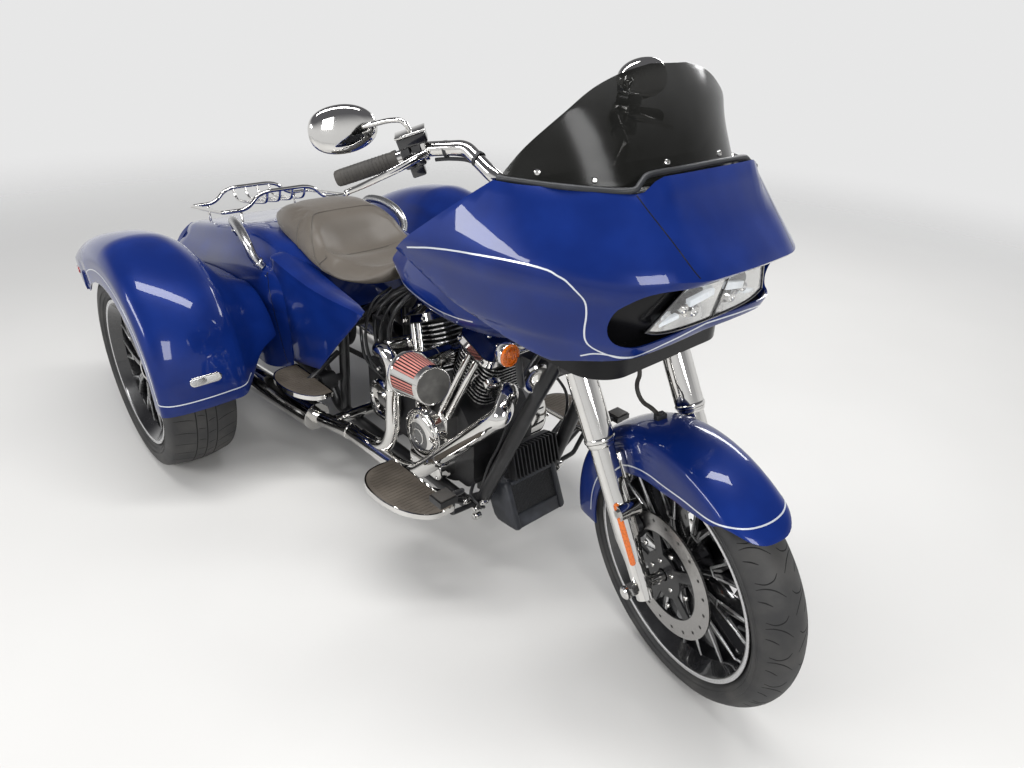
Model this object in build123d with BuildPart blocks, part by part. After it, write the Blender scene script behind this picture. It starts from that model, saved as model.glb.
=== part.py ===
from build123d import *
from math import cos, radians, sin, sqrt, tan
import os

# Motorized trike: two rear wheels under a body with a luggage trunk, one steered front wheel,
# an open V-twin engine and a frame-mounted fairing.
# Millimetres. While the pieces are made, x runs forward from the rear axle, y to the left and
# z up from the floor. The last section moves everything so that the origin lies on the floor
# under the middle of the whole vehicle.

# Overall sizes
wheelbase = 1670.0
overall_length = 2665.0
overall_width = 1400.0
overall_height = 1331.0
ground_clearance = 125.0
fit = 0.3                    # clearance between faces that are fitted to each other
running_gap = 3.0            # clearance round a part that turns beside a fixed one

# Wheels and tyres
front_tyre_radius = 319.0
front_tyre_width = 130.0
front_rim_radius = 250.0
rear_tyre_radius = 325.5
rear_tyre_width = 215.0
rear_rim_radius = 238.0
rear_track = 1140.0
rim_lip = 8.0
spoke_pairs = 10
front_axle_radius = 12.5
stub_axle_radius = 22.0

# Steering: the head is raked, the fork legs lean a little more, the wheel stands turned
rake = 26.0
fork_angle = 29.25
trail = 100.0
parked_turn = -15.3
leg_spacing = 244.0
cover_radius = 33.0
slider_radius = 27.0

# Body
panel = 5.0                  # thickness of the painted panels
door_thickness = 28.0
door_gap = 6.0
trunk_rear = -600.0
trunk_half = 290.0           # the sides of the trunk stand upright at this distance

# Derived places
rear_end = wheelbase + front_tyre_radius - overall_length
middle_x = (wheelbase + front_tyre_radius + rear_end) / 2
half_track = rear_track / 2
half_width = overall_width / 2
camber_sink = 0.9            # the turned front wheel rides this much lower
axle_z = front_tyre_radius - camber_sink
rear_axle_z = rear_tyre_radius
axle_offset = front_tyre_radius * sin(radians(rake)) - trail * cos(radians(rake))
steer_x = wheelbase - axle_offset * cos(radians(rake))
steer_z = axle_z - axle_offset * sin(radians(rake))
steer_axis = Axis((steer_x, 0, steer_z), (-sin(radians(rake)), 0, cos(radians(rake))))
leg_y = leg_spacing / 2
sides = (-1, 1)


def steer_point(height):
    """Point of the steering axis at a height over the floor."""
    return (steer_x - tan(radians(rake)) * (height - steer_z), 0, height)


def leg_plane(along, side):
    """Plane square to a fork leg, a distance up the leg from the front axle."""
    angle = radians(fork_angle)
    return Plane(
        origin=(wheelbase - along * sin(angle), side, axle_z + along * cos(angle)),
        x_dir=(cos(angle), 0, sin(angle)),
        z_dir=(-sin(angle), 0, cos(angle)),
    )


def upright_plane(x, y, z, left=True):
    """Side-view plane, its x pointing forward and its y up; left looks along +y when extruded."""
    if left:
        return Plane(origin=(x, y, z), x_dir=(-1, 0, 0), z_dir=(0, 1, 0))
    return Plane(origin=(x, y, z), x_dir=(1, 0, 0), z_dir=(0, -1, 0))


def tube(points, radius, corner):
    """Round tube along straight runs that are joined by tangent arcs."""
    with BuildLine() as route:
        FilletPolyline(*points, radius=corner)
    with BuildSketch(Plane(origin=route.line @ 0, z_dir=route.line % 0)) as ring:
        Circle(radius)
    return sweep(ring.sketch, path=route.line, mode=Mode.PRIVATE)


def bar(start, end, radius):
    """Straight round bar between two points."""
    run = Vector(*end) - Vector(*start)
    with BuildPart(mode=Mode.PRIVATE) as rod:
        with BuildSketch(Plane(origin=start, z_dir=run)):
            Circle(radius)
        extrude(amount=run.length)
    return rod.part


def slab(x0, x1, y0, y1, z0, z1):
    """Straight block between six faces."""
    with BuildPart(mode=Mode.PRIVATE) as block:
        with BuildSketch(Plane(origin=((x0 + x1) / 2, (y0 + y1) / 2, z0))):
            Rectangle(x1 - x0, y1 - y0)
        extrude(amount=z1 - z0)
    return block.part


def mirrored(point):
    """The same point on the right-hand side."""
    return (point[0], -point[1], point[2])


def at_side(points, side):
    """Points of one side, mirrored when side is -1."""
    return [(x, side * y, z) for x, y, z in points]


def cross_loft(table, grow=0.0):
    """Closed body through transverse sections. Columns: x, bottom z, bottom half-width,
    shoulder z, shoulder half-width, top half-width, top z. grow widens it all round."""
    with BuildPart(mode=Mode.PRIVATE) as body:
        for index, (x, z0, w0, z1, w1, w2, z2) in enumerate(table):
            if index == 0:
                x = x - grow
            if index == len(table) - 1:
                x = x + grow
            z0, z2 = z0 - grow, z2 + grow
            w0, w1, w2 = w0 + grow, w1 + grow, w2 + grow
            mid_y = w1 * 0.42 + w2 * 0.58
            mid_z = z1 + (z2 - z1) * 0.62
            with BuildSketch(Plane(origin=(x, 0, 0), x_dir=(0, 1, 0), z_dir=(1, 0, 0))):
                with BuildLine():
                    Line((-w0, z0), (w0, z0))
                    Line((w0, z0), (w1, z1))
                    ThreePointArc((w1, z1), (mid_y, mid_z), (w2, z2))
                    Line((w2, z2), (-w2, z2))
                    ThreePointArc((-w2, z2), (-mid_y, mid_z), (-w1, z1))
                    Line((-w1, z1), (-w0, z0))
                make_face()
        loft(ruled=True)
    return body.part


def tyre(radius, width, rim, crown_drop, place):
    """Closed tyre ring turned about its axle."""
    x, y, z = place
    half = width / 2
    bead = half - 16
    with BuildPart(mode=Mode.PRIVATE) as ring:
        with BuildSketch(Plane.XY.offset(z)):
            with BuildLine():
                Line((x + rim, y - bead), (x + rim, y + bead))
                ThreePointArc((x + rim, y + bead), (x + (rim + radius) / 2 - 6, y + half),
                              (x + radius - crown_drop, y + half - 12))
                ThreePointArc((x + radius - crown_drop, y + half - 12), (x + radius, y),
                              (x + radius - crown_drop, y - half + 12))
                ThreePointArc((x + radius - crown_drop, y - half + 12), (x + (rim + radius) / 2 - 6, y - half),
                              (x + rim, y - bead))
            make_face()
        revolve(axis=Axis((x, y, z), (0, 1, 0)))
    return ring.part


def wheel(rim, width, place, face, hub_radius, hub_width, bore, depth):
    """Cast wheel: rim barrel, hub and open pairs of spokes that spread towards the rim.
    face is the side (+1 or -1) that the machined spoke faces look to, 0 for both."""
    x, y, z = place
    half = width / 2
    well = rim - 26
    spoke_end = well - 3
    spread = spoke_end * tan(radians(90 / spoke_pairs))
    knee = hub_radius + (rim - hub_radius) * 0.34
    with BuildPart(mode=Mode.PRIVATE) as cast:
        with BuildSketch(Plane.XY.offset(z)):
            with BuildLine():
                Polyline(
                    (x + rim - fit, y - half), (x + rim - fit, y - half + 14), (x + well, y - half + 30),
                    (x + well, y + half - 30), (x + rim - fit, y + half - 14), (x + rim - fit, y + half),
                    (x + rim - rim_lip, y + half), (x + rim - rim_lip, y + half - 16),
                    (x + well - 7, y + half - 34), (x + well - 7, y - half + 34),
                    (x + rim - rim_lip, y - half + 16), (x + rim - rim_lip, y - half), close=True,
                )
            make_face()
            with BuildLine():
                Polyline(
                    (x + bore, y - hub_width / 2), (x + hub_radius * 0.6, y - hub_width / 2),
                    (x + hub_radius, y - hub_width / 2 + 22), (x + hub_radius, y + hub_width / 2 - 22),
                    (x + hub_radius * 0.6, y + hub_width / 2), (x + bore, y + hub_width / 2), close=True,
                )
            make_face()
        revolve(axis=Axis((x, y, z), (0, 1, 0)))
        centre = y + face * (half - 34 - depth / 2)
        with BuildSketch(upright_plane(x, centre - depth / 2, z)):
            with PolarLocations(0, spoke_pairs):
                Polygon(
                    (hub_radius - 6, -9), (hub_radius - 6, 9), (knee, 13), (spoke_end, spread + 7),
                    (spoke_end, spread - 5), (knee + 18, 0), (spoke_end, -spread + 5),
                    (spoke_end, -spread - 7), (knee, -13), align=None,
                )
        extrude(amount=depth)
    return cast.part


# Rear tyres, wheels and brake discs, one set each side
rear_hub_width = 96.0
rear_disc_radius = 145.0
rear_disc_thickness = 6.0
rear_disc_y = half_track - rear_hub_width / 2 - rear_disc_thickness
rear_sets = []
for side, name in ((-1, "right"), (1, "left")):
    place = (0, side * half_track, rear_axle_z)
    rubber = tyre(rear_tyre_radius, rear_tyre_width, rear_rim_radius, 9, place)
    with BuildPart() as rear_wheel:
        add(wheel(rear_rim_radius, rear_tyre_width - 22, place, side, 62, rear_hub_width,
                  stub_axle_radius + fit, 34))
        with BuildSketch(Plane(origin=(0, side * rear_disc_y, rear_axle_z), x_dir=(1, 0, 0), z_dir=(0, side, 0))):
            Circle(rear_disc_radius)
            Circle(stub_axle_radius + fit, mode=Mode.SUBTRACT)
        extrude(amount=rear_disc_thickness)
    rear_sets.append((rubber, f"rear_tyre_{name}"))
    rear_sets.append((rear_wheel.part, f"rear_wheel_{name}"))

# Front tyre, wheel and the two brake discs, made pointing straight ahead
front_place = (wheelbase, 0, axle_z)
front_hub_radius = 46.0
front_hub_width = 118.0
with BuildPart() as front_tyre:
    add(tyre(front_tyre_radius, front_tyre_width, front_rim_radius, 30, front_place))
with BuildPart() as front_wheel:
    add(wheel(front_rim_radius, front_tyre_width - 26, front_place, 0, front_hub_radius, front_hub_width,
              front_axle_radius + fit, 38))

disc_radius = 150.0
disc_inner = 104.0
disc_thickness = 5.0
disc_y = front_hub_width / 2 + fit + disc_thickness / 2
with BuildPart() as front_discs:
    for side in sides:
        with BuildSketch(upright_plane(wheelbase, side * disc_y - disc_thickness / 2, axle_z)):
            Circle(disc_radius)
            Circle(disc_inner, mode=Mode.SUBTRACT)
            with PolarLocations(78, 5):
                Rectangle(64, 26)
            Circle(56)
            Circle(front_axle_radius + running_gap, mode=Mode.SUBTRACT)
            with PolarLocations(disc_radius - 16, 20):
                Circle(4, mode=Mode.SUBTRACT)
        extrude(amount=disc_thickness)

# Front axle with its nuts outside the fork legs
lug_radius = 19.0
axle_half = leg_y + lug_radius + 2
with BuildPart() as front_axle:
    add(bar((wheelbase, -axle_half - 14, axle_z), (wheelbase, axle_half + 14, axle_z), front_axle_radius))
    for y in (-axle_half - 18, axle_half):
        with BuildSketch(upright_plane(wheelbase, y, axle_z)):
            RegularPolygon(17, 6)
        extrude(amount=18)

# Fork legs: axle lug, slider and the wide chromed cover
leg_length = 742.0
cover_start = 330.0
with BuildPart() as fork_legs:
    for side in sides:
        base = leg_plane(0, side * leg_y)
        with BuildSketch(Plane(origin=base.origin, x_dir=base.x_dir, z_dir=(0, -1, 0))):
            with BuildLine():
                Polyline(
                    (0, -30), (lug_radius, -30), (lug_radius + 2, 60), (slider_radius, 116),
                    (slider_radius, cover_start), (cover_radius, cover_start + 6),
                    (cover_radius, leg_length), (0, leg_length), close=True,
                )
            make_face()
        revolve(axis=Axis(base.origin, base.z_dir))
    add(bar((wheelbase, -200, axle_z), (wheelbase, 200, axle_z), front_axle_radius + fit), mode=Mode.SUBTRACT)

# Fork yokes and the stem that turns in the steering head
lower_yoke_at = 508.0
upper_yoke_at = 712.0
yoke_thickness = 32.0
stem_radius = 15.0
stem_low = 752.0
stem_high = 944.0
with BuildPart() as fork_yokes:
    for along, back in ((lower_yoke_at, -26), (upper_yoke_at, -8)):
        with BuildSketch(leg_plane(along, 0)):
            SlotCenterToCenter(leg_spacing, 2 * (cover_radius + 11), rotation=90)
            with Locations((back, 0)):
                Rectangle(80, 150)
            with Locations((0, -leg_y), (0, leg_y)):
                Circle(cover_radius + fit, mode=Mode.SUBTRACT)
        extrude(amount=yoke_thickness / 2, both=True)
    add(bar(steer_point(stem_low), steer_point(stem_high), stem_radius))

# Front fender: a crowned channel round the tyre with deep sides, on lugs to the fork legs
fender_gap = 24.0
fender_half = 80.0
fender_radius = front_tyre_radius + fender_gap
fender_depth = 106.0
fender_front = 48.0
fender_rear = 187.0
lug_at = 268.0
with BuildPart() as front_fender:
    turn = Plane(
        origin=(wheelbase, 0, axle_z),
        x_dir=(cos(radians(fender_front)), 0, sin(radians(fender_front))),
        z_dir=(sin(radians(fender_front)), 0, -cos(radians(fender_front))),
    )
    side_start = fender_radius - 38
    side_end = fender_radius - fender_depth
    with BuildSketch(turn):
        with BuildLine():
            ThreePointArc((side_start, -fender_half), (fender_radius + panel, 0), (side_start, fender_half))
            Line((side_start, fender_half), (side_end, fender_half + 2))
            Line((side_end, fender_half + 2), (side_end, fender_half + 2 - panel))
            Line((side_end, fender_half + 2 - panel), (side_start, fender_half - panel))
            ThreePointArc((side_start, fender_half - panel), (fender_radius, 0), (side_start, -fender_half + panel))
            Line((side_start, -fender_half + panel), (side_end, -fender_half - 2 + panel))
            Line((side_end, -fender_half - 2 + panel), (side_end, -fender_half - 2))
            Line((side_end, -fender_half - 2), (side_start, -fender_half))
        make_face()
    revolve(axis=Axis((wheelbase, 0, axle_z), (0, -1, 0)), revolution_arc=fender_rear - fender_front)
    for side in sides:
        spot = leg_plane(lug_at, side * fender_half)
        with BuildSketch(Plane(origin=spot.origin, x_dir=spot.x_dir, z_dir=(0, side, 0))):
            RectangleRounded(30, 64, 6)
        extrude(amount=leg_y - fender_half)
        leg = leg_plane(lug_at - 100, side * leg_y)
        with BuildSketch(leg):
            Circle(slider_radius + fit)
        extrude(amount=200, mode=Mode.SUBTRACT)

# Brake calipers behind the legs, gripping the discs, each with a lug to its leg
caliper_angle = 152.0
caliper_reach = 128.0
with BuildPart() as front_calipers:
    for side in sides:
        angle = radians(caliper_angle)
        x = wheelbase + caliper_reach * cos(angle)
        z = axle_z + caliper_reach * sin(angle)
        with BuildSketch(Plane(origin=(x, side * disc_y - 22, z), x_dir=(sin(angle), 0, -cos(angle)), z_dir=(0, 1, 0))):
            RectangleRounded(96, 54, 12)
        extrude(amount=44)
        add(bar((x + 16, side * (disc_y + 12), z + 22), (wheelbase - 92, side * (leg_y - 6), axle_z + 136), 11))
        with BuildSketch(upright_plane(wheelbase, side * disc_y - disc_thickness / 2 - running_gap, axle_z)):
            Circle(disc_radius + 5)
        extrude(amount=disc_thickness + 2 * running_gap, mode=Mode.SUBTRACT)
        with BuildSketch(leg_plane(60, side * leg_y)):
            Circle(slider_radius + fit)
        extrude(amount=160, mode=Mode.SUBTRACT)

# Handlebar on its risers, with grips, controls, levers and mirrors
bar_radius = 16.0
grip_radius = 19.0
grip_end = (944, 434, 1105)
grip_start = (1000, 312, 1138)
bar_route = ((1222, 60, 1012), (1172, 168, 1110), (1092, 190, 1158), (1026, 256, 1153), grip_end)
bar_corner = 42.0
with BuildPart() as handlebar:
    whole_route = [mirrored(point) for point in reversed(bar_route)] + list(bar_route)
    add(tube(whole_route, bar_radius, bar_corner))
    for side in sides:
        add(bar((1304, side * 44, 944), (1222, side * 44, 1012), 19))
    with BuildSketch(leg_plane(upper_yoke_at + yoke_thickness / 2, 0)):
        Rectangle(200, 300)
    extrude(amount=-60, mode=Mode.SUBTRACT)

with BuildPart() as grips:
    run = (Vector(*grip_end) - Vector(1026, 256, 1153)).normalized()
    start = Vector(*grip_start)
    on_bar = Vector(1026, 256, 1153) + run * (start - Vector(1026, 256, 1153)).dot(run)
    grip_stop = Vector(*grip_end) + run * 10
    for side in sides:
        first = (on_bar.X, side * on_bar.Y, on_bar.Z)
        last = (grip_stop.X, side * grip_stop.Y, grip_stop.Z)
        add(bar(first, last, grip_radius))
    add(handlebar.part, mode=Mode.SUBTRACT)

with BuildPart() as hand_controls:
    for side in sides:
        start = Vector(1026, side * 256, 1153)
        heading = Vector(run.X, side * run.Y, run.Z)
        with BuildSketch(Plane(origin=start + heading * 6, z_dir=heading)):
            Rectangle(58, 54)
        extrude(amount=48)
        cup = start + heading * 30 + Vector(14, 0, 26)
        with BuildSketch(Plane(origin=cup, x_dir=heading)):
            RectangleRounded(64, 36, 8)
        extrude(amount=26)
        add(bar((1046, side * 268, 1150), (996, side * 440, 1086), 7.5))
    add(handlebar.part, mode=Mode.SUBTRACT)

mirror_place = (923, 400, 1199)
mirror_half_width = 80.0
mirror_half_height = 54.0
with BuildPart() as mirrors:
    for side in sides:
        x, y, z = mirror_place
        with BuildSketch(Plane(origin=(x - 12, side * y, z), x_dir=(0, side, 0), z_dir=(1, 0, 0.16))):
            Ellipse(mirror_half_width, mirror_half_height)
        extrude(amount=30, taper=28)
        add(tube(((1020, side * 282, 1186), (1012, side * 300, 1222), (x + 8, side * (y - 40), z + 6)), 6, 12))
    add(hand_controls.part, mode=Mode.SUBTRACT)

# Brake hose: from the lower yoke down to the block on the crown of the front fender
hose_radius = 5.0
hose_end = (1550, 0, axle_z + sqrt((fender_radius + panel) ** 2 - 120 ** 2) + hose_radius + 1)
with BuildPart() as brake_hose:
    add(tube(((1452, 0, 775), (1492, 0, 704), (1462, 0, 650), hose_end), hose_radius, 20))
    add(slab(hose_end[0] - 5, hose_end[0] + 12, -12, 12, hose_end[2] - hose_radius - 2.6, hose_end[2] + 8))
    add(fork_yokes.part, mode=Mode.SUBTRACT)
    add(front_fender.part, mode=Mode.SUBTRACT)

# Frame: steering head, backbone, cradle of two side loops, seat rails and cross tubes
frame_radius = 19.0
rail_radius = 15.0
cross_radius = 13.0
head_radius = 34.0
head_low = 800.0
head_high = 890.0
backbone_radius = 22.0
backbone_corner = 90.0
backbone = ((1340, 0, 846), (1200, 0, 806), (760, 0, 706), (580, 0, 662))
tube_y = 132.0
rail_z = 500.0
pivot_x = 372.0
pivot_z = 300.0
cross_tubes = ((1040, 170), (600, 168), (196, rail_z - 4))
with BuildPart() as frame:
    add(bar(steer_point(head_low), steer_point(head_high), head_radius))
    add(tube(backbone, backbone_radius, backbone_corner))
    for side in sides:
        add(tube(at_side((
            (1316, 22, 806), (1248, 98, 590), (1098, 128, 222), (1030, tube_y, 168), (330, tube_y, 168),
            (250, 140, 300), (190, tube_y, rail_z),
        ), side), frame_radius, 50))
        add(tube(at_side(((624, 12, 668), (400, 120, rail_z), (-130, 150, rail_z)), side), rail_radius, 60))
        add(bar((pivot_x, side * tube_y, 168), (pivot_x + 10, side * 121, 506), 17))
        add(bar((pivot_x, side * tube_y, pivot_z), (pivot_x, side * 226, pivot_z), 12))
    for x, z in cross_tubes:
        add(bar((x, -tube_y, z), (x, tube_y, z), cross_radius))
    add(bar(steer_point(stem_low - 20), steer_point(stem_high + 20), stem_radius + fit), mode=Mode.SUBTRACT)

# Rear axle: cross tube, swing arms, differential, pulley, stub axles, brake brackets and calipers
axle_tube_radius = 44.0
pulley_radius = 105.0
belt_y = 54.0
belt_width = 26.0
swing_y = 192.0
swing_radius = 25.0
with BuildPart() as rear_axle:
    add(bar((0, -rear_disc_y + 10, rear_axle_z), (0, rear_disc_y - 10, rear_axle_z), axle_tube_radius))
    with BuildSketch(upright_plane(-20, -90, rear_axle_z)):
        Circle(105)
    extrude(amount=138)
    add(bar((0, 0, rear_axle_z), (0, belt_y + belt_width, rear_axle_z), 50))
    add(bar((0, belt_y, rear_axle_z), (0, belt_y + belt_width, rear_axle_z), pulley_radius))
    for side in sides:
        add(bar((0, side * 480, rear_axle_z), (0, side * (half_track + 62), rear_axle_z), stub_axle_radius))
        add(bar((0, side * 215, rear_axle_z), (0, side * 241, rear_axle_z), 72))
        add(tube(at_side(((0, swing_y + 12, rear_axle_z), (180, swing_y, 320), (pivot_x, swing_y, pivot_z)), side),
                 swing_radius, 80))
        add(bar((pivot_x, side * 166, pivot_z), (pivot_x, side * 218, pivot_z), 28))
        add(bar((pivot_x, side * 100, pivot_z), (pivot_x, side * 240, pivot_z), 12 + fit), mode=Mode.SUBTRACT)
        with BuildSketch(Plane(origin=(0, side * 488, rear_axle_z), x_dir=(-1, 0, 0), z_dir=(0, 1, 0))):
            with Locations((60, 60)):
                Rectangle(150, 40, rotation=45)
        extrude(amount=6, both=True)
        with BuildSketch(Plane(origin=(0, side * (rear_disc_y + 3), rear_axle_z), x_dir=(-1, 0, 0), z_dir=(0, 1, 0))):
            with Locations((90, 90)):
                RectangleRounded(56, 96, 12, rotation=45)
        extrude(amount=28, both=True)
        with BuildSketch(Plane(origin=(0, side * (rear_disc_y + 3), rear_axle_z), x_dir=(1, 0, 0), z_dir=(0, 1, 0))):
            Circle(rear_disc_radius + 5)
            Circle(90, mode=Mode.SUBTRACT)
        extrude(amount=rear_disc_thickness / 2 + running_gap, both=True, mode=Mode.SUBTRACT)

# Engine: crank and gear cases, two finned cylinders, rocker covers, pushrod tubes
crank_x = 880.0
crank_z = 318.0
cylinder_lean = 22.5
crankcase_half = 108.0
case_radius = 150.0
barrel_start = 168.0
head_end = 318.0
cover_end = 362.0
fin_pitch = 13.0
fin_thickness = 5.0
fin_half_length = 75.0
fin_half_width = 80.0
cover_half_width = 106.0
gearbox_x = 620.0
gearbox_z = 318.0
gearbox_left = 48.0
sprocket_radius = 42.0
lean_angles = (-cylinder_lean, cylinder_lean)


def cylinder_plane(lean, along, across=0.0, y=0.0):
    """Plane square to a cylinder's bore, a distance out from the crank and across the bore."""
    angle = radians(lean)
    return Plane(
        origin=(crank_x + along * sin(angle) + across * cos(angle), y,
                crank_z + along * cos(angle) - across * sin(angle)),
        x_dir=(cos(angle), 0, -sin(angle)),
        z_dir=(sin(angle), 0, cos(angle)),
    )


with BuildPart() as crankcase:
    with BuildSketch(upright_plane(crank_x, -crankcase_half, crank_z)):
        Circle(case_radius)
        with Locations((0, -60)):
            RectangleRounded(300, 130, 40)
    extrude(amount=2 * crankcase_half)
    for lean in lean_angles:
        with BuildSketch(cylinder_plane(lean, 100)):
            RectangleRounded(128, 140, 30)
        extrude(amount=barrel_start - 100)
    with BuildSketch(upright_plane(gearbox_x, -crankcase_half, gearbox_z)):
        RectangleRounded(246, 210, 36)
    extrude(amount=crankcase_half + gearbox_left)
    with BuildSketch(Plane(origin=(gearbox_x, -crankcase_half, gearbox_z), x_dir=(1, 0, 0), z_dir=(0, -1, 0))):
        Circle(72)
    extrude(amount=26)
    add(bar((gearbox_x, 0, gearbox_z), (gearbox_x, belt_y + belt_width, gearbox_z), 26))
    add(bar((gearbox_x, belt_y, gearbox_z), (gearbox_x, belt_y + belt_width, gearbox_z), sprocket_radius))
    add(slab(988, 1046, -60, 60, 160, 260))
    add(slab(584, 616, -60, 40, 170, 230))
    add(frame.part, mode=Mode.SUBTRACT)

with BuildPart() as cylinders:
    for lean in lean_angles:
        with BuildSketch(cylinder_plane(lean, barrel_start)):
            Circle(58)
        extrude(amount=head_end - barrel_start)
        for index in range(int((head_end - barrel_start - 4 - fin_thickness) / fin_pitch) + 1):
            with BuildSketch(cylinder_plane(lean, barrel_start + 4 + index * fin_pitch)):
                RectangleRounded(2 * fin_half_length, 2 * fin_half_width, 34)
            extrude(amount=fin_thickness)

with BuildPart() as rocker_covers:
    for lean in lean_angles:
        with BuildSketch(cylinder_plane(lean, head_end)):
            RectangleRounded(2 * fin_half_length - 6, 2 * cover_half_width, 30)
        with BuildSketch(cylinder_plane(lean, head_end + 26)):
            RectangleRounded(2 * fin_half_length - 14, 2 * cover_half_width - 10, 30)
        with BuildSketch(cylinder_plane(lean, cover_end)):
            RectangleRounded(96, 130, 24)
        loft(ruled=True)

# Cam cover on the right with the pushrod tubes standing on it
cam_depth = 56.0
cam_top = 405.0
pushrod_y = -(fin_half_width + 12.0)
pushrod_radius = 10.0
with BuildPart() as cam_cover:
    with BuildSketch(Plane(origin=(crank_x - 20, -crankcase_half, crank_z), x_dir=(1, 0, 0), z_dir=(0, -1, 0))):
        Circle(80)
        with Locations((10, -92)):
            RectangleRounded(150, 60, 24)
    extrude(amount=cam_depth)
    fillet(cam_cover.faces().sort_by(Axis.Y)[0].edges(), 10)
    add(slab(crank_x - 74, crank_x + 74, -crankcase_half - 34, -crankcase_half, 330, cam_top))
    for lean in lean_angles:
        step = 1 if lean > 0 else -1
        for shift in (-16, 16):
            top = cylinder_plane(lean, head_end, step * 8 + shift).origin
            add(bar((crank_x + step * 42 + shift, -crankcase_half - 22, cam_top - 12),
                    (top.X + 4 * step, pushrod_y, top.Z + 6), pushrod_radius))
    add(cylinders.part, mode=Mode.SUBTRACT)
    add(rocker_covers.part, mode=Mode.SUBTRACT)

with BuildPart() as primary_cover:
    with BuildSketch(upright_plane(crank_x - 110, crankcase_half, crank_z)):
        SlotCenterToCenter(270, 210)
    extrude(amount=92)
    fillet(primary_cover.faces().sort_by(Axis.Y)[-1].edges(), 22)


def belt_loop(grow):
    """Solid inside of the belt's run round both pulleys, grown by an amount."""
    with BuildPart(mode=Mode.PRIVATE) as body:
        with BuildSketch(Plane(origin=(0, belt_y + 2, rear_axle_z), x_dir=(1, 0, 0), z_dir=(0, -1, 0))):
            Circle(pulley_radius + grow)
            with Locations((gearbox_x, gearbox_z - rear_axle_z)):
                Circle(sprocket_radius + grow)
            make_hull()
        extrude(amount=-(belt_width - 4))
    return body.part


with BuildPart() as drive_belt:
    add(belt_loop(6 + fit))
    add(belt_loop(fit), mode=Mode.SUBTRACT)

# Air intake on the right: manifold out of the V and a conical filter that points forward
intake_z = 560.0
filter_y = -232.0
with BuildPart() as air_intake:
    add(bar((crank_x, -20, intake_z), (crank_x, -fin_half_width - 20, intake_z), 17))
    add(tube(((crank_x, -fin_half_width - 4, intake_z), (crank_x, -192, intake_z),
              (crank_x + 38, filter_y, intake_z)), 30, 30))
    with BuildSketch(Plane(origin=(crank_x + 30, filter_y, intake_z), x_dir=(0, 1, 0), z_dir=(0.97, -0.1, 0.14))):
        Circle(62)
    extrude(amount=132, taper=5)

# Exhaust: front and rear header, collector, crossover and a silencer each side under the body
pipe_radius = 24.0
rear_pipe_radius = 22.0
silencer_radius = 46.0
silencer_z = ground_clearance + silencer_radius
collector = (560, -214, 200)
port_along = 262.0
with BuildPart() as exhaust_headers:
    front_port = cylinder_plane(cylinder_lean, port_along, fin_half_length + fit, -62).origin
    front_bend = cylinder_plane(cylinder_lean, port_along, fin_half_length + 60, -62).origin
    rear_port = cylinder_plane(-cylinder_lean, port_along, -fin_half_length - fit, -62).origin
    rear_bend = cylinder_plane(-cylinder_lean, port_along, -fin_half_length - 44, -62).origin
    add(tube((
        tuple(front_port), tuple(front_bend), (1196, -166, 580), (1222, -204, 552), (1000, -208, 330),
        (905, -212, 246), (700, -214, 205), collector,
    ), pipe_radius, 30))
    add(tube((
        tuple(rear_port), tuple(rear_bend), (rear_bend.X + 4, -196, rear_bend.Z + 8), (788, -196, 566), (776, -196, 434),
        (766, -198, 300), (706, -204, 222), (632, -208, 210),
    ), rear_pipe_radius, 30))

with BuildPart() as silencers:
    for side in sides:
        inlet = (collector[0] - 4, side * 214, collector[2])
        add(bar(inlet, (360, side * 236, silencer_z + 6), pipe_radius))
        add(bar((366, side * 236, silencer_z + 6), (-330, side * 300, silencer_z), silencer_radius))
        add(bar((-328, side * 300, silencer_z), (-560, side * 322, silencer_z), 36))
    add(bar((470, -224, 208), (470, 224, 208), 18))
    add(frame.part, mode=Mode.SUBTRACT)

# Cooling: finned regulator and the chin shroud between the downtubes of the frame
with BuildPart() as regulator:
    lean_out = Plane(origin=(1142, 0, 330), x_dir=(0, 1, 0), z_dir=(0.96, 0, 0.28))
    with BuildSketch(lean_out):
        Rectangle(250, 40)
    extrude(amount=-10)
    with BuildSketch(lean_out):
        RectangleRounded(168, 86, 8)
    extrude(amount=-22)
    with BuildSketch(lean_out):
        with GridLocations(13, 0, 13, 1):
            Rectangle(4, 82)
    extrude(amount=24)
    add(frame.part, mode=Mode.SUBTRACT)

with BuildPart() as chin_shroud:
    with BuildSketch(Plane.XZ):
        Polygon((1080, 276), (1148, 276), (1200, 148), (1118, 138), (1080, 190), align=None)
    extrude(amount=88, both=True)
    with BuildSketch(Plane.XZ):
        Polygon((1140, 262), (1160, 262), (1204, 158), (1180, 158), align=None)
    extrude(amount=74, both=True, mode=Mode.SUBTRACT)
    add(slab(1084, 1104, -120, 120, 214, 238))
    add(frame.part, mode=Mode.SUBTRACT)

# Fuel tank: a rounded body sitting astride the backbone
tank_rows = (
    (606, 720, 40, 748, 70, 40, 792),
    (760, 692, 96, 730, 128, 70, 858),
    (960, 688, 120, 734, 166, 86, 898),
    (1120, 702, 112, 752, 162, 84, 902),
    (1226, 740, 70, 790, 110, 60, 876),
)
with BuildPart() as fuel_tank:
    add(cross_loft(tank_rows))
    add(tube(backbone, backbone_radius + fit, backbone_corner), mode=Mode.SUBTRACT)
    add(slab(600, 1230, -backbone_radius - fit, backbone_radius + fit, 640, 706), mode=Mode.SUBTRACT)

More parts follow.
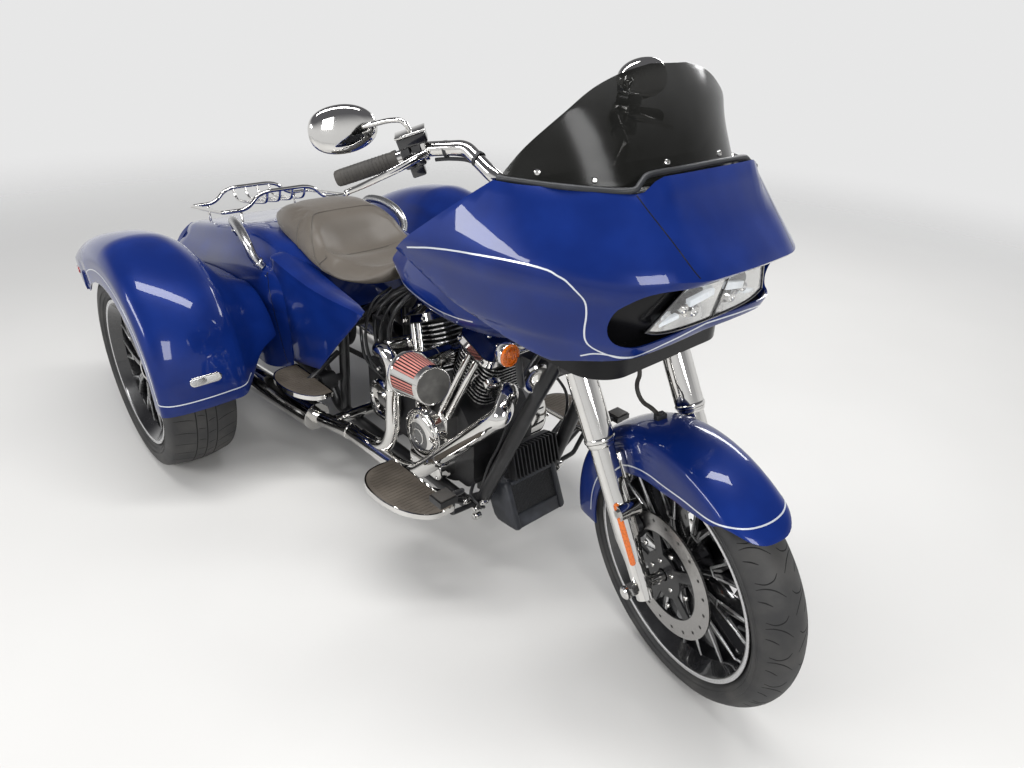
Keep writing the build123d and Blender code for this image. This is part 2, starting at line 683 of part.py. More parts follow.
# Saddle: rider's bucket and the raised passenger pad
saddle_rows = (
    (-40, 736, 110, 752, 130, 96, 776),
    (90, 716, 150, 740, 170, 128, 806),
    (250, 690, 160, 716, 178, 130, 792),
    (330, 672, 172, 690, 188, 140, 716),
    (470, 660, 160, 674, 178, 130, 696),
    (560, 664, 96, 684, 112, 74, 718),
    (598, 690, 60, 708, 72, 44, 744),
)
with BuildPart() as saddle:
    add(cross_loft(saddle_rows))
    add(tube(backbone, backbone_radius + 6, backbone_corner), mode=Mode.SUBTRACT)

# Rear body: hollow trunk between the fenders and the seat base in front of it
base_front = 345.0
axle_room = -145.0           # the deep part of the trunk ends here, behind the rear axle
rear_rows = (
    (trunk_rear, 306, trunk_half, 500, trunk_half, 210, 606),
    (-330, 300, trunk_half, 520, trunk_half, 214, 660),
    (-60, 300, trunk_half, 560, trunk_half, 206, 716),
    (150, 300, trunk_half, 590, 280, 190, 712),
    (262, 300, 264, 590, 256, 168, 690),
    (base_front, 300, 236, 590, 230, 150, 672),
)
trunk_floor = 330.0
trunk_wall = 28.0
hollow_rows = (
    (trunk_rear - 10, trunk_floor, trunk_half - trunk_wall, 500, trunk_half - trunk_wall, 182, 572),
    (-330, trunk_floor, trunk_half - trunk_wall, 520, trunk_half - trunk_wall, 186, 634),
    (axle_room - 20, trunk_floor, trunk_half - trunk_wall, 540, trunk_half - trunk_wall, 180, 666),
)
hinge_ys = (-190.0, 190.0)
door_low = 318.0
door_x = trunk_rear - door_gap
hinge_x = door_x - door_thickness
knuckle = 7.0
pin_radius = 3.0
with BuildPart() as trunk_body:
    add(cross_loft(rear_rows))
    add(cross_loft(hollow_rows), mode=Mode.SUBTRACT)
    add(slab(axle_room, base_front + 10, -400, 400, 280, rail_z + rail_radius + fit), mode=Mode.SUBTRACT)
    add(cross_loft(saddle_rows, fit), mode=Mode.SUBTRACT)
    for y in hinge_ys:
        add(bar((hinge_x, y - 12, door_low), (hinge_x, y + 12, door_low), knuckle))
        add(bar((hinge_x, y - 37, door_low), (hinge_x, y + 37, door_low), pin_radius))
        add(slab(hinge_x, trunk_rear + 20, y - 12, y + 12, door_low - knuckle, door_low - 1))

# Drop-down rear door of the trunk, as thick as the trunk's wall, with its hinge knuckles
with BuildPart() as trunk_door:
    with BuildSketch(Plane(origin=(door_x, 0, 0), x_dir=(0, 1, 0), z_dir=(1, 0, 0))):
        with BuildLine():
            Line((-284, door_low), (284, door_low))
            Line((284, door_low), (284, 500))
            ThreePointArc((284, 500), (245, 565), (204, 595))
            Line((204, 595), (-204, 595))
            ThreePointArc((-204, 595), (-245, 565), (-284, 500))
            Line((-284, 500), (-284, door_low))
        make_face()
    extrude(amount=-door_thickness)
    for y in hinge_ys:
        add(bar((hinge_x, y - 16, door_low), (hinge_x, y + 16, door_low), knuckle + 6), mode=Mode.SUBTRACT)
        for shift in (-27, 27):
            add(bar((hinge_x, y + shift - 10, door_low), (hinge_x, y + shift + 10, door_low), knuckle))
        add(bar((hinge_x, y - 37.5, door_low), (hinge_x, y + 37.5, door_low), pin_radius + fit), mode=Mode.SUBTRACT)

# Rear fenders: domed shells, open at the wheel. Columns: distance from the middle line, crest z,
# nose x, nose z, tail x, tail z, rear bottom z
crest_x = 10.0
fender_rows = (
    (trunk_half + fit, 566, 250, 446, -470, 505, 455),
    (360, 596, 285, 420, -480, 525, 470),
    (430, 684, 345, 350, -490, 550, 530),
    (455, 720, 368, 335, -497, 572, 552),
    (510, 757, 376, 335, -500, 590, 552),
    (575, 765, 378, 335, -500, 596, 552),
    (640, 757, 374, 335, -492, 594, 552),
    (680, 735, 366, 335, -380, 606, 552),
    (half_width, 700, 352, 335, -230, 626, 552),
)
arch_radius = 300.0


def arch_body(rows, shrink, low):
    """Body through side-view sections of the fender. shrink sets the face in, low drops the bottom."""
    with BuildPart(mode=Mode.PRIVATE) as body:
        for y, crest, nose_x, nose_z, tail_x, tail_z, rear_z in rows:
            top = crest - shrink
            nose = nose_x - shrink
            tail = tail_x + shrink
            tail_top = tail_z - shrink
            with BuildSketch(Plane(origin=(0, y, 0), x_dir=(1, 0, 0), z_dir=(0, -1, 0))):
                with BuildLine():
                    ThreePointArc((nose, nose_z), (nose * 0.79, top - (top - nose_z) * 0.37), (crest_x, top))
                    ThreePointArc((crest_x, top), (tail * 0.5, top - (top - tail_top) * 0.31), (tail, tail_top))
                    Line((tail, tail_top), (tail + 4, rear_z + 8))
                    Line((tail + 4, rear_z + 8), (tail + 34, rear_z - low))
                    Line((tail + 34, rear_z - low), (nose - 70, nose_z - low))
                    Line((nose - 70, nose_z - low), (nose, nose_z - low))
                    Line((nose, nose_z - low), (nose, nose_z))
                make_face()
        loft(ruled=True)
    return body.part


fender_outer = arch_body(fender_rows, 0, 2)
with BuildPart() as fender_left:
    add(fender_outer)
    inner_rows = list(fender_rows)
    inner_rows[0] = (fender_rows[0][0] + panel,) + fender_rows[0][1:]
    inner_rows[-1] = (half_width - panel,) + fender_rows[-1][1:]
    add(arch_body(inner_rows, panel, 90), mode=Mode.SUBTRACT)
    with BuildSketch(Plane(origin=(0, half_width - 60, rear_axle_z), x_dir=(1, 0, 0), z_dir=(0, 1, 0))):
        Circle(arch_radius)
    extrude(amount=80, mode=Mode.SUBTRACT)

with BuildPart() as fender_right:
    add(mirror(fender_left.part, about=Plane.XZ, mode=Mode.PRIVATE))

# Tail lamps behind the fender tails and marker lamps on the fender noses
with BuildPart() as fender_lamps:
    for side in sides:
        with BuildSketch(Plane(origin=(-522, side * 556, 574), x_dir=(0, 1, 0), z_dir=(1, 0, 0))):
            RectangleRounded(120, 36, 14)
        extrude(amount=40)
        with BuildSketch(Plane(origin=(360, side * 567, 424), x_dir=(0, 1, 0), z_dir=(1, 0, 0))):
            RectangleRounded(58, 22, 8)
        extrude(amount=30)
    add(fender_outer, mode=Mode.SUBTRACT)
    add(mirror(fender_outer, about=Plane.XZ, mode=Mode.PRIVATE), mode=Mode.SUBTRACT)

# Side covers between the seat base and the engine, on pins to the frame
cover_y = 250.0
with BuildPart() as side_covers:
    for side in sides:
        with BuildSketch(Plane(origin=(0, side * cover_y, 0), x_dir=(1, 0, 0), z_dir=(0, -1, 0))):
            Polygon((196, 660), (560, 664), (690, 650), (640, 600), (420, 404), (300, 382), (262, 400), align=None)
        extrude(amount=6, both=True)
        for x, y, z in ((377, 139, 460), (384, 136, 420)):
            add(bar((x, side * (y - 6), z), (x, side * cover_y, z), 8))
    add(trunk_body.part, mode=Mode.SUBTRACT)
    add(frame.part, mode=Mode.SUBTRACT)

# Luggage rack: two raised hoops joined by side rails and U-shaped deck bars, on four posts
rack_tube = 7.0
rack_half = 238.0
rack_flat = 150.0
rack_peak = 98.0
rack_rows = ((-498, 692, 742), (-186, 736, 789))
with BuildPart() as luggage_rack:
    for x, low, high in rack_rows:
        add(tube((
            (x, -rack_half - 3, low), (x, -rack_flat, low), (x, -rack_peak, high), (x, rack_peak, high),
            (x, rack_flat, low), (x, rack_half + 3, low),
        ), rack_tube, 16))
        for side in sides:
            add(bar((x, side * 176, low), (x, side * 176, low - 70), 5.5))
    rear_row, front_row = rack_rows
    for side in sides:
        add(bar((rear_row[0] - 2, side * rack_half, rear_row[1] - 0.3),
                (front_row[0] + 2, side * rack_half, front_row[1] + 0.3), rack_tube - 0.5))
    for y in (-72, -24, 24, 72):
        add(tube((
            (rear_row[0], y, rear_row[2]), (rear_row[0] + 22, y, rear_row[1] + 4),
            (front_row[0] - 22, y, front_row[1] + 4), (front_row[0], y, front_row[2]),
        ), 5, 14))
    add(trunk_body.part, mode=Mode.SUBTRACT)

# Grab handles on the shoulders of the trunk
with BuildPart() as grab_handles:
    for side in sides:
        add(tube(at_side((
            (-74, 236, 690), (-64, 256, 742), (30, 280, 744), (128, 288, 706), (140, 262, 640),
        ), side), 13, 20))
    add(trunk_body.part, mode=Mode.SUBTRACT)

# Fairing: hollow nose open below and behind. Columns: z, front x, ridge x, ridge y, knee x,
# knee y, side x, side y, rear y
deck_z = 1140.0
fairing_rows = (
    (796, 1580, 1574, 180, 1500, 240, 1360, 300, 330),
    (866, 1602, 1612, 195, 1560, 250, 1370, 322, 352),
    (896, 1606, 1616, 205, 1572, 256, 1376, 334, 366),
    (962, 1618, 1622, 208, 1580, 262, 1384, 350, 384),
    (1016, 1688, 1678, 150, 1560, 286, 1390, 360, 394),
    (deck_z, 1556, 1546, 184, 1440, 262, 1335, 318, 352),
)
fairing_tail = 1118.0
fairing_wall = 6.0
fairing_outline = (
    (1132, 966), (1250, 900), (1370, 852), (1462, 820), (1552, 846), (1612, 866), (1720, 1015),
    (1570, deck_z + 2), (1336, deck_z + 2), (1132, 985),
)


def fairing_body(inset):
    """Body through level sections of the fairing, set in by an amount all round and at the top."""
    with BuildPart(mode=Mode.PRIVATE) as body:
        for z, front, ridge_x, ridge_y, knee_x, knee_y, side_x, side_y, rear_y in fairing_rows:
            with BuildSketch(Plane.XY.offset(min(z, deck_z - inset))):
                with BuildLine():
                    Polyline((ridge_x, -ridge_y), (front, 0), (ridge_x, ridge_y), (knee_x, knee_y))
                    ThreePointArc((knee_x, knee_y), (side_x, side_y), (fairing_tail, rear_y))
                    Line((fairing_tail, rear_y), (fairing_tail, -rear_y))
                    ThreePointArc((fairing_tail, -rear_y), (side_x, -side_y), (knee_x, -knee_y))
                    Line((knee_x, -knee_y), (ridge_x, -ridge_y))
                make_face()
                if inset > 0:
                    offset(amount=-inset, kind=Kind.INTERSECTION, mode=Mode.REPLACE)
        loft(ruled=True)
    return body.part


# Headlamp unit: its plan outline and height, shared by the opening in the fairing
lamp_low = 900.0
lamp_high = 958.0


def lamp_block(back, grow, low, high):
    """Block with the plan outline of the lamp unit, grown by a clearance."""
    half = 248 + grow
    with BuildPart(mode=Mode.PRIVATE) as body:
        with BuildSketch(Plane.XY.offset(low)):
            Polygon(
                (back, -half), (1574 + grow, -half), (1612 + grow, -206 - grow), (1604 + grow, 0),
                (1612 + grow, 206 + grow), (1574 + grow, half), (back, half), align=None,
            )
        extrude(amount=high - low)
    return body.part


with BuildPart() as fairing:
    add(fairing_body(0))
    add(fairing_body(fairing_wall), mode=Mode.SUBTRACT)
    with BuildSketch(Plane(origin=(0, 0, 0), x_dir=(1, 0, 0), z_dir=(0, -1, 0))):
        Polygon(*fairing_outline, align=None)
    extrude(amount=500, both=True, mode=Mode.INTERSECT)
    add(lamp_block(1520, fit, lamp_low - fit, lamp_high + fit), mode=Mode.SUBTRACT)
    add(slab(1560, 1720, -200, 200, lamp_low - fit, lamp_high + fit), mode=Mode.SUBTRACT)

lens_thickness = 4.0
lens_border = 8.0
pocket_back = 1560.0
pocket_y = 118.0
pocket_half = 90.0
with BuildPart() as headlamp_housing:
    add(lamp_block(1536, 0, lamp_low, lamp_high))
    for side in sides:
        add(slab(pocket_back, 1640, side * pocket_y - pocket_half, side * pocket_y + pocket_half,
                 lamp_low + lens_border, lamp_high - lens_border), mode=Mode.SUBTRACT)
with BuildPart() as headlamp_lenses:
    for side in sides:
        add(slab(pocket_back + 20, 1640, side * pocket_y - pocket_half + fit, side * pocket_y + pocket_half - fit,
                 lamp_low + lens_border + fit, lamp_high - lens_border - fit))
    add(lamp_block(1500, 0, lamp_low, lamp_high), mode=Mode.INTERSECT)
    add(lamp_block(1490, -lens_thickness, lamp_low - 1, lamp_high + 1), mode=Mode.SUBTRACT)

# Windscreen: curved smoked sheet standing on the fairing's deck. Columns: z above the deck's
# share of the height, middle x, edge x, edge half-width
screen_thickness = 4.0
screen_height = overall_height - deck_z
screen_rows = (
    (0.0, 1548, 1338, 312),
    (0.30, 1518, 1376, 280),
    (0.66, 1483, 1418, 228),
    (0.84, 1464, 1428, 166),
    (1.0, 1445, 1440, 60),
)
with BuildPart() as windscreen:
    for share, middle, edge, half in screen_rows:
        with BuildSketch(Plane.XY.offset(deck_z + fit + share * (screen_height - fit))):
            with BuildLine():
                ThreePointArc((edge, -half), (middle, 0), (edge, half))
                Line((edge, half), (edge - screen_thickness, half))
                ThreePointArc((edge - screen_thickness, half), (middle - screen_thickness, 0),
                              (edge - screen_thickness, -half))
                Line((edge - screen_thickness, -half), (edge, -half))
            make_face()
    loft(ruled=True)

# Instrument panel: closes the inside of the fairing ahead of the handlebar, with its gauges
gauges = ((-78, 1062, 50), (78, 1062, 50), (-172, 1068, 28), (172, 1068, 28))
with BuildPart() as instrument_panel:
    add(slab(1340, 1352, -400, 400, 1006, deck_z))
    add(fairing_body(fairing_wall + fit), mode=Mode.INTERSECT)
    for y, z, radius in gauges:
        add(bar((1346, y, z), (1324, y, z), radius))

# Skirt: black sheet below the lip of the fairing, with the flange that carries it
skirt_low = 775.0
skirt_front = 1534.0
skirt_length = 300.0
skirt_half = 214.0
flange_z = 872.0
with BuildPart() as fairing_skirt:
    add(slab(1352, 1640, -300, 300, flange_z, flange_z + 5))
    add(fairing_body(fairing_wall + fit), mode=Mode.INTERSECT)
    with BuildSketch(Plane.XY.offset(skirt_low)):
        with Locations((skirt_front - skirt_length / 2, 0)):
            RectangleRounded(skirt_length, 2 * skirt_half, 78)
    extrude(amount=flange_z + 5 - skirt_low)
    with BuildSketch(Plane.XY.offset(skirt_low - 1)):
        with Locations((skirt_front - 4 - skirt_length / 2, 0)):
            RectangleRounded(skirt_length, 2 * skirt_half - 8, 74)
    extrude(amount=120, mode=Mode.SUBTRACT)
    add(slab(1000, 1362, -400, 400, 700, 900), mode=Mode.SUBTRACT)

# Turn signals on a bracket each side of the frame's downtubes
signal_place = (1278, 222, 750)
with BuildPart() as turn_signals:
    for side in sides:
        x, y, z = signal_place
        add(bar((1296, side * 40, z), (x - 8, side * (y - 14), z), 7))
        add(bar((x - 26, side * y, z), (x + 14, side * y, z), 27))
    add(frame.part, mode=Mode.SUBTRACT)

# Footboards for rider and passenger, on brackets to the frame. Columns: rear x, front x,
# inner y, outer y, top z, bracket points
boards = (
    (870, 1150, 262, 398, 290, (((1000, 146, 176), (1000, 290, 282)), ((1064, 148, 196), (1064, 290, 282)))),
    (270, 520, 242, 356, 340, (((pivot_x + 4, 144, 392), (pivot_x + 16, 262, 334)),)),
)
with BuildPart() as footboards:
    for side in sides:
        for rear_x, front_x, inner_y, outer_y, top_z, arms in boards:
            with BuildSketch(Plane(origin=((rear_x + front_x) / 2, side * (inner_y + outer_y) / 2, top_z - 16))):
                RectangleRounded(front_x - rear_x, outer_y - inner_y, 34)
            extrude(amount=16)
            for low, high in arms:
                add(bar((low[0], side * low[1], low[2]), (high[0], side * high[1], high[2]), 9))
    add(frame.part, mode=Mode.SUBTRACT)
    add(side_covers.part, mode=Mode.SUBTRACT)

# Brake pedal on the right and shift lever on the left, on pivots under the front boards
with BuildPart() as foot_controls:
    for side in sides:
        add(tube(at_side(((1090, 150, 208), (1090, 232, 214), (1118, 244, 300), (1176, 262, 352), (1176, 318, 352)),
                         side), 7, 12))
        add(slab(1150, 1196, side * 318 - 26, side * 318 + 26, 344, 360))
    add(frame.part, mode=Mode.SUBTRACT)

# Plate bracket under the trunk, with the two holes for a plate's bolts
plate_holes = 178.0
plate_hole_radius = 3.5
plate_z = 244.0
with BuildPart() as plate_bracket:
    with BuildSketch(Plane(origin=(rear_end, 0, plate_z), x_dir=(0, 1, 0), z_dir=(1, 0, 0))):
        RectangleRounded(200, 116, 8)
        with Locations((-plate_holes / 2, 34), (plate_holes / 2, 34)):
            Circle(plate_hole_radius, mode=Mode.SUBTRACT)
    extrude(amount=4)
    for y in (-50, 50):
        add(slab(rear_end + 2, trunk_rear + 50, y - 12, y + 12, 288, 312))
    add(trunk_body.part, mode=Mode.SUBTRACT)
    add(slab(rear_end + 4, hinge_x + 40, -70, 70, 300, 330), mode=Mode.SUBTRACT)

# Steered pieces stand turned about the steering axis; everything moves over the origin
steered = (
    (front_tyre, "front_tyre"), (front_wheel, "front_wheel"), (front_discs, "front_discs"),
    (front_axle, "front_axle"), (fork_legs, "fork_legs"), (fork_yokes, "fork_yokes"),
    (front_fender, "front_fender"), (front_calipers, "front_calipers"), (handlebar, "handlebar"),
    (grips, "grips"), (hand_controls, "hand_controls"), (mirrors, "mirrors"), (brake_hose, "brake_hose"),
)
fixed = (
    (frame, "frame"), (rear_axle, "rear_axle"), (crankcase, "crankcase"), (cylinders, "cylinders"),
    (rocker_covers, "rocker_covers"), (cam_cover, "cam_cover"), (primary_cover, "primary_cover"),
    (drive_belt, "drive_belt"), (air_intake, "air_intake"), (exhaust_headers, "exhaust_headers"),
    (silencers, "silencers"), (regulator, "regulator"), (chin_shroud, "chin_shroud"),
    (fuel_tank, "fuel_tank"), (saddle, "saddle"), (trunk_body, "trunk_body"), (trunk_door, "trunk_door"),
    (fender_left, "fender_left"), (fender_right, "fender_right"), (fender_lamps, "fender_lamps"),
    (side_covers, "side_covers"), (luggage_rack, "luggage_rack"), (grab_handles, "grab_handles"),
    (fairing, "fairing"), (headlamp_housing, "headlamp_housing"), (headlamp_lenses, "headlamp_lenses"),
    (windscreen, "windscreen"), (instrument_panel, "instrument_panel"), (fairing_skirt, "fairing_skirt"),
    (turn_signals, "turn_signals"), (footboards, "footboards"), (foot_controls, "foot_controls"),
    (plate_bracket, "plate_bracket"),
)
os.makedirs("parts", exist_ok=True)
for piece, name in steered:
    piece.part = piece.part.rotate(steer_axis, parked_turn).moved(Pos(-middle_x, 0, 0))
    piece.part.label = name
    export_step(piece.part, f"parts/{name}.step")
for piece, name in fixed:
    piece.part = piece.part.moved(Pos(-middle_x, 0, 0))
    piece.part.label = name
    export_step(piece.part, f"parts/{name}.step")
for solid, name in rear_sets:
    solid = solid.moved(Pos(-middle_x, 0, 0))
    solid.label = name
    export_step(solid, f"parts/{name}.step")
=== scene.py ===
# %% Load the frame
from math import atan2, cos, hypot, pi, radians, sin, sqrt, tan
import bmesh
import bpy
from mathutils import Matrix, Vector
from mathutils.bvhtree import BVHTree


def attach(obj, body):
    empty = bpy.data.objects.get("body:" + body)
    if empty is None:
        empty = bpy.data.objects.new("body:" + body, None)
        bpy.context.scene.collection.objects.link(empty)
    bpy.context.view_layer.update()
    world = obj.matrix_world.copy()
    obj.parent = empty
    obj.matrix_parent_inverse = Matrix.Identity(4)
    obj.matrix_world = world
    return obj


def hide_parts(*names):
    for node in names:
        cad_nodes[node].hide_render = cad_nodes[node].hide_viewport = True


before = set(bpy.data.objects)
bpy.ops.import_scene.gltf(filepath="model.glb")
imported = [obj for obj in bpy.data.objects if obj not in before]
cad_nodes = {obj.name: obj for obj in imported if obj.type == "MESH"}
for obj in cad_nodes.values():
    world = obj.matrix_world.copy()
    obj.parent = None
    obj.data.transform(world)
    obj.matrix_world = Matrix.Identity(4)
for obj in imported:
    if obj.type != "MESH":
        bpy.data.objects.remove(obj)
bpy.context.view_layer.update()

scene = bpy.context.scene

# %% [markdown]
# ## Where things stand
# The trike is measured in a vehicle frame: x forward from the rear axle, y to the left, z up from
# the floor, in metres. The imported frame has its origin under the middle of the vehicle, so every
# finished mesh moves back by half the length. The front end is made pointing straight ahead,
# because a wheel is easier to shape that way, and then turned about the raked steering axis.

# %% Places and turns
MIDDLE_X = 0.6565
HOME = Matrix.Translation((-MIDDLE_X, 0, 0))
RAKE = radians(26)
FORK_ANGLE = radians(29.25)
STEER_POINT = Vector((1.62509, 0, 0.29620))
STEER_AXIS = Vector((-sin(RAKE), 0, cos(RAKE)))
PARKED = radians(-15.3)
TURN = (Matrix.Translation(STEER_POINT) @ Matrix.Rotation(PARKED, 4, STEER_AXIS)
        @ Matrix.Translation(-STEER_POINT))
FRONT_AXLE = Vector((1.670, 0, 0.3181))
REAR_AXLE_Z = 0.3255
HALF_TRACK = 0.570
SIDES = (-1, 1)
NAMED_SIDES = ((-1, "right"), (1, "left"))
SIDE_ON = Matrix(((1, 0, 0, 0), (0, 0, 1, 0), (0, 1, 0, 0), (0, 0, 0, 1)))
print("steering axis leans back", round(RAKE, 3), "rad; the front end stands turned", round(PARKED, 3),
      "rad")


def place(x, y, z, ahead=(1, 0, 0), up=(0, 0, 1)):
    """Matrix that puts local x along ahead and local z near up, at a point."""
    x_axis = Vector(ahead).normalized()
    y_axis = Vector(up).cross(x_axis).normalized()
    z_axis = x_axis.cross(y_axis)
    turn = Matrix((x_axis, y_axis, z_axis)).transposed().to_4x4()
    return Matrix.Translation((x, y, z)) @ turn


def facing(spot, way):
    """Matrix that puts local z along a direction, at a point."""
    return Matrix.Translation(spot) @ Vector(way).to_track_quat("Z", "Y").to_matrix().to_4x4()


# %% [markdown]
# ## Camera
# The photograph was taken from the front right, at about eye height and close to the trike, with
# a wide lens. The camera stands at the same spot and looks the same way, so that every outline
# can be laid over the photograph.

# %% Camera
camera_data = bpy.data.cameras.new("camera")
camera_data.lens = 25.49
camera_data.sensor_width = 36.0
camera = bpy.data.objects.new("camera", camera_data)
scene.collection.objects.link(camera)
right = Vector((0.664, 0.747, 0.034)).normalized()
ahead = Vector((-0.649, 0.599, -0.470)).normalized()
down = ahead.cross(right).normalized()
right = down.cross(ahead).normalized()
camera.matrix_world = (Matrix.Translation((1.6591, -1.1629, 1.4241))
                       @ Matrix((right, -down, -ahead)).transposed().to_4x4())
scene.camera = camera
print("camera at", [round(v, 3) for v in camera.location])

# %% [markdown]
# ## Shader maths as Python
# A material is a small calculation that runs at every point of a surface. Wrapping a socket in a
# class lets the script write that calculation with ordinary operators, which reads better than a
# long list of nodes and links. One method makes any other node: its settings come first, because
# they decide which sockets it has.

# %% Values, graphs and finishes


class Value:
    """A number, colour or vector that varies over a surface; operators on it add Math nodes."""

    def __init__(self, graph, socket):
        self.graph = graph
        self.socket = socket

    def math(self, operation, *values):
        return self.graph.node("ShaderNodeMath", {"operation": operation}, dict(enumerate(values)))

    def __add__(self, other):
        return self.math("ADD", self, other)

    def __sub__(self, other):
        return self.math("SUBTRACT", self, other)

    def __rsub__(self, other):
        return self.math("SUBTRACT", other, self)

    def __mul__(self, other):
        return self.math("MULTIPLY", self, other)

    def __truediv__(self, other):
        return self.math("DIVIDE", self, other)

    def __rtruediv__(self, other):
        return self.math("DIVIDE", other, self)

    __radd__ = __add__
    __rmul__ = __mul__

    def step(self, low, high):
        """0 below low, 1 above high, smooth between."""
        return self.graph.node("ShaderNodeMapRange", {"interpolation_type": "SMOOTHSTEP"},
                               {"Value": self, "From Min": low, "From Max": high})


class Graph:
    """A node tree; node() makes any node from its type, settings and inputs."""

    def __init__(self, tree):
        self.tree = tree

    def node(self, kind, settings=None, values=None, out=0):
        made = self.tree.nodes.new(kind)
        for name, setting in (settings or {}).items():
            setattr(made, name, setting)
        for name, value in (values or {}).items():
            self.put(made.inputs[name], value)
        return Value(self, made.outputs[out])

    def put(self, socket, value):
        if isinstance(value, Value):
            self.tree.links.new(value.socket, socket)
        elif socket.type == "RGBA" and len(value) == 3:
            socket.default_value = (*value, 1.0)
        else:
            socket.default_value = value


class Finish(Graph):
    """A material in the making: a Principled shader with constants, and what varies over it."""

    def __init__(self, name, **constants):
        self.material = bpy.data.materials.new(name)
        self.material.use_nodes = True
        super().__init__(self.material.node_tree)
        self.shader = self.tree.nodes["Principled BSDF"]
        self.spot = self.node("ShaderNodeTexCoord", out="Object")
        for name, value in constants.items():
            self.put(self.shader.inputs[name.replace("_", " ")], value)

    def noise(self, scale, detail=3.0, spot=None):
        return self.node("ShaderNodeTexNoise", None,
                         {"Vector": spot or self.spot, "Scale": scale, "Detail": detail})

    def cells(self, scale, feature="F1", spot=None):
        return self.node("ShaderNodeTexVoronoi", {"feature": feature},
                         {"Vector": spot or self.spot, "Scale": scale})

    def mix(self, factor, first, second):
        return self.node("ShaderNodeMix", {"data_type": "RGBA"}, {0: factor, 6: first, 7: second}, 2)

    def stretched(self, x, y, z):
        return self.node("ShaderNodeVectorMath", {"operation": "MULTIPLY"}, {0: self.spot, 1: (x, y, z)})

    def bump(self, height, distance, strength=1.0):
        return self.node("ShaderNodeBump", None, {"Height": height, "Distance": distance,
                                                  "Strength": strength})

    def done(self, **links):
        for name, value in links.items():
            self.put(self.shader.inputs[name.replace("_", " ")], value)
        return self.material


def from_line(finish, point, direction):
    """Distance of the surface from a straight line, such as an axle."""
    arm = finish.node("ShaderNodeVectorMath", {"operation": "SUBTRACT"}, {0: finish.spot, 1: tuple(point)})
    side = finish.node("ShaderNodeVectorMath", {"operation": "CROSS_PRODUCT"},
                       {0: arm, 1: tuple(direction)})
    return finish.node("ShaderNodeVectorMath", {"operation": "LENGTH"}, {0: side}, "Value")


print("shader helpers are ready")

# %% [markdown]
# ## Paint
# The body is a deep royal blue under a thick clear coat. The colour layer has fine flakes that
# make it a little lighter in clouds, and the coat has a faint orange peel that wobbles long
# reflections. Both are far too small to model, so they are noise in the shader.

# %% Paint and pinstripe


def blue_paint():
    finish = Finish("blue_paint", Coat_Weight=1.0, Coat_Roughness=0.02, Coat_IOR=1.32,
                    Specular_IOR_Level=0.08)
    clouds = finish.noise(9.0, 4.0)
    flakes = finish.cells(2400.0)
    tone = finish.mix(clouds.step(0.35, 0.75), (0.0020, 0.0125, 0.102), (0.0030, 0.0185, 0.142))
    tone = finish.mix(flakes.step(0.0, 0.5) * 0.12, tone, (0.012, 0.040, 0.24))
    peel = finish.noise(240.0, 1.0)
    return finish.done(Base_Color=tone, Roughness=clouds * 0.12 + 0.26, Metallic=flakes.step(0.2, 0.6)
                       * 0.15,
                       Normal=finish.bump(peel, 0.00006, 0.5))


def silver_stripe():
    finish = Finish("silver_stripe", Coat_Weight=1.0, Coat_Roughness=0.03)
    grain = finish.noise(700.0)
    return finish.done(Base_Color=finish.mix(grain, (0.55, 0.58, 0.63), (0.72, 0.75, 0.80)),
                       Roughness=grain * 0.15 + 0.25, Metallic=grain * 0.2 + 0.3)


BLUE = blue_paint()
STRIPE = silver_stripe()
print("paint:", BLUE.name, STRIPE.name)

# %% [markdown]
# ## Metals
# Chrome is a mirror with a faint haze where it has been wiped. Machined faces keep the tool's
# fine lines. Cast and powder-coated parts are rougher, with a pebbled bump.

# %% Metals


def chrome():
    finish = Finish("chrome", Metallic=1.0)
    haze = finish.noise(14.0, 5.0)
    return finish.done(Base_Color=finish.mix(haze, (0.62, 0.61, 0.59), (0.78, 0.77, 0.75)),
                       Roughness=haze.step(0.4, 0.9) * 0.09 + 0.045)


def brushed(name, tone, scale):
    finish = Finish(name, Metallic=1.0)
    lines = finish.noise(1.0, 4.0, finish.stretched(*scale))
    dark = tuple(0.72 * part for part in tone)
    return finish.done(Base_Color=finish.mix(lines, dark, tone), Roughness=lines * 0.16 + 0.2,
                       Normal=finish.bump(lines, 0.00004, 0.6))


def gloss_black():
    finish = Finish("gloss_black", Coat_Weight=1.0, Coat_Roughness=0.03)
    dust = finish.noise(30.0, 5.0)
    return finish.done(Base_Color=finish.mix(dust.step(0.5, 0.9), (0.006, 0.006, 0.007),
                                             (0.02, 0.02, 0.022)),
                       Roughness=dust * 0.15 + 0.18)


def powder_black(name, tone, grain, rough):
    finish = Finish(name)
    pebble = finish.noise(grain, 3.0)
    wear = finish.noise(22.0, 6.0)
    light = tuple(2.2 * part + 0.004 for part in tone)
    return finish.done(Base_Color=finish.mix(wear.step(0.45, 0.85), tone, light),
                       Roughness=pebble * 0.2 + rough, Metallic=wear * 0.2,
                       Normal=finish.bump(pebble, 0.0002, 0.5))


CHROME = chrome()
MACHINED = brushed("machined_edge", (0.80, 0.80, 0.81), (900, 60, 900))
CAST = brushed("cast_alloy", (0.60, 0.60, 0.60), (260, 260, 260))
GLOSS = gloss_black()
FRAME_BLACK = powder_black("frame_black", (0.012, 0.012, 0.013), 500.0, 0.22)
ENGINE_BLACK = powder_black("engine_black", (0.011, 0.011, 0.012), 1300.0, 0.36)
PLASTIC = powder_black("black_plastic", (0.020, 0.021, 0.023), 1800.0, 0.36)
CAP_GREY = powder_black("cap_grey", (0.062, 0.060, 0.056), 900.0, 0.40)
SHROUD_GREY = powder_black("shroud_grey", (0.026, 0.028, 0.034), 1500.0, 0.40)
print("metals and blacks:", CHROME.name, MACHINED.name, CAST.name, GLOSS.name, ENGINE_BLACK.name)

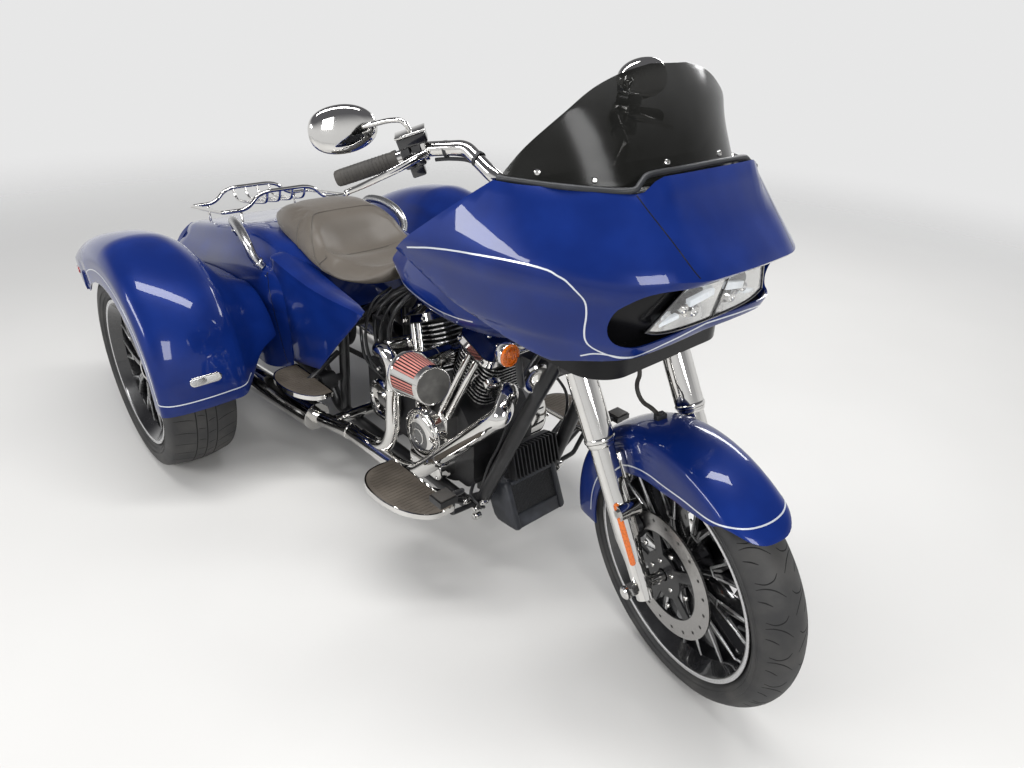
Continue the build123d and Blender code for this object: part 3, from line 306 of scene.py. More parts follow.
# %% [markdown]
# ## Brake discs
# A disc has two finishes on one casting: a swept steel ring with circular scratches, and a black
# carrier inside it. Distance from the axle line tells the two apart in the shader.

# %% Discs
FRONT_SPIN_POINT = HOME @ TURN @ FRONT_AXLE
FRONT_SPIN_AXIS = (TURN.to_3x3() @ Vector((0, 1, 0))).normalized()


def disc_finish(name, point, axis, edge):
    finish = Finish(name)
    radius = from_line(finish, point, axis)
    ring = radius.step(edge - 0.0006, edge + 0.0006)
    scratch = finish.noise(1.0, 2.0, finish.node("ShaderNodeCombineXYZ", None, {0: radius * 5200.0}))
    steel = finish.mix(scratch, (0.30, 0.29, 0.28), (0.58, 0.57, 0.56))
    return finish.done(Base_Color=finish.mix(ring, (0.010, 0.010, 0.011), steel), Metallic=ring,
                       Roughness=scratch * 0.15 + 0.2, Normal=finish.bump(scratch * ring, 0.00008, 0.4))


FRONT_DISC = disc_finish("front_disc_steel", FRONT_SPIN_POINT, FRONT_SPIN_AXIS, 0.106)
REAR_DISC = disc_finish("rear_disc_steel", (-MIDDLE_X, 0, REAR_AXLE_Z), (0, 1, 0), 0.095)
print("discs:", FRONT_DISC.name, REAR_DISC.name)

# %% [markdown]
# ## Rubber, leather, plastics and lenses
# Tyre rubber is dark and dusty, with a lighter bloom where it has picked up the floor. The saddle
# is a taupe leather with a pebble grain and broad soft changes of tone where people sit. Lenses
# are clear plastics that bend light, and the coloured ones have ribs moulded inside.

# %% Rubber, leather and lenses


def rubber(name, tone, bloom, grain):
    finish = Finish(name)
    pores = finish.noise(grain, 4.0)
    dust = finish.noise(11.0, 6.0)
    return finish.done(Base_Color=finish.mix(dust.step(0.35, 0.8), tone, bloom),
                       Roughness=pores * 0.2 + 0.52, Normal=finish.bump(pores, 0.00025, 0.5))


def leather():
    finish = Finish("taupe_leather", Sheen_Weight=0.12, Sheen_Roughness=0.4)
    pebble = finish.cells(520.0)
    fine = finish.noise(1500.0, 3.0)
    tone = finish.noise(7.0, 4.0)
    base = finish.mix(tone.step(0.3, 0.75), (0.108, 0.092, 0.074), (0.165, 0.143, 0.118))
    base = finish.mix(pebble.step(0.0, 0.35) * 0.35, (0.085, 0.072, 0.058), base)
    return finish.done(Base_Color=base, Roughness=pebble * 0.25 + 0.34,
                       Normal=finish.bump(pebble * 0.8 + fine * 0.35, 0.0007, 0.35))


def lens(name, tone, rib_scale, clear):
    finish = Finish(name, Transmission_Weight=clear, IOR=1.45, Coat_Weight=1.0, Coat_Roughness=0.02)
    ribs = finish.cells(rib_scale)
    shade = tuple(0.45 * part for part in tone)
    return finish.done(Base_Color=finish.mix(ribs.step(0.0, 0.6), shade, tone), Roughness=ribs * 0.1 + 0.05,
                       Normal=finish.bump(ribs, 0.0012, 0.6))


def clear_cover():
    finish = Finish("clear_lens", Transmission_Weight=1.0, IOR=1.40)
    haze = finish.noise(40.0, 3.0)
    return finish.done(Base_Color=finish.mix(haze, (0.95, 0.96, 0.97), (1.0, 1.0, 1.0)),
                       Roughness=haze.step(0.5, 0.9) * 0.04 + 0.01)


def smoked_screen():
    finish = Finish("smoked_screen", Specular_IOR_Level=0.16)
    height = finish.node("ShaderNodeSeparateXYZ", None, {0: finish.spot}, "Z")
    haze = finish.noise(20.0, 3.0)
    return finish.done(Base_Color=finish.mix(haze, (0.006, 0.006, 0.005), (0.013, 0.013, 0.012)),
                       Roughness=haze * 0.10 + 0.12, Alpha=0.93 - height.step(1.18, 1.34) * 0.15)


def lit_bar():
    finish = Finish("lamp_bar", Emission_Strength=0.35, Coat_Weight=1.0)
    ribs = finish.noise(1.0, 1.0, finish.stretched(20, 900, 20))
    return finish.done(Base_Color=finish.mix(ribs, (0.62, 0.66, 0.70), (0.9, 0.93, 0.95)),
                       Emission_Color=finish.mix(ribs, (0.7, 0.8, 0.9), (1.0, 1.0, 1.0)),
                       Roughness=ribs * 0.2 + 0.1)


def deep_black():
    finish = Finish("deep_black", Specular_IOR_Level=0.22)
    dust = finish.noise(18.0, 4.0)
    return finish.done(Base_Color=finish.mix(dust, (0.0035, 0.0035, 0.004), (0.007, 0.007, 0.008)),
                       Roughness=dust * 0.1 + 0.2)


def mirror_glass():
    finish = Finish("mirror_glass", Metallic=1.0)
    haze = finish.noise(30.0, 4.0)
    return finish.done(Base_Color=finish.mix(haze, (0.74, 0.77, 0.80), (0.82, 0.84, 0.86)),
                       Roughness=haze.step(0.5, 1.0) * 0.04 + 0.01)


SCOOP_BLACK = deep_black()
TYRE = rubber("tyre_rubber", (0.020, 0.020, 0.021), (0.050, 0.048, 0.045), 900.0)
RUBBER = rubber("moulded_rubber", (0.026, 0.024, 0.022), (0.058, 0.052, 0.045), 1400.0)
BOARD_RUBBER = rubber("board_rubber", (0.055, 0.044, 0.033), (0.110, 0.092, 0.072), 700.0)
LEATHER = leather()
CLEAR = clear_cover()
SCREEN = smoked_screen()
AMBER = lens("amber_lens", (0.95, 0.20, 0.008), 260.0, 0.35)
RED = lens("red_lens", (0.55, 0.006, 0.006), 320.0, 0.3)
PALE = lens("pale_lens", (0.85, 0.85, 0.82), 420.0, 0.4)
LAMP_BAR = lit_bar()
MIRROR = mirror_glass()
print("soft and clear finishes:", LEATHER.name, TYRE.name, SCREEN.name, AMBER.name)


def filter_media():
    finish = Finish("filter_media")
    weave = finish.noise(1600.0, 2.0)
    soot = finish.noise(40.0, 4.0)
    return finish.done(Base_Color=finish.mix(soot, (0.42, 0.13, 0.11), (0.62, 0.26, 0.22)),
                       Roughness=weave * 0.2 + 0.75, Normal=finish.bump(weave, 0.0004, 0.6))


def radiator_mesh_painted_shade():
    finish = Finish("radiator_mesh_painted_shade")
    weave = finish.cells(420.0, "DISTANCE_TO_EDGE")
    # The cell edges are grey wires; the near-black middles of the cells are painted shade in the openings
    # between them.
    return finish.done(Base_Color=finish.mix(weave.step(0.02, 0.12), (0.075, 0.078, 0.082),
                                             (0.006, 0.006, 0.007)),
                       Roughness=weave * 0.2 + 0.42, Normal=finish.bump(weave, 0.001, 0.8))


def dial_face():
    finish = Finish("dial_face")
    grain = finish.noise(600.0, 2.0)
    return finish.done(Base_Color=finish.mix(grain, (0.012, 0.012, 0.014), (0.022, 0.022, 0.025)),
                       Roughness=grain * 0.2 + 0.4)


FILTER = filter_media()
MESH_PAINTED_SHADE = radiator_mesh_painted_shade()
DIAL = dial_face()
print("extra finishes:", FILTER.name, MESH_PAINTED_SHADE.name, DIAL.name)

# %% [markdown]
# ## Mesh tools
# Most pieces are grids, turned profiles or thick plates. A small class gathers their points and
# faces, each face with the number of its finish, and makes one mesh. Bevel and subdivision
# modifiers then round it, and settle() turns the result into a plain mesh at its final place.

# %% Shape
HARD_EDGE = 32.0


class Shape:
    """Points and faces gathered for one mesh."""

    def __init__(self):
        self.points = []
        self.faces = []
        self.numbers = []

    def grid(self, rows, number=0, around=False, along=False):
        """Quads between rows; around joins each row's ends, along joins the last row to the first."""
        base = len(self.points)
        wide = len(rows[0])
        for row in rows:
            self.points.extend(Vector(point) for point in row)
        for i in range(len(rows) - (0 if along else 1)):
            for j in range(wide - (0 if around else 1)):
                k = (i + 1) % len(rows)
                m = (j + 1) % wide
                self.faces.append((base + i * wide + j, base + i * wide + m, base + k * wide + m,
                                   base + k * wide + j))
                self.numbers.append(number)

    def cap(self, ring):
        """A fan that closes a ring of points."""
        base = len(self.points)
        self.points.extend(Vector(point) for point in ring)
        middle = sum((Vector(point) for point in ring), Vector()) / len(ring)
        self.points.append(middle)
        for j in range(len(ring)):
            self.faces.append((base + j, base + (j + 1) % len(ring), base + len(ring)))
            self.numbers.append(0)

    def turned(self, profile, matrix, sides=48, closed=None):
        """Turns a profile of (radius, height) about local z. With both ends off the axis it is a ring."""
        profile = list(profile)
        if closed is None:
            first, last = profile[0], profile[-1]
            closed = first[0] > 0 and last[0] > 0
            if not closed and first[0] > 0:
                profile.insert(0, (0.0, first[1]))
            if not closed and last[0] > 0:
                profile.append((0.0, last[1]))
        rows = []
        for index in range(sides):
            angle = 2 * pi * index / sides
            rows.append([matrix @ Vector((r * cos(angle), r * sin(angle), h)) for r, h in profile])
        self.grid(rows, around=closed, along=True)

    def prism(self, outline, low, high, matrix=Matrix()):
        """Straight plate between two heights over an outline in local x and y."""
        bottom = [matrix @ Vector((x, y, low)) for x, y in outline]
        top = [matrix @ Vector((x, y, high)) for x, y in outline]
        self.grid([bottom, top], around=True)
        base = len(self.points)
        self.points.extend(bottom + top)
        count = len(outline)
        self.faces.append(tuple(reversed(range(base, base + count))))
        self.faces.append(tuple(range(base + count, base + 2 * count)))
        self.numbers.extend((0, 0))

    def box(self, low, high, matrix=Matrix()):
        (x0, y0, z0), (x1, y1, z1) = low, high
        self.prism(((x0, y0), (x1, y0), (x1, y1), (x0, y1)), z0, z1, matrix)

    def rod(self, start, end, radius, sides=20, end_radius=None):
        start, end = Vector(start), Vector(end)
        length = (end - start).length
        last = radius if end_radius is None else end_radius
        self.turned(((0.0, 0.0), (radius, 0.0), (last, length), (0.0, length)), facing(start, end - start),
                    sides)

    def build(self, name, finishes, bevel=0.0, segments=2, levels=0, limit=HARD_EDGE):
        """Makes the object, with its doubles merged and its faces pointing outwards."""
        mesh = bpy.data.meshes.new(name)
        mesh.from_pydata([tuple(point) for point in self.points], [], self.faces)
        for face, number in zip(mesh.polygons, self.numbers):
            face.material_index = number
        tidy(mesh)
        obj = bpy.data.objects.new(name, mesh)
        scene.collection.objects.link(obj)
        for finish in finishes:
            mesh.materials.append(finish)
        if bevel > 0:
            round_edges(obj, bevel, 30, segments)
        if levels > 0:
            add_subdivision(obj, levels)
        obj["smooth_limit"] = limit
        return obj


print("shapes: grids, caps, turned profiles, plates and rods")

# %% [markdown]
# ## Finishing a mesh
# A raw grid has doubled points where its ends meet, and no soft edges. Merging, bevels and smooth
# shading below an angle mend that. settle() bakes the modifiers, because a finished piece sits at
# the origin with its place in its mesh, and gives the piece to its body.

# %% Finishing a mesh


def tidy(mesh):
    """Merges doubled points, drops empty faces and turns the faces outwards."""
    work = bmesh.new()
    work.from_mesh(mesh)
    bmesh.ops.remove_doubles(work, verts=work.verts, dist=1e-6)
    bmesh.ops.dissolve_degenerate(work, dist=1e-7, edges=work.edges)
    bmesh.ops.recalc_face_normals(work, faces=work.faces)
    work.to_mesh(mesh)
    work.free()


def round_edges(obj, width, angle, segments=2):
    """Bevels the edges where faces meet at more than an angle, in degrees."""
    rounding = obj.modifiers.new("rounding", "BEVEL")
    rounding.width = width
    rounding.segments = segments
    rounding.limit_method = "ANGLE"
    rounding.angle_limit = radians(angle)


def add_subdivision(obj, levels):
    smoothing = obj.modifiers.new("smoothing", "SUBSURF")
    smoothing.levels = levels
    smoothing.render_levels = levels


def soften(mesh, limit):
    """Shades a mesh smooth, with hard edges where faces meet at more than the limit, in degrees."""
    work = bmesh.new()
    work.from_mesh(mesh)
    for face in work.faces:
        face.smooth = True
    for edge in work.edges:
        edge.smooth = len(edge.link_faces) == 2 and edge.calc_face_angle(0.0) < radians(limit)
    work.to_mesh(mesh)
    work.free()


def baked(obj):
    """The object's mesh with its modifiers applied."""
    bpy.context.view_layer.update()
    evaluated = obj.evaluated_get(bpy.context.evaluated_depsgraph_get())
    return bpy.data.meshes.new_from_object(evaluated)


def applied(obj):
    """The object, with its modifiers made part of its mesh."""
    mesh = baked(obj)
    obj.modifiers.clear()
    obj.data = mesh
    return obj


def settle(obj, body, steered=False, stands_for=()):
    """Applies the modifiers, moves the mesh to its place and hands the piece to its body."""
    mesh = applied(obj).data
    mesh.transform(HOME @ (TURN if steered else Matrix()))
    soften(mesh, obj["smooth_limit"])
    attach(obj, body)
    if stands_for:
        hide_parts(*stands_for)
    return obj


print("a mesh can be tidied, rounded, shaded, baked and settled")

# %% [markdown]
# ## Lines
# Sections and paths are given by a few measured points. One kind of line passes through every
# point, which suits measured spots. The other cuts its corners, which suits bent tubes.

# %% Lines


def curve_through(points, steps, closed=False):
    """Smooth line through the points, with a number of steps between each two."""
    line = [Vector(point) for point in points]
    if closed:
        ends = [line[-1], *line, line[0], line[1]]
    else:
        ends = [2 * line[0] - line[1], *line, 2 * line[-1] - line[-2]]
    smooth = []
    for i in range(1, len(ends) - 2):
        a, b, c, d = ends[i - 1:i + 3]
        for step in range(steps):
            t = step / steps
            smooth.append(0.5 * (2 * b + (c - a) * t + (2 * a - 5 * b + 4 * c - d) * t * t
                                 + (3 * b - a - 3 * c + d) * t ** 3))
    if not closed:
        smooth.append(line[-1])
    return smooth


def softened(points, times=4, closed=False):
    """Line whose corners are cut again and again until they are round."""
    line = [Vector(point) for point in points]
    for _ in range(times):
        pairs = list(zip(line, line[1:] + line[:1])) if closed else list(zip(line, line[1:]))
        cut_line = [a.lerp(b, share) for a, b in pairs for share in (0.25, 0.75)]
        line = cut_line if closed else [line[0], *cut_line, line[-1]]
    return line


def mirrored(points):
    """The same points on the other side of the trike."""
    return [Vector((x, -y, z)) for x, y, z in points]


def on_side(points, side):
    """Points given for the left, side 1, or their mirror image for the right, side -1."""
    return points if side > 0 else mirrored(points)


def both_ways(points):
    """A line from the right-hand end to the left-hand end, given from the middle outwards."""
    return mirrored(reversed(points[1:])) + list(points)


print("lines can be smoothed, softened and mirrored")

# %% [markdown]
# ## Repeats with Geometry Nodes
# Tread blocks, spokes, fins, bolts and stitches are one small mesh repeated by a rule. A geometry
# node tree instances the unit on points: round an axle, along a line, or at marked spots with a
# facing direction. It ends by making the instances real and giving them their finish, because
# instances don't survive the export. The result is then stored as a plain mesh.

# %% Repeating trees


def repeat_tree(name, kind):
    """A tree that repeats the object in its Unit input; kind is ring, row or spots."""
    tree = bpy.data.node_groups.new(name, "GeometryNodeTree")
    face = tree.interface
    face.new_socket("Geometry", in_out="INPUT", socket_type="NodeSocketGeometry")
    face.new_socket("Unit", in_out="INPUT", socket_type="NodeSocketObject")
    face.new_socket("Finish", in_out="INPUT", socket_type="NodeSocketMaterial")
    face.new_socket("Count", in_out="INPUT", socket_type="NodeSocketInt")
    face.new_socket("Step", in_out="INPUT", socket_type="NodeSocketVector")
    face.new_socket("Geometry", in_out="OUTPUT", socket_type="NodeSocketGeometry")
    graph = Graph(tree)
    given = tree.nodes.new("NodeGroupInput")
    geometry, unit, finish, count, step = (Value(graph, given.outputs[i]) for i in range(5))
    source = graph.node("GeometryNodeObjectInfo", None, {"Object": unit}, "Geometry")
    spots = geometry
    values = {}
    if kind == "ring":
        spots = graph.node("GeometryNodeMeshLine", {"mode": "OFFSET"},
                           {"Count": count, "Offset": (0, 0, 0)}, "Mesh")
        angle = graph.node("GeometryNodeInputIndex") * (2 * pi) / count
        euler = graph.node("ShaderNodeCombineXYZ", None, {"Y": angle})
        values["Rotation"] = graph.node("FunctionNodeEulerToRotation", None, {0: euler})
    elif kind == "row":
        spots = graph.node("GeometryNodeMeshLine", {"mode": "OFFSET"}, {"Count": count, "Offset": step},
                           "Mesh")
    else:
        facing = graph.node("GeometryNodeInputNamedAttribute", {"data_type": "FLOAT_VECTOR"},
                            {"Name": "facing"},
                            "Attribute")
        values["Rotation"] = graph.node("FunctionNodeAlignRotationToVector", {"axis": "Z"},
                                        {"Vector": facing})
        size = graph.node("GeometryNodeInputNamedAttribute", {"data_type": "FLOAT"}, {"Name": "size"},
                          "Attribute")
        values["Scale"] = size
    made = graph.node("GeometryNodeInstanceOnPoints", None, {"Points": spots, "Instance": source, **values})
    real = graph.node("GeometryNodeRealizeInstances", None, {"Geometry": made})
    done = graph.node("GeometryNodeSetMaterial", None, {"Geometry": real, "Material": finish})
    result = tree.nodes.new("NodeGroupOutput")
    tree.links.new(done.socket, result.inputs[0])
    return tree


TREES = {kind: repeat_tree("repeat_" + kind, kind) for kind in ("ring", "row", "spots")}


def repeat(name, unit, finish, kind, count=1, step=(0, 0, 0), spots=()):
    """An object whose mesh is the unit repeated. Spots have columns: place, facing, size."""
    mesh = bpy.data.meshes.new(name)
    mesh.from_pydata([tuple(spot[0]) for spot in spots] or [(0, 0, 0)], [], [])
    if spots:
        facing = mesh.attributes.new("facing", "FLOAT_VECTOR", "POINT")
        facing.data.foreach_set("vector", [part for spot in spots for part in Vector(spot[1]).normalized()])
        size = mesh.attributes.new("size", "FLOAT", "POINT")
        size.data.foreach_set("value", [spot[2] for spot in spots])
    obj = bpy.data.objects.new(name, mesh)
    scene.collection.objects.link(obj)
    repeating = obj.modifiers.new("repeating", "NODES")
    repeating.node_group = TREES[kind]
    given = {"Unit": unit, "Finish": finish, "Count": count, "Step": Vector(step)}
    for item in TREES[kind].interface.items_tree:
        if item.in_out == "INPUT" and item.name in given:
            repeating[item.identifier] = given[item.name]
    obj["smooth_limit"] = HARD_EDGE
    return applied(obj)


def unit_gone(unit):
    """Removes a unit once it has been repeated."""
    bpy.data.objects.remove(unit)


def bolt_unit():
    """Button-head screw of unit radius with a hexagon socket, standing on z = 0."""
    shape = Shape()
    profile = ((1.0, -0.3), (1.0, 0.25), (0.86, 0.55), (0.55, 0.72), (0.46, 0.72), (0.44, 0.35),
               (0.0, 0.35))
    shape.turned(profile, Matrix(), 12)
    return shape.build("bolt_unit", [CHROME])


def bolts(name, rows, body, steered=False):
    """Chromed screws at spots. Rows have columns: place, facing, radius."""
    unit = bolt_unit()
    obj = repeat(name, unit, CHROME, "spots", spots=rows)
    unit_gone(unit)
    return settle(obj, body, steered)


print("repeating trees:", sorted(TREES))

# %% [markdown]
# ## Studio
# A plain pale floor and a soft studio: one wide lamp overhead and one each side. The room that
# the camera and the mirrors see is pale round the horizon and dark above, which gives the chrome
# something to show, and far out the floor fades into it. As a light the room is plain and dimmer,
# so that white comes from the backdrop's colour and not from more light on the trike.

# %% Floor, lamps and world


def studio_floor():
    half = 9.0
    mesh = bpy.data.meshes.new("floor")
    mesh.from_pydata([(-half, -half, 0), (half, -half, 0), (half, half, 0), (-half, half, 0)], [],
                     [(0, 1, 2, 3)])
    floor = bpy.data.objects.new("floor", mesh)
    scene.collection.objects.link(floor)
    finish = Finish("floor_finish", Specular_IOR_Level=0.3)
    cloud = finish.noise(1.5, 3.0)
    reach = from_line(finish, (0, 0, 0), (0, 0, 1))
    mesh.materials.append(finish.done(Base_Color=finish.mix(cloud, (0.62, 0.61, 0.59), (0.66, 0.65, 0.63)),
                                      Roughness=cloud * 0.1 + 0.42, Alpha=1.0 - reach.step(2.2, 6.5)))
    return floor


def studio_lamp(name, spot, target, size, power):
    data = bpy.data.lights.new(name, "AREA")
    data.shape = "RECTANGLE"
    data.size, data.size_y = size
    data.energy = power
    lamp = bpy.data.objects.new(name, data)
    scene.collection.objects.link(lamp)
    aim = Vector(target) - Vector(spot)
    lamp.matrix_world = Matrix.Translation(spot) @ aim.to_track_quat("-Z", "Y").to_matrix().to_4x4()
    return lamp


LAMPS = (
    ("lamp_top", (0.4, -0.3, 3.6), (0.0, 0.0, 0.4), (3.4, 0.45), 95.0),
    ("lamp_front", (3.6, -1.4, 2.4), (0.6, 0.0, 0.6), (1.0, 1.3), 58.0),
    ("lamp_right", (-0.6, -3.9, 2.3), (0.0, 0.0, 0.5), (2.4, 0.50), 68.0),
    ("lamp_left", (-0.4, 3.8, 2.6), (0.0, 0.0, 0.5), (2.4, 0.50), 55.0),
)
floor = studio_floor()
lamps = [studio_lamp(*row) for row in LAMPS]
world = bpy.data.worlds.new("studio")
scene.world = world
world.use_nodes = True
sky = Graph(world.node_tree)
seen = sky.node("ShaderNodeLightPath", out="Is Camera Ray")
for ray in ("Is Glossy Ray", "Is Transmission Ray"):
    seen = seen.math("MAXIMUM", seen, sky.node("ShaderNodeLightPath", out=ray))
direction = sky.node("ShaderNodeTexCoord", out="Generated")
rise = sky.node("ShaderNodeSeparateXYZ", None, {0: direction}, "Z").step(0.10, 0.55)
room = sky.node("ShaderNodeMix", {"data_type": "RGBA"}, {0: rise, 6: (0.80, 0.80, 0.80),
                                                         7: (0.13, 0.13, 0.14)}, 2)
shown = sky.node("ShaderNodeMix", {"data_type": "RGBA"}, {0: seen, 6: (0.52, 0.53, 0.55), 7: room}, 2)
sky.put(world.node_tree.nodes["Background"].inputs["Color"], shown)
scene.view_settings.view_transform = "Standard"
print("studio:", len(lamps), "lamps")

# %% [markdown]
# ## Fairing
# The nose is one smooth shell with a crisp brow over the lamps. Its shape comes from six level
# sections. A smooth line through the sections gives the soft sides, and a line that breaks at
# the brow gives the sharp edge in front; each column blends the two. Planes then trim the side
# view, the shell gets a wall, and a block with the mouth's outline cuts the lamp opening.

# %% Fairing sections
FAIRING_TAIL = 1.118
FAIRING_WALL = 0.005
DECK_Z = 1.140
BROW_ROW = 4
# Columns: z, front x, ridge x, ridge y, knee x, knee y, side x, side y, rear y
FAIRING_ROWS = (
    (0.796, 1.580, 1.574, 0.180, 1.500, 0.240, 1.360, 0.300, 0.330),
    (0.866, 1.604, 1.606, 0.190, 1.556, 0.248, 1.370, 0.322, 0.352),
    (0.896, 1.606, 1.612, 0.200, 1.568, 0.255, 1.376, 0.336, 0.367),
    (0.962, 1.626, 1.628, 0.200, 1.580, 0.262, 1.384, 0.351, 0.385),
    (1.016, 1.690, 1.678, 0.150, 1.560, 0.288, 1.390, 0.361, 0.395),
    (1.140, 1.556, 1.546, 0.184, 1.440, 0.262, 1.335, 0.318, 0.352),
)
HUMP = 0.027
HUMP_HALF = 0.160
TRIM_PLANES = (
    ((1.132, 0.966), (1.250, 0.901)), ((1.250, 0.901), (1.370, 0.853)), ((1.370, 0.853), (1.462, 0.824)),
    ((1.462, 0.824), (1.552, 0.846)), ((1.552, 0.846), (1.615, 0.866)), ((1.336, 1.144), (1.132, 0.985)),
)


def plan_line(row):
    """Half of a level section, from the middle of the nose to the tail."""
    z, front, ridge_x, ridge_y, knee_x, knee_y, side_x, side_y, rear_y = row
    shoulder = ((ridge_x + knee_x) / 2 + 0.010, (ridge_y + knee_y) / 2 + 0.006, z)
    flank = ((knee_x + side_x) / 2, (knee_y + side_y) / 2 + 0.010, z)
    points = [(front, 0.0, z), (front * 0.45 + ridge_x * 0.55 + 0.004, ridge_y * 0.55, z),
              (ridge_x, ridge_y, z),
              shoulder, (knee_x, knee_y, z), flank, (side_x, side_y, z),
              ((side_x + FAIRING_TAIL) / 2, (side_y + rear_y) / 2 + 0.004, z), (FAIRING_TAIL, rear_y, z)]
    return curve_through(points, 5)


def fairing_grid():
    lines = [plan_line(row) for row in FAIRING_ROWS]
    columns = []
    for index, column in enumerate(zip(*lines)):
        share = min(max((index - 8) / 14, 0), 1)
        crisp = 1 - 0.75 * share * share * (3 - 2 * share)
        soft = curve_through(column, 6)
        sharp = curve_through(column[:BROW_ROW + 1], 6)[:-1] + curve_through(column[BROW_ROW:], 6)
        line = [a.lerp(b, crisp) for a, b in zip(soft, sharp)]
        lift = min(max((HUMP_HALF + 0.016 - line[-1].y) / 0.032, 0), 1)
        lift = HUMP * lift * lift * (3 - 2 * lift)
        for point in line:
            rise = max(point.z - 1.090, 0) / (DECK_Z - 1.090)
            point.z += lift * rise
            point.x += 0.35 * lift * rise
        columns.append(line)
    return columns


print("fairing:", len(FAIRING_ROWS), "level sections")

# %% Fairing shell


def trim_side(mesh, planes):
    """Cuts a mesh off below each line of the side view, given from (x, z) to (x, z)."""
    work = bmesh.new()
    work.from_mesh(mesh)
    for (x0, z0), (x1, z1) in planes:
        normal = Vector((z1 - z0, 0, x0 - x1)).normalized()
        bmesh.ops.bisect_plane(work, geom=work.verts[:] + work.edges[:] + work.faces[:],
                               plane_co=(x0, 0, z0),
                               plane_no=normal, clear_outer=True)
    work.to_mesh(mesh)
    work.free()


def add_wall(obj, thickness, offset=-1.0, even=True):
    """Gives a sheet a thickness: all inwards at offset -1, half to each side at 0."""
    wall = obj.modifiers.new("wall", "SOLIDIFY")
    wall.thickness = thickness
    wall.offset = offset
    wall.use_even_offset = even


def cut(obj, cutter):
    """Subtracts the cutter from the object, with its modifiers applied, and drops the cutter."""
    hollow = obj.modifiers.new("cut", "BOOLEAN")
    hollow.operation = "DIFFERENCE"
    hollow.object = cutter
    hollow.solver = "EXACT"
    applied(obj)
    bpy.data.objects.remove(cutter)
    return obj


# Columns: y, z of the right half, from the top
MOUTH = ((0.0, 1.004), (-0.160, 1.003), (-0.222, 0.995), (-0.252, 0.972), (-0.259, 0.935), (-0.252, 0.902),
         (-0.232, 0.888), (-0.170, 0.885), (0.0, 0.885))


def mouth_block(back, front):
    """Block with the outline of the lamp mouth, seen from the front, between two places along x."""
    half = curve_through([(y, z, 0) for y, z in MOUTH], 4)
    outline = [(p.x, p.y) for p in half] + [(-p.x, p.y) for p in reversed(half[1:-1])]
    shape = Shape()
    shape.prism(outline, back, front, Matrix(((0, 0, 1, 0), (1, 0, 0, 0), (0, 1, 0, 0), (0, 0, 0, 1))))
    return shape.build("mouth_cutter", [])


def fairing_shell():
    columns = fairing_grid()
    shape = Shape()
    shape.grid([mirrored(line) for line in reversed(columns[1:])] + columns)
    shell = shape.build("fairing_shell", [BLUE], limit=38.0)
    trim_side(shell.data, TRIM_PLANES)
    tidy(shell.data)
    add_wall(shell, FAIRING_WALL)
    cut(shell, mouth_block(1.50, 1.80))
    round_edges(shell, 0.0012, 60)
    return shell


FAIRING = settle(fairing_shell(), "chassis", stands_for=["fairing"])
print("fairing:", len(FAIRING.data.polygons), "faces")

# %% [markdown]
# ## Stripes on a surface
# A pinstripe is a thin film of paint that follows the panel. It is made as a ribbon: a smooth
# line through a few points is laid on the panel's nearest spots, and its two edges stand a hair
# above the paint.

# %% Pinstripes


def surface_of(*objects, steered=False):
    """A search tree over the finished meshes of some objects, in the frame in which they were made."""
    points, faces = [], []
    back = (HOME @ (TURN if steered else Matrix())).inverted()
    for obj in objects:
        base = len(points)
        points.extend(back @ v.co for v in obj.data.vertices)
        faces.extend([base + i for i in face.vertices] for face in obj.data.polygons)
    return BVHTree.FromPolygons(points, faces)


def laid_line(surface, points, steps, inside, lift=0.0004):
    """Smooth line pressed onto the outer side of a surface: pairs of place and normal."""
    line = curve_through(points, steps)
    ways = []
    for point in line:
        _, normal, _, _ = surface.find_nearest(point)
        ways.append(-normal if (point - Vector(inside)).dot(normal) < 0 else normal)
    last = len(ways) - 1
    for _ in range(3):
        ways = [(ways[max(i - 1, 0)] + ways[i] * 2 + ways[min(i + 1, last)]).normalized()
                for i in range(len(ways))]
    spots = []
    for point, way in zip(line, ways):
        spot, _, _, _ = surface.ray_cast(point + way * 0.03, -way)
        if spot is not None:
            spots.append((spot + way * lift, way))
    return spots


def ribbon(name, lines, width, finish, body="chassis", steered=False):
    """Flat ribbon along lines of (place, normal), with its two edges turned down into the surface."""
    shape = Shape()
    for spots in lines:
        rows = []
        for i, (spot, normal) in enumerate(spots):
            before = spots[max(i - 1, 0)][0]
            after = spots[min(i + 1, len(spots) - 1)][0]
            across = (after - before).cross(normal).normalized() * width / 2
            sunk = normal * 0.001
            rows.append([spot - across - sunk, spot - across, spot + across, spot + across - sunk])
        shape.grid(rows)
    return settle(shape.build(name, [finish], limit=50.0), body, steered)


STRIPE_WIDTH = 0.0032
FLANK_STRIPE = ((1.160, -0.396, 0.985), (1.235, -0.389, 1.005), (1.337, -0.374, 1.018),
                (1.435, -0.342, 1.022),
                (1.495, -0.317, 1.016), (1.528, -0.300, 1.000), (1.543, -0.288, 0.975),
                (1.543, -0.280, 0.945),
                (1.536, -0.276, 0.912), (1.536, -0.270, 0.888), (1.548, -0.258, 0.872),
                (1.570, -0.232, 0.866), (1.592, -0.205, 0.869))
LIP_STRIPE = ((1.520, -0.262, 0.850), (1.545, -0.250, 0.866), (1.580, -0.222, 0.871),
              (1.604, -0.170, 0.874), (1.609, -0.090, 0.876), (1.609, 0.0, 0.877))
nose = surface_of(FAIRING)
NOSE_INSIDE = (1.25, 0.0, 0.95)
stripe_lines = [laid_line(nose, softened(on_side(points, -side), 2), 3, NOSE_INSIDE)
                for points in (FLANK_STRIPE, LIP_STRIPE) for side in SIDES]
ribbon("fairing_stripes", stripe_lines, STRIPE_WIDTH, STRIPE)
HOOD_SEAM = ((1.548, -0.186, 1.140), (1.575, -0.178, 1.112), (1.615, -0.166, 1.074), (1.655, -0.156, 1.036),
             (1.672, -0.150, 1.019))
seams = [laid_line(nose, on_side(HOOD_SEAM, -side), 8, NOSE_INSIDE, lift=0.0002) for side in SIDES]
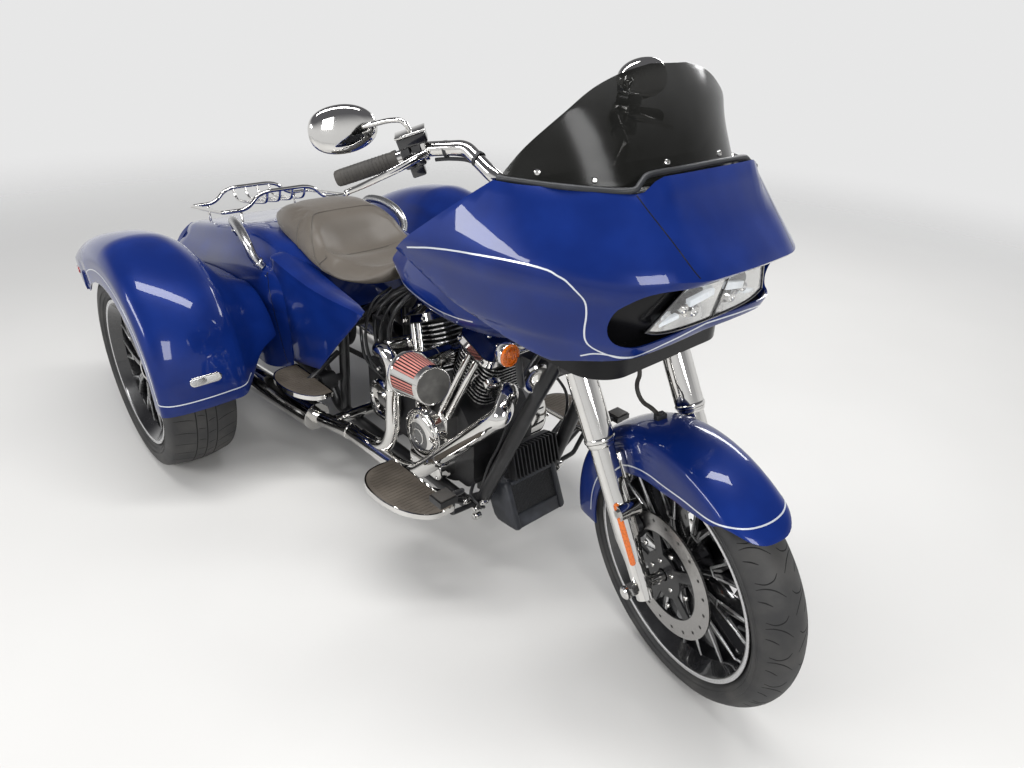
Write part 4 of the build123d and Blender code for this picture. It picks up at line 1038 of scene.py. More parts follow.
ribbon("hood_seams", seams, 0.0022, GLOSS)
print("pinstripes:", len(stripe_lines), "lines; hood seams:", len(seams))

# %% [markdown]
# ## Windscreen
# The screen is a thin smoked sheet, curved both ways, with a low rounded top. Six level arcs
# give its shape, and a rubber bead runs along its foot, stepping up over the hood's middle.
# Six chromed screws hold it.

# %% Windscreen
SCREEN_TOP = 1.331
# Columns: share of the height, middle x, edge x, edge half-width
SCREEN_ROWS = (
    (0.00, 1.550, 1.336, 0.312),
    (0.30, 1.520, 1.372, 0.284),
    (0.60, 1.489, 1.412, 0.236),
    (0.80, 1.468, 1.424, 0.182),
    (0.93, 1.452, 1.434, 0.120),
    (1.00, 1.443, 1.439, 0.052),
)


def screen_arc(middle, edge, half, z, count):
    """Points on the arc through both edges and the middle, at one height."""
    sag = middle - edge
    radius = (half * half + sag * sag) / (2 * sag)
    reach = atan2(half, radius - sag)
    angles = [reach * (2 * i / count - 1) for i in range(count + 1)]
    return [(middle - radius + radius * cos(angle), radius * sin(angle), z) for angle in angles]


def windscreen():
    base = DECK_Z + 0.002
    rows = [screen_arc(x, e, h, base + share * (SCREEN_TOP - base), 40) for share, x, e, h in SCREEN_ROWS]
    columns = [curve_through(column, 6) for column in zip(*rows)]
    shape = Shape()
    shape.grid(columns)
    sheet = shape.build("windscreen_sheet", [SCREEN], limit=60.0)
    add_wall(sheet, 0.0035)
    round_edges(sheet, 0.0012, 50)
    return settle(sheet, "chassis", stands_for=["windscreen"])


SHEET = windscreen()
print("windscreen:", len(SHEET.data.polygons), "faces")

# %% Screen bead and screws


def sweep(shape, line, radius, sides=10, flat=1.0, closed=False):
    """Adds a tube with closed ends along a line to a shape; flat squeezes it across."""
    count = len(line)
    rows = []
    frame_up = Vector((0, 0, 1))
    for i, spot in enumerate(line):
        before = line[(i - 1) % count if closed else max(i - 1, 0)]
        after = line[(i + 1) % count if closed else min(i + 1, count - 1)]
        run = (Vector(after) - Vector(before)).normalized()
        across = run.cross(frame_up)
        if across.length < 0.05:
            across = run.cross(Vector((1, 0, 0)))
        across.normalize()
        frame_up = across.cross(run).normalized()
        rows.append([Vector(spot) + across * radius * flat * cos(2 * pi * k / sides)
                     + frame_up * radius * sin(2 * pi * k / sides) for k in range(sides)])
    shape.grid(rows, around=True, along=closed)
    if not closed:
        shape.cap(rows[0])
        shape.cap(rows[-1])


FOOT_BEAD = ((1.546, 0.0, 1.1695), (1.545, 0.080, 1.1690), (1.537, 0.145, 1.1660), (1.538, 0.166, 1.156),
             (1.540, 0.188, 1.1455), (1.510, 0.218, 1.143), (1.440, 0.262, 1.1425), (1.380, 0.291, 1.1425),
             (1.334, 0.312, 1.1435))
bead = Shape()
sweep(bead, curve_through(both_ways(FOOT_BEAD), 8), 0.0058, flat=0.9)
settle(bead.build("screen_bead", [PLASTIC], limit=50.0), "chassis")
SCREEN_SCREWS = ((1.410, 0.292, 1.166), (1.500, 0.232, 1.166), (1.546, 0.086, 1.190))
glass = surface_of(SHEET)
screw_rows = []
for x, y, z in SCREEN_SCREWS:
    for side in SIDES:
        spot, normal, _, _ = glass.find_nearest(Vector((x, side * y, z)))
        outward = normal if normal.x > 0 else -normal
        screw_rows.append((spot, outward, 0.0062))
bolts("screen_screws", screw_rows, "chassis")
print("screen bead and", len(screw_rows), "screws")

# %% [markdown]
# ## Lamps
# Behind the mouth lies a black scoop, which stands for the lamp's housing, and in it one clear cover
# over two bright bowls. Each bowl has two slanted bars of light and two projectors. The cover's
# ends slant inwards to the brow, so one function of two shares gives every point of it.

# %% Lamp scoop and cover
LENS_HALF = 0.190
LENS_LOW = 0.894
LENS_HIGH = 0.992
SCOOP_HALF = 0.268
# Columns: forward of the scoop's plan line, z
SCOOP_PROFILE = ((-0.010, 0.876), (0.0, 0.892), (0.010, 0.94), (0.022, 0.985), (0.020, 1.004),
                 (0.006, 1.016))
# Columns: u and v of both ends on the cover, half height
LIGHT_BARS = ((0.14, 0.56, 0.62, 0.50, 0.0075), (0.62, 0.86, 0.28, 0.14, 0.0045))
# Columns: u, v, radius
PROJECTORS = ((0.36, 0.30, 0.013), (0.60, 0.42, 0.010))


def lens_x(y):
    """Plan line of the lamp cover."""
    return 1.617 - 0.35 * y * y


def lens_point(u, v, back=0.0):
    """Point of the cover: u from -1 to 1 across, v from 0 to 1 upwards between its slanted ends."""
    y = u * (LENS_HALF - 0.070 * v)
    low = LENS_LOW + 0.014 * abs(u) ** 6
    return Vector((lens_x(y) + 0.022 * v - back, y, low + (LENS_HIGH - low) * v))


def lamp_scoop():
    """Black trough behind the mouth; its ends sweep back into the nose."""
    rows = []
    for i in range(41):
        y = SCOOP_HALF * (i / 20 - 1)
        x = 1.596 - 0.30 * y * y - 0.085 * (max(abs(y) - 0.150, 0) / 0.118) ** 2
        rows.append([(x + forward, y, z) for forward, z in SCOOP_PROFILE])
    scoop = Shape()
    scoop.grid(rows)
    obj = scoop.build("lamp_scoop", [SCOOP_BLACK], limit=60.0)
    add_wall(obj, 0.003, 0.0)
    return settle(obj, "chassis", stands_for=["headlamp_housing"])


def lamp_cover():
    cover = Shape()
    cover.grid([[lens_point(i / 20 - 1, j / 6) for j in range(7)] for i in range(41)])
    obj = cover.build("lamp_cover", [CLEAR], limit=60.0)
    add_wall(obj, 0.003)
    return settle(obj, "chassis", stands_for=["headlamp_lenses"])


lamp_scoop()
lamp_cover()
print("lamp scoop and clear cover, with", round(2 * LENS_HALF, 3), "m across")

# %% Lamp bowls


def lamp_bowl(side, name):
    """Bright dish that follows the cover and is deepest in its middle."""
    rows = []
    for i in range(17):
        u = side * (0.05 + 0.90 * i / 16)
        edge = sin(pi * i / 16)
        rows.append([lens_point(u, 0.04 + 0.92 * j / 8, 0.004 + 0.024 * edge * sin(pi * j / 8))
                     for j in range(9)])
    bowl = Shape()
    bowl.grid(rows)
    settle(bowl.build(f"lamp_bowl_{name}", [CHROME], limit=60.0), "chassis")


def lamp_bars(side, name):
    bars = Shape()
    for u0, u1, v0, v1, half in LIGHT_BARS:
        start = lens_point(side * u0, v0, 0.012)
        end = lens_point(side * u1, v1, 0.012)
        reach = (end - start).length / 2
        bars.box((-reach, -0.006, -half), (reach, 0.006, half),
                 place(*((start + end) / 2), ahead=end - start))
    settle(bars.build(f"lamp_bar_{name}", [LAMP_BAR], bevel=0.0022), "chassis")


def lamp_projectors(side, name):
    rims = Shape()
    for u, v, radius in PROJECTORS:
        profile = ((radius, -0.01), (radius, 0.008), (radius - 0.002, 0.010), (radius - 0.004, 0.006),
                   (0.0, 0.009))
        rims.turned(profile, facing(lens_point(side * u, v, 0.016), (1, 0, -0.1)), 24)
    settle(rims.build(f"lamp_projector_{name}", [CHROME]), "chassis")


for side, name in NAMED_SIDES:
    lamp_bowl(side, name)
    lamp_bars(side, name)
    lamp_projectors(side, name)
edge = [lens_point(-1, 1 - j / 6, -0.0005) for j in range(6)]
edge += [lens_point(i / 14 - 1, 0.0, -0.0005) for i in range(29)]
edge += [lens_point(1, j / 6, -0.0005) for j in range(1, 7)]
surround = Shape()
sweep(surround, edge, 0.0022, 8)
sweep(surround, [lens_point(0, j / 4, -0.0005) for j in range(5)], 0.0016, 8)
settle(surround.build("lamp_surround", [GLOSS]), "chassis")
print("lamps: two bowls,", 2 * len(LIGHT_BARS), "bars of light,", 2 * len(PROJECTORS), "projectors")

# %% [markdown]
# ## Inside of the nose
# The dash closes the top behind the screen, and the instrument panel carries two large and two
# small gauges. Ticks go round each dial by the ring tree.

# %% Dash and gauges
# Columns: y, z, radius
GAUGES = ((-0.078, 1.062, 0.050), (0.078, 1.062, 0.050), (-0.172, 1.068, 0.028), (0.172, 1.068, 0.028))
DIAL_X = 1.3245


def dash():
    """Top of the dash, from the screen's foot back to the instrument panel."""
    front = [Vector((p.x - 0.012, p.y - 0.008, 1.1375)) for p in plan_line(FAIRING_ROWS[5])[:31]]
    front = [p for p in front if p.x > 1.342]
    rows = []
    for p in front:
        half = max(p.y, 0.0)
        rows.append([(p.x, half, 1.1375), ((p.x + 1.338) / 2, half * 0.98, 1.1290), (1.338, half, 1.1330)])
    shape = Shape()
    shape.grid([mirrored(row) for row in reversed(rows[1:])] + rows)
    obj = shape.build("dash_top", [PLASTIC], limit=60.0)
    add_wall(obj, 0.002, 0.0)
    return settle(obj, "chassis")


def gauges():
    bezels = Shape()
    faces = Shape()
    needles = Shape()
    for y, z, radius in GAUGES:
        dial = facing((DIAL_X, y, z), (-1, 0, 0))
        bezels.turned(((radius + 0.003, -0.006), (radius + 0.004, 0.004), (radius + 0.001, 0.010),
                       (radius - 0.005, 0.008), (radius - 0.005, 0.0015)), dial)
        faces.turned(((radius - 0.004, 0.0015), (0.006, 0.0015), (0.006, 0.004), (0.0, 0.004)), dial)
        needle = place(DIAL_X - 0.0035, y, z, ahead=(0, 0.6, -0.8), up=(1, 0, 0))
        needles.box((-0.004, -0.0006, -0.0004), (radius * 0.72, 0.0006, 0.0004), needle)
    settle(bezels.build("gauge_bezels", [CHROME]), "chassis")
    settle(faces.build("gauge_faces", [DIAL]), "chassis")
    settle(needles.build("gauge_needles", [AMBER]), "chassis")


def dial_ticks():
    """Ticks of each dial; their unit is made for the large dials and scaled for the small ones."""
    shape = Shape()
    shape.box((0.0385, -0.0004, -0.0006), (0.0435, 0.0002, 0.0006))
    unit = shape.build("tick_unit", [STRIPE])
    for number, (y, z, radius) in enumerate(GAUGES):
        ring = repeat(f"gauge_ticks_{number}", unit, STRIPE, "ring", count=40)
        scale = radius / GAUGES[0][2]
        ring.data.transform(Matrix.Translation((DIAL_X - 0.0022, y, z)) @ Matrix.Rotation(pi / 2, 4, "Z")
                            @ Matrix.Diagonal((scale, 1, scale, 1)))
        settle(ring, "chassis")
    unit_gone(unit)


dash()
gauges()
dial_ticks()
print("dash and", len(GAUGES), "gauges")

# %% [markdown]
# ## Rear fenders
# Each fender is a domed shell over its wheel. Nine side-view sections, from the trunk's side to
# the outer face, give its form: every section is two arcs that meet over the axle. Stations along
# the arcs become columns of a grid, and each column runs smoothly across the dome, round the
# shoulder and down to the lip of the wheel arch.

# %% Rear fenders
CREST_X = 0.010
ARCH_RADIUS = 0.300
FENDER_OUT = 0.6995
# Columns: distance from the middle line, crest z, nose x, nose z, tail x, tail z, rear bottom z
FENDER_ROWS = (
    (0.2905, 0.566, 0.250, 0.446, -0.470, 0.505, 0.455),
    (0.360, 0.598, 0.285, 0.420, -0.480, 0.525, 0.470),
    (0.420, 0.672, 0.335, 0.360, -0.490, 0.548, 0.530),
    (0.455, 0.718, 0.364, 0.335, -0.497, 0.572, 0.552),
    (0.510, 0.753, 0.374, 0.335, -0.500, 0.590, 0.552),
    (0.575, 0.763, 0.377, 0.335, -0.500, 0.596, 0.552),
    (0.635, 0.756, 0.374, 0.335, -0.493, 0.594, 0.552),
    (0.676, 0.736, 0.366, 0.335, -0.400, 0.606, 0.552),
    (0.697, 0.704, 0.353, 0.335, -0.250, 0.626, 0.552),
)


def arc_through(a, b, c, count):
    """Points on the circle through three points (x, z), from the first to the last."""
    (ax, az), (bx, bz), (cx, cz) = a, b, c
    d = 2 * (ax * (bz - cz) + bx * (cz - az) + cx * (az - bz))
    squares = [p * p + q * q for p, q in (a, b, c)]
    ux = (squares[0] * (bz - cz) + squares[1] * (cz - az) + squares[2] * (az - bz)) / d
    uz = (squares[0] * (cx - bx) + squares[1] * (ax - cx) + squares[2] * (bx - ax)) / d
    radius = hypot(ax - ux, az - uz)
    start, middle, end = (atan2(z - uz, x - ux) for x, z in (a, b, c))
    while middle < start:
        middle += 2 * pi
    while end < middle:
        end += 2 * pi
    return [(ux + radius * cos(start + (end - start) * i / count),
             uz + radius * sin(start + (end - start) * i / count)) for i in range(count + 1)]


def fender_section(row):
    """Side-view line of one section from the nose over the crest and down the tail."""
    y, crest, nose_x, nose_z, tail_x, tail_z, low_z = row
    front = arc_through((nose_x, nose_z), (nose_x * 0.79, crest - (crest - nose_z) * 0.37),
                        (CREST_X, crest), 20)
    rear = arc_through((CREST_X, crest), (tail_x * 0.5, crest - (crest - tail_z) * 0.31), (tail_x, tail_z),
                       20)
    drop = [(tail_x + 0.002, tail_z * 0.5 + low_z * 0.5), (tail_x + 0.006, low_z + 0.010),
            (tail_x + 0.022, low_z)]
    return [(x, y, z) for x, z in front + rear[1:] + drop]


def arch_point(share):
    angle = radians(1.8 + 129.2 * min(share, 1.0))
    return (ARCH_RADIUS * cos(angle), 0.6985, REAR_AXLE_Z + ARCH_RADIUS * sin(angle))


def fender_grid():
    sections = [fender_section(row) for row in FENDER_ROWS]
    stations = len(sections[0])
    grid = []
    for index in range(stations):
        across = [Vector(section[index]) for section in sections]
        lip = Vector(arch_point(index / (stations - 4)))
        outer = across[-1]
        across += [outer.lerp(lip, 0.35), outer.lerp(lip, 0.7), lip]
        across[-3].y = across[-2].y = FENDER_OUT
        line = curve_through(across, 5)
        tuck = 0.005 * min(max(index - (stations - 9), 0) / 4, 1)
        for point in line:
            point.y = min(point.y, FENDER_OUT - tuck)
        grid.append(line)
    return grid


FENDER_GRID = fender_grid()
print("fender form: nose, crest and tail in", len(FENDER_ROWS), "sections")

# %% Fender shells
FENDERS = {}
for side, name in NAMED_SIDES:
    shape = Shape()
    shape.grid([on_side(line, side) for line in FENDER_GRID])
    dome = shape.build(f"fender_shell_{name}", [BLUE], limit=40.0)
    add_wall(dome, 0.004, even=False)
    round_edges(dome, 0.0014, 60)
    FENDERS[side] = settle(dome, "chassis", stands_for=[f"fender_{name}"])
    wall = Shape()
    outline = [(x, z) for x, _, z in fender_section(FENDER_ROWS[0])]
    flat = Matrix(((1, 0, 0, 0), (0, 0, side, side * 0.2907), (0, 1, 0, 0), (0, 0, 0, 1)))
    wall.prism(outline, 0.0, 0.004, flat)
    settle(wall.build(f"fender_wall_{name}", [PLASTIC], bevel=0.001), "chassis")
print("rear fenders:", len(FENDER_GRID), "stations of", len(FENDER_GRID[0]), "points")

# %% Fender stripes
STRIPE_RADIUS = 0.340
arch_stripe = [(STRIPE_RADIUS * cos(radians(a)), 0.6995, REAR_AXLE_Z + STRIPE_RADIUS * sin(radians(a)))
               for a in range(124, 18, -8)]
arch_stripe += [(0.337, 0.697, 0.384), (0.352, 0.680, 0.371), (0.366, 0.640, 0.368), (0.371, 0.575, 0.368),
                (0.368, 0.510, 0.368), (0.358, 0.455, 0.368), (0.336, 0.418, 0.385)]
for side, name in NAMED_SIDES:
    line = laid_line(surface_of(FENDERS[side]), on_side(arch_stripe, side), 6, (0, side * 0.5, 0.4))
    ribbon(f"fender_stripe_{name}", [line], STRIPE_WIDTH, STRIPE)
print("fender stripes through", len(arch_stripe), "points")

# %% [markdown]
# ## Lofts through cross-sections
# The trunk, the tank and the saddle are bodies with a left-right symmetric section that changes
# along the length. One function makes such a body: each section has a flat bottom, a side that
# leans out to the shoulder, and an arc over the top, and a smooth line joins the sections.

# %% Section lofts


def half_section(row, crown, sharp):
    """Half of a section as (y, z) from the bottom's middle to the top's middle."""
    x, z0, w0, z1, w1, w2, z2 = row
    arc = [(w0, z0), (w1, z1), (w1 * 0.42 + w2 * 0.58, z1 + (z2 - z1) * 0.62), (w2, z2),
           (w2 * 0.5, z2 + crown * 0.75), (0.0, z2 + crown)]
    if sharp:
        upper = curve_through([(x, y, z) for y, z in arc], 5)
        return [Vector((x, 0, z0)), Vector((x, w0 * 0.5, z0))] + upper
    return curve_through([(x, 0.0, z0), (x, w0 * 0.6, z0)] + [(x, y, z) for y, z in arc], 5)


def loft_body(name, rows, finish, crown=0.0, sharp=False, steps=6, ends=(0.0, 0.0)):
    """Closed body through sections; ends gives how far each end cap bulges."""
    halves = [half_section(row, crown, sharp) for row in rows]
    columns = [curve_through(column, steps) for column in zip(*halves)]
    sections = [list(section) for section in zip(*columns)]
    full = [section + mirrored(reversed(section[1:-1])) for section in sections]
    caps = []
    for ring, bulge, run in ((full[0], ends[0], -1), (full[-1], ends[1], 1)):
        middle = sum(ring, Vector()) / len(ring)
        cap_rows = []
        for share in (1.0, 0.86, 0.62, 0.34):
            swell = bulge * sqrt(max(1 - share ** 3, 0))
            cap_rows.append([middle + (p - middle) * share + Vector((run * swell, 0, 0)) for p in ring])
        caps.append(cap_rows)
    rings = caps[0][::-1] + full[1:-1] + caps[1]
    shape = Shape()
    shape.grid(rings, around=True)
    shape.cap(rings[0])
    shape.cap(rings[-1])
    return shape.build(name, [finish], limit=40.0)


print("section lofts are ready")

# %% [markdown]
# ## Trunk
# The trunk is a painted tub with an open rear for its door, hollow inside, with room for the axle
# under its front part. Its shoulders are curved both ways, so it is a loft and not a box, and
# Booleans take out the hollow and the room for the axle.

# %% Trunk
# Columns: x, bottom z, bottom half, shoulder z, shoulder half, top half, top z
TRUNK_ROWS = (
    (-0.600, 0.306, 0.290, 0.500, 0.2895, 0.210, 0.604),
    (-0.330, 0.300, 0.290, 0.520, 0.2895, 0.216, 0.658),
    (-0.060, 0.300, 0.290, 0.560, 0.2890, 0.210, 0.712),
    (0.150, 0.300, 0.289, 0.590, 0.280, 0.194, 0.710),
    (0.262, 0.300, 0.264, 0.590, 0.256, 0.168, 0.690),
    (0.345, 0.300, 0.236, 0.590, 0.230, 0.150, 0.672),
)
HOLLOW_ROWS = (
    (-0.640, 0.330, 0.262, 0.500, 0.262, 0.182, 0.572),
    (-0.330, 0.330, 0.262, 0.520, 0.262, 0.186, 0.630),
    (-0.165, 0.330, 0.262, 0.540, 0.262, 0.180, 0.662),
)


def box_cutter(low, high):
    shape = Shape()
    shape.box(low, high)
    return shape.build("cutter", [PLASTIC])


def trunk():
    tub = loft_body("trunk_tub", TRUNK_ROWS, BLUE, crown=0.004, sharp=True)
    cut(tub, loft_body("trunk_hollow", HOLLOW_ROWS, PLASTIC, sharp=True))
    cut(tub, box_cutter((-0.145, -0.4, 0.2), (0.4, 0.4, 0.5153)))
    round_edges(tub, 0.002, 45)
    return tub


TUB = settle(trunk(), "chassis", stands_for=["trunk_body"])
HINGE_X = -0.634
HINGE_Z = 0.318
hinges = Shape()
for y in (-0.190, 0.190):
    for half, radius in ((0.012, 0.007), (0.037, 0.003)):
        hinges.rod((HINGE_X, y - half, HINGE_Z), (HINGE_X, y + half, HINGE_Z), radius)
    hinges.box((HINGE_X, y - 0.012, 0.311), (-0.580, y + 0.012, 0.317))
settle(hinges.build("trunk_hinges", [GLOSS], bevel=0.0006), "chassis")
print("trunk:", len(TUB.data.polygons), "faces")

# %% [markdown]
# ## Side covers
# Curved covers run from the trunk's seam to the engine and turn in under the saddle. Their rear and
# front edges are measured. A grid stretched between the two follows both, which a bent plate
# wouldn't, and four more rows make the turned-in rim.

# %% Side covers
COVER_REAR = ((0.270, 0.360), (0.228, 0.530), (0.198, 0.655), (0.190, 0.682))
COVER_FRONT = ((0.300, 0.358), (0.448, 0.390), (0.554, 0.500), (0.660, 0.602), (0.708, 0.652))
COVER_TURN = (0.0, 0.14, 0.42, 0.72, 1.0)


def on_line(points, share, marks=None):
    """Point at a share of a polyline; marks gives the share of each of its points."""
    marks = marks or [i / (len(points) - 1) for i in range(len(points))]
    for i in range(len(points) - 1):
        if share <= marks[i + 1]:
            t = (share - marks[i]) / (marks[i + 1] - marks[i])
            return tuple(a + (b - a) * t for a, b in zip(points[i], points[i + 1]))
    return points[-1]


def side_cover(side, name):
    rows = []
    for j in range(15):
        v = j / 14
        rear_x, rear_z = on_line(COVER_REAR, v)
        front_x, front_z = on_line(COVER_FRONT, v, COVER_TURN)
        row = []
        for i in range(25):
            u = i / 24
            sag = -0.016 * sin(pi * min(u * 1.1, 1.0)) * v * v
            x = rear_x + (front_x - rear_x) * u
            z = rear_z + (front_z - rear_z) * u + sag
            y = 0.2535 + 0.010 * sin(pi * u) * sin(pi * min(v + 0.1, 1.0)) - 0.012 * u * u * v
            row.append(Vector((x, side * y, z)))
        rows.append(row)
    crest = rows[-1]
    for inward, rise in ((0.006, 0.004), (0.020, 0.008), (0.046, 0.010), (0.084, 0.010)):
        narrow = [1 - 0.75 * (i / 24) ** 2 for i in range(25)]
        rows.append([p + Vector((-0.2 * inward * (i / 24), -side * inward * narrow[i], rise * narrow[i]))
                     for i, p in enumerate(crest)])
    shape = Shape()
    shape.grid(rows)
    cover = shape.build(f"side_cover_{name}", [BLUE], limit=50.0)
    add_wall(cover, 0.004)
    round_edges(cover, 0.0012, 60)
    return cover


for side, name in NAMED_SIDES:
    settle(side_cover(side, name), "chassis", stands_for=["side_covers"] if side < 0 else [])
print("side covers: 2")

# %% [markdown]
# ## Side panels and seams
# Ahead of the axle the lower side of the trunk is a panel that narrows towards the engine: a thin
# sheet over the tub. The dark joint beside the cover is a ribbon laid on both, like a pinstripe.

# %% Side panels
# Columns: x, lower half-width at z 0.30, upper half-width at z 0.59, bottom z
PANEL_ROWS = ((0.085, 0.2900, 0.2860, 0.300), (0.150, 0.2895, 0.2805, 0.302),
              (0.205, 0.2800, 0.2720, 0.312),
              (0.262, 0.2650, 0.2570, 0.332), (0.284, 0.2590, 0.2520, 0.345))
PANEL_TOP = 0.5250


def side_panel(side, name):
    """Lower part of the trunk's side ahead of the axle."""
    rows = []
    for x, low_y, high_y, bottom in PANEL_ROWS:
        heights = [bottom + (PANEL_TOP - bottom) * k / 8 for k in range(9)]
        rows.append([Vector((x, side * (low_y + (high_y - low_y) * (z - 0.30) / 0.29 + 0.0008), z))
                     for z in heights])
    shape = Shape()
    shape.grid([list(column) for column in zip(*(curve_through(line, 5) for line in zip(*rows)))])
    panel = shape.build(f"trunk_side_{name}", [BLUE], limit=50.0)
    add_wall(panel, 0.003, 0.0)
    return settle(panel, "chassis")


PANELS = [side_panel(side, name) for side, name in NAMED_SIDES]
body_skin = surface_of(TUB, *PANELS)
seam_lines = []
for side in SIDES:
    points = [(x - 0.004, side * 0.32, z) for x, z in ((0.276, 0.342), *COVER_REAR)]
    seam_lines.append(laid_line(body_skin, points, 8, (0.1, 0.0, 0.5)))
ribbon("trunk_seams", seam_lines, 0.0026, GLOSS)
print("side panels and", len(seam_lines), "seams")

# %% [markdown]
# ## Grab handles
# A cast handle arches over each shoulder of the trunk, beside the passenger. A curve object could
# carry it, but a tube swept along a smooth line is a plain closed mesh at once.

# %% Grab handles
HANDLE_LINE = ((-0.074, 0.236, 0.690), (-0.070, 0.250, 0.726), (-0.048, 0.262, 0.745),
               (0.012, 0.276, 0.748), (0.072, 0.285, 0.735),
               (0.116, 0.289, 0.708), (0.136, 0.284, 0.674), (0.140, 0.262, 0.640))
handles = Shape()
for side in SIDES:
    line = curve_through(on_side(HANDLE_LINE, side), 8)
    sweep(handles, line, 0.0150, 24)
    for spot, run in ((line[3], line[5] - line[3]), (line[-4], line[-6] - line[-4])):
        turn = facing(spot, run)
        handles.turned(((0.0150, 0.0), (0.0185, 0.001), (0.0185, 0.006), (0.0150, 0.009)), turn, 32)
settle(handles.build("grab_rails", [CAST], limit=60.0), "chassis", stands_for=["grab_handles"])
print("grab handles: 2")

# %% [markdown]
# ## Luggage rack
# The rack is one closed loop of bent tube with slats between its two raised hoops. Cutting the
# corners of a simple outline again and again gives straight runs with even bends, as in real tube.

# %% Luggage rack
# Hoops: x, height of the sides, height of the middle
RACK_HOOPS = ((-0.498, 0.692, 0.742), (-0.186, 0.736, 0.789))
RACK_HALF = 0.238


def hoop_points(x, low, high):
    """Wave of one hoop, from the right to the left."""
    return both_ways([(x, 0.0, high), (x, 0.102, high), (x, 0.148, low), (x, 0.212, low)])


def luggage_rack():
    rack = Shape()
    (rear, rear_low, rear_high), (front, front_low, front_high) = RACK_HOOPS
    slope = (front_low - rear_low) / (front - rear)
    side_run = [(x, RACK_HALF, rear_low + slope * (x - rear))
                for x in (rear + 0.026, rear + 0.12, front - 0.12, front - 0.026)]
    loop = hoop_points(rear, rear_low, rear_high) + [(rear, RACK_HALF, rear_low)] + side_run
    loop += [(front, RACK_HALF, front_low)] + hoop_points(front, front_low, front_high)[::-1]
    loop += [(front, -RACK_HALF, front_low)] + mirrored(side_run)[::-1] + [(rear, -RACK_HALF, rear_low)]
    sweep(rack, softened(loop, closed=True), 0.0068, 14, closed=True)
    for y in (-0.072, -0.024, 0.024, 0.072):
        bar = [(rear, y, rear_high), (rear + 0.012, y, rear_low + 0.016),
               (rear + 0.050, y, rear_low + 0.006),
               (front - 0.050, y, front_low), (front - 0.012, y, front_low + 0.014), (front, y, front_high)]
        sweep(rack, softened(bar), 0.0048, 12)
    for x, low, _ in RACK_HOOPS:
        for side in SIDES:
            post = Matrix.Translation((x, side * 0.176, low - 0.068))
            rack.turned(((0.0, 0.0), (0.0058, 0.0), (0.0054, 0.068), (0.0, 0.072)), post, 24)
    settle(rack.build("rack_tubes", [CHROME], limit=60.0), "chassis", stands_for=["luggage_rack"])


luggage_rack()
print("luggage rack:", len(RACK_HOOPS), "hoops")

# %% [markdown]
# ## Tank
# The tank sits astride the backbone, narrow at the saddle and widest ahead of the rider's knees. It
# is lofted like the trunk, with rounded ends, and carries a chromed filler cap, a gloss strip and
# a pinstripe on each side.

# %% Tank
TANK_ROWS = (
    (0.606, 0.720, 0.040, 0.748, 0.070, 0.040, 0.790),
    (0.680, 0.704, 0.068, 0.738, 0.100, 0.056, 0.826),
    (0.760, 0.692, 0.094, 0.730, 0.127, 0.070, 0.854),
    (0.960, 0.688, 0.119, 0.734, 0.165, 0.086, 0.893),
    (1.120, 0.702, 0.111, 0.752, 0.161, 0.084, 0.897),
    (1.226, 0.740, 0.070, 0.790, 0.110, 0.060, 0.872),
)
tank = loft_body("tank_shell", TANK_ROWS, BLUE, crown=0.004, ends=(0.004, 0.004))
TANK = settle(tank, "chassis", stands_for=["fuel_tank"])
filler = Shape()
filler.turned(((0.0, 0.012), (0.020, 0.011), (0.030, 0.008), (0.034, 0.002), (0.034, -0.012),
               (0.0, -0.012)),
              Matrix.Translation((0.985, -0.045, 0.893)) @ Matrix.Rotation(radians(10), 4, "X"), 48)
settle(filler.build("filler_cap", [CHROME], bevel=0.0008), "chassis")
console = Shape()
rows = []
for i in range(21):
    x = 0.66 + 0.46 * i / 20
    half = 0.026 + 0.014 * sin(pi * i / 20)
    top = 0.802 + 0.100 * sin(pi / 2 * min(i / 12, 1.0))
    rows.append([(x, half * s, top - 0.010 * abs(s) ** 3) for s in (-1.0, -0.8, -0.4, 0.0, 0.4, 0.8, 1.0)])
console.grid(rows)
strip = console.build("tank_strip", [GLOSS], limit=50.0)
add_wall(strip, 0.004, 0.0)
settle(strip, "chassis")
tank_skin = surface_of(TANK)
TANK_STRIPE = ((0.640, -0.092, 0.742), (0.760, -0.128, 0.722), (0.960, -0.166, 0.730),
               (1.090, -0.166, 0.746))
lines = [laid_line(tank_skin, on_side(TANK_STRIPE, -side), 8, (0.9, 0, 0.76)) for side in SIDES]
ribbon("tank_stripes", lines, 0.0030, STRIPE)
print("tank:", len(TANK.data.polygons), "faces")

# %% [markdown]
# ## Front fender
# The front fender is a crowned channel bent round the tyre. Its section keeps its width, but the
# sides get shallower towards the rounded tip, and the rear end is cut square behind the fork.

# %% Front fender
FENDER_FRONT = 48.0
FENDER_BACK = 187.0
FENDER_RADIUS = 0.343
# Columns: distance from the middle, drop from the crown
CHANNEL = ((0.0, 0.0), (0.026, 0.0012), (0.050, 0.006), (0.067, 0.014), (0.0765, 0.026), (0.0802, 0.044),
           (0.0812, 0.070))


def wheel_point(radius, angle, y):
    """Point round the front axle, its angle in degrees measured up from straight ahead."""
    a = radians(angle)
    return FRONT_AXLE + Vector((radius * cos(a), y, radius * sin(a)))


def front_fender_grid():
    """Stations round the wheel, each a half section of (y, drop from the crown, angle)."""
    columns = []
    for i in range(57):
        t = i / 56
        angle = FENDER_FRONT + (FENDER_BACK - FENDER_FRONT) * t
        depth = 0.046 + 0.058 * min(t / 0.30, 1.0) ** 0.8
        half = [(y, min(drop, depth * (0.55 + 0.06 * k))) for k, (y, drop) in enumerate(CHANNEL)]
        half.append((0.0820, depth))
        line = []
        for y, drop in curve_points(half, 3):
            tip = 13.0 * (y / 0.080) ** 3 * max(1 - t * 5, 0)
            line.append((y, drop, angle + tip))
        columns.append(line)
    return columns


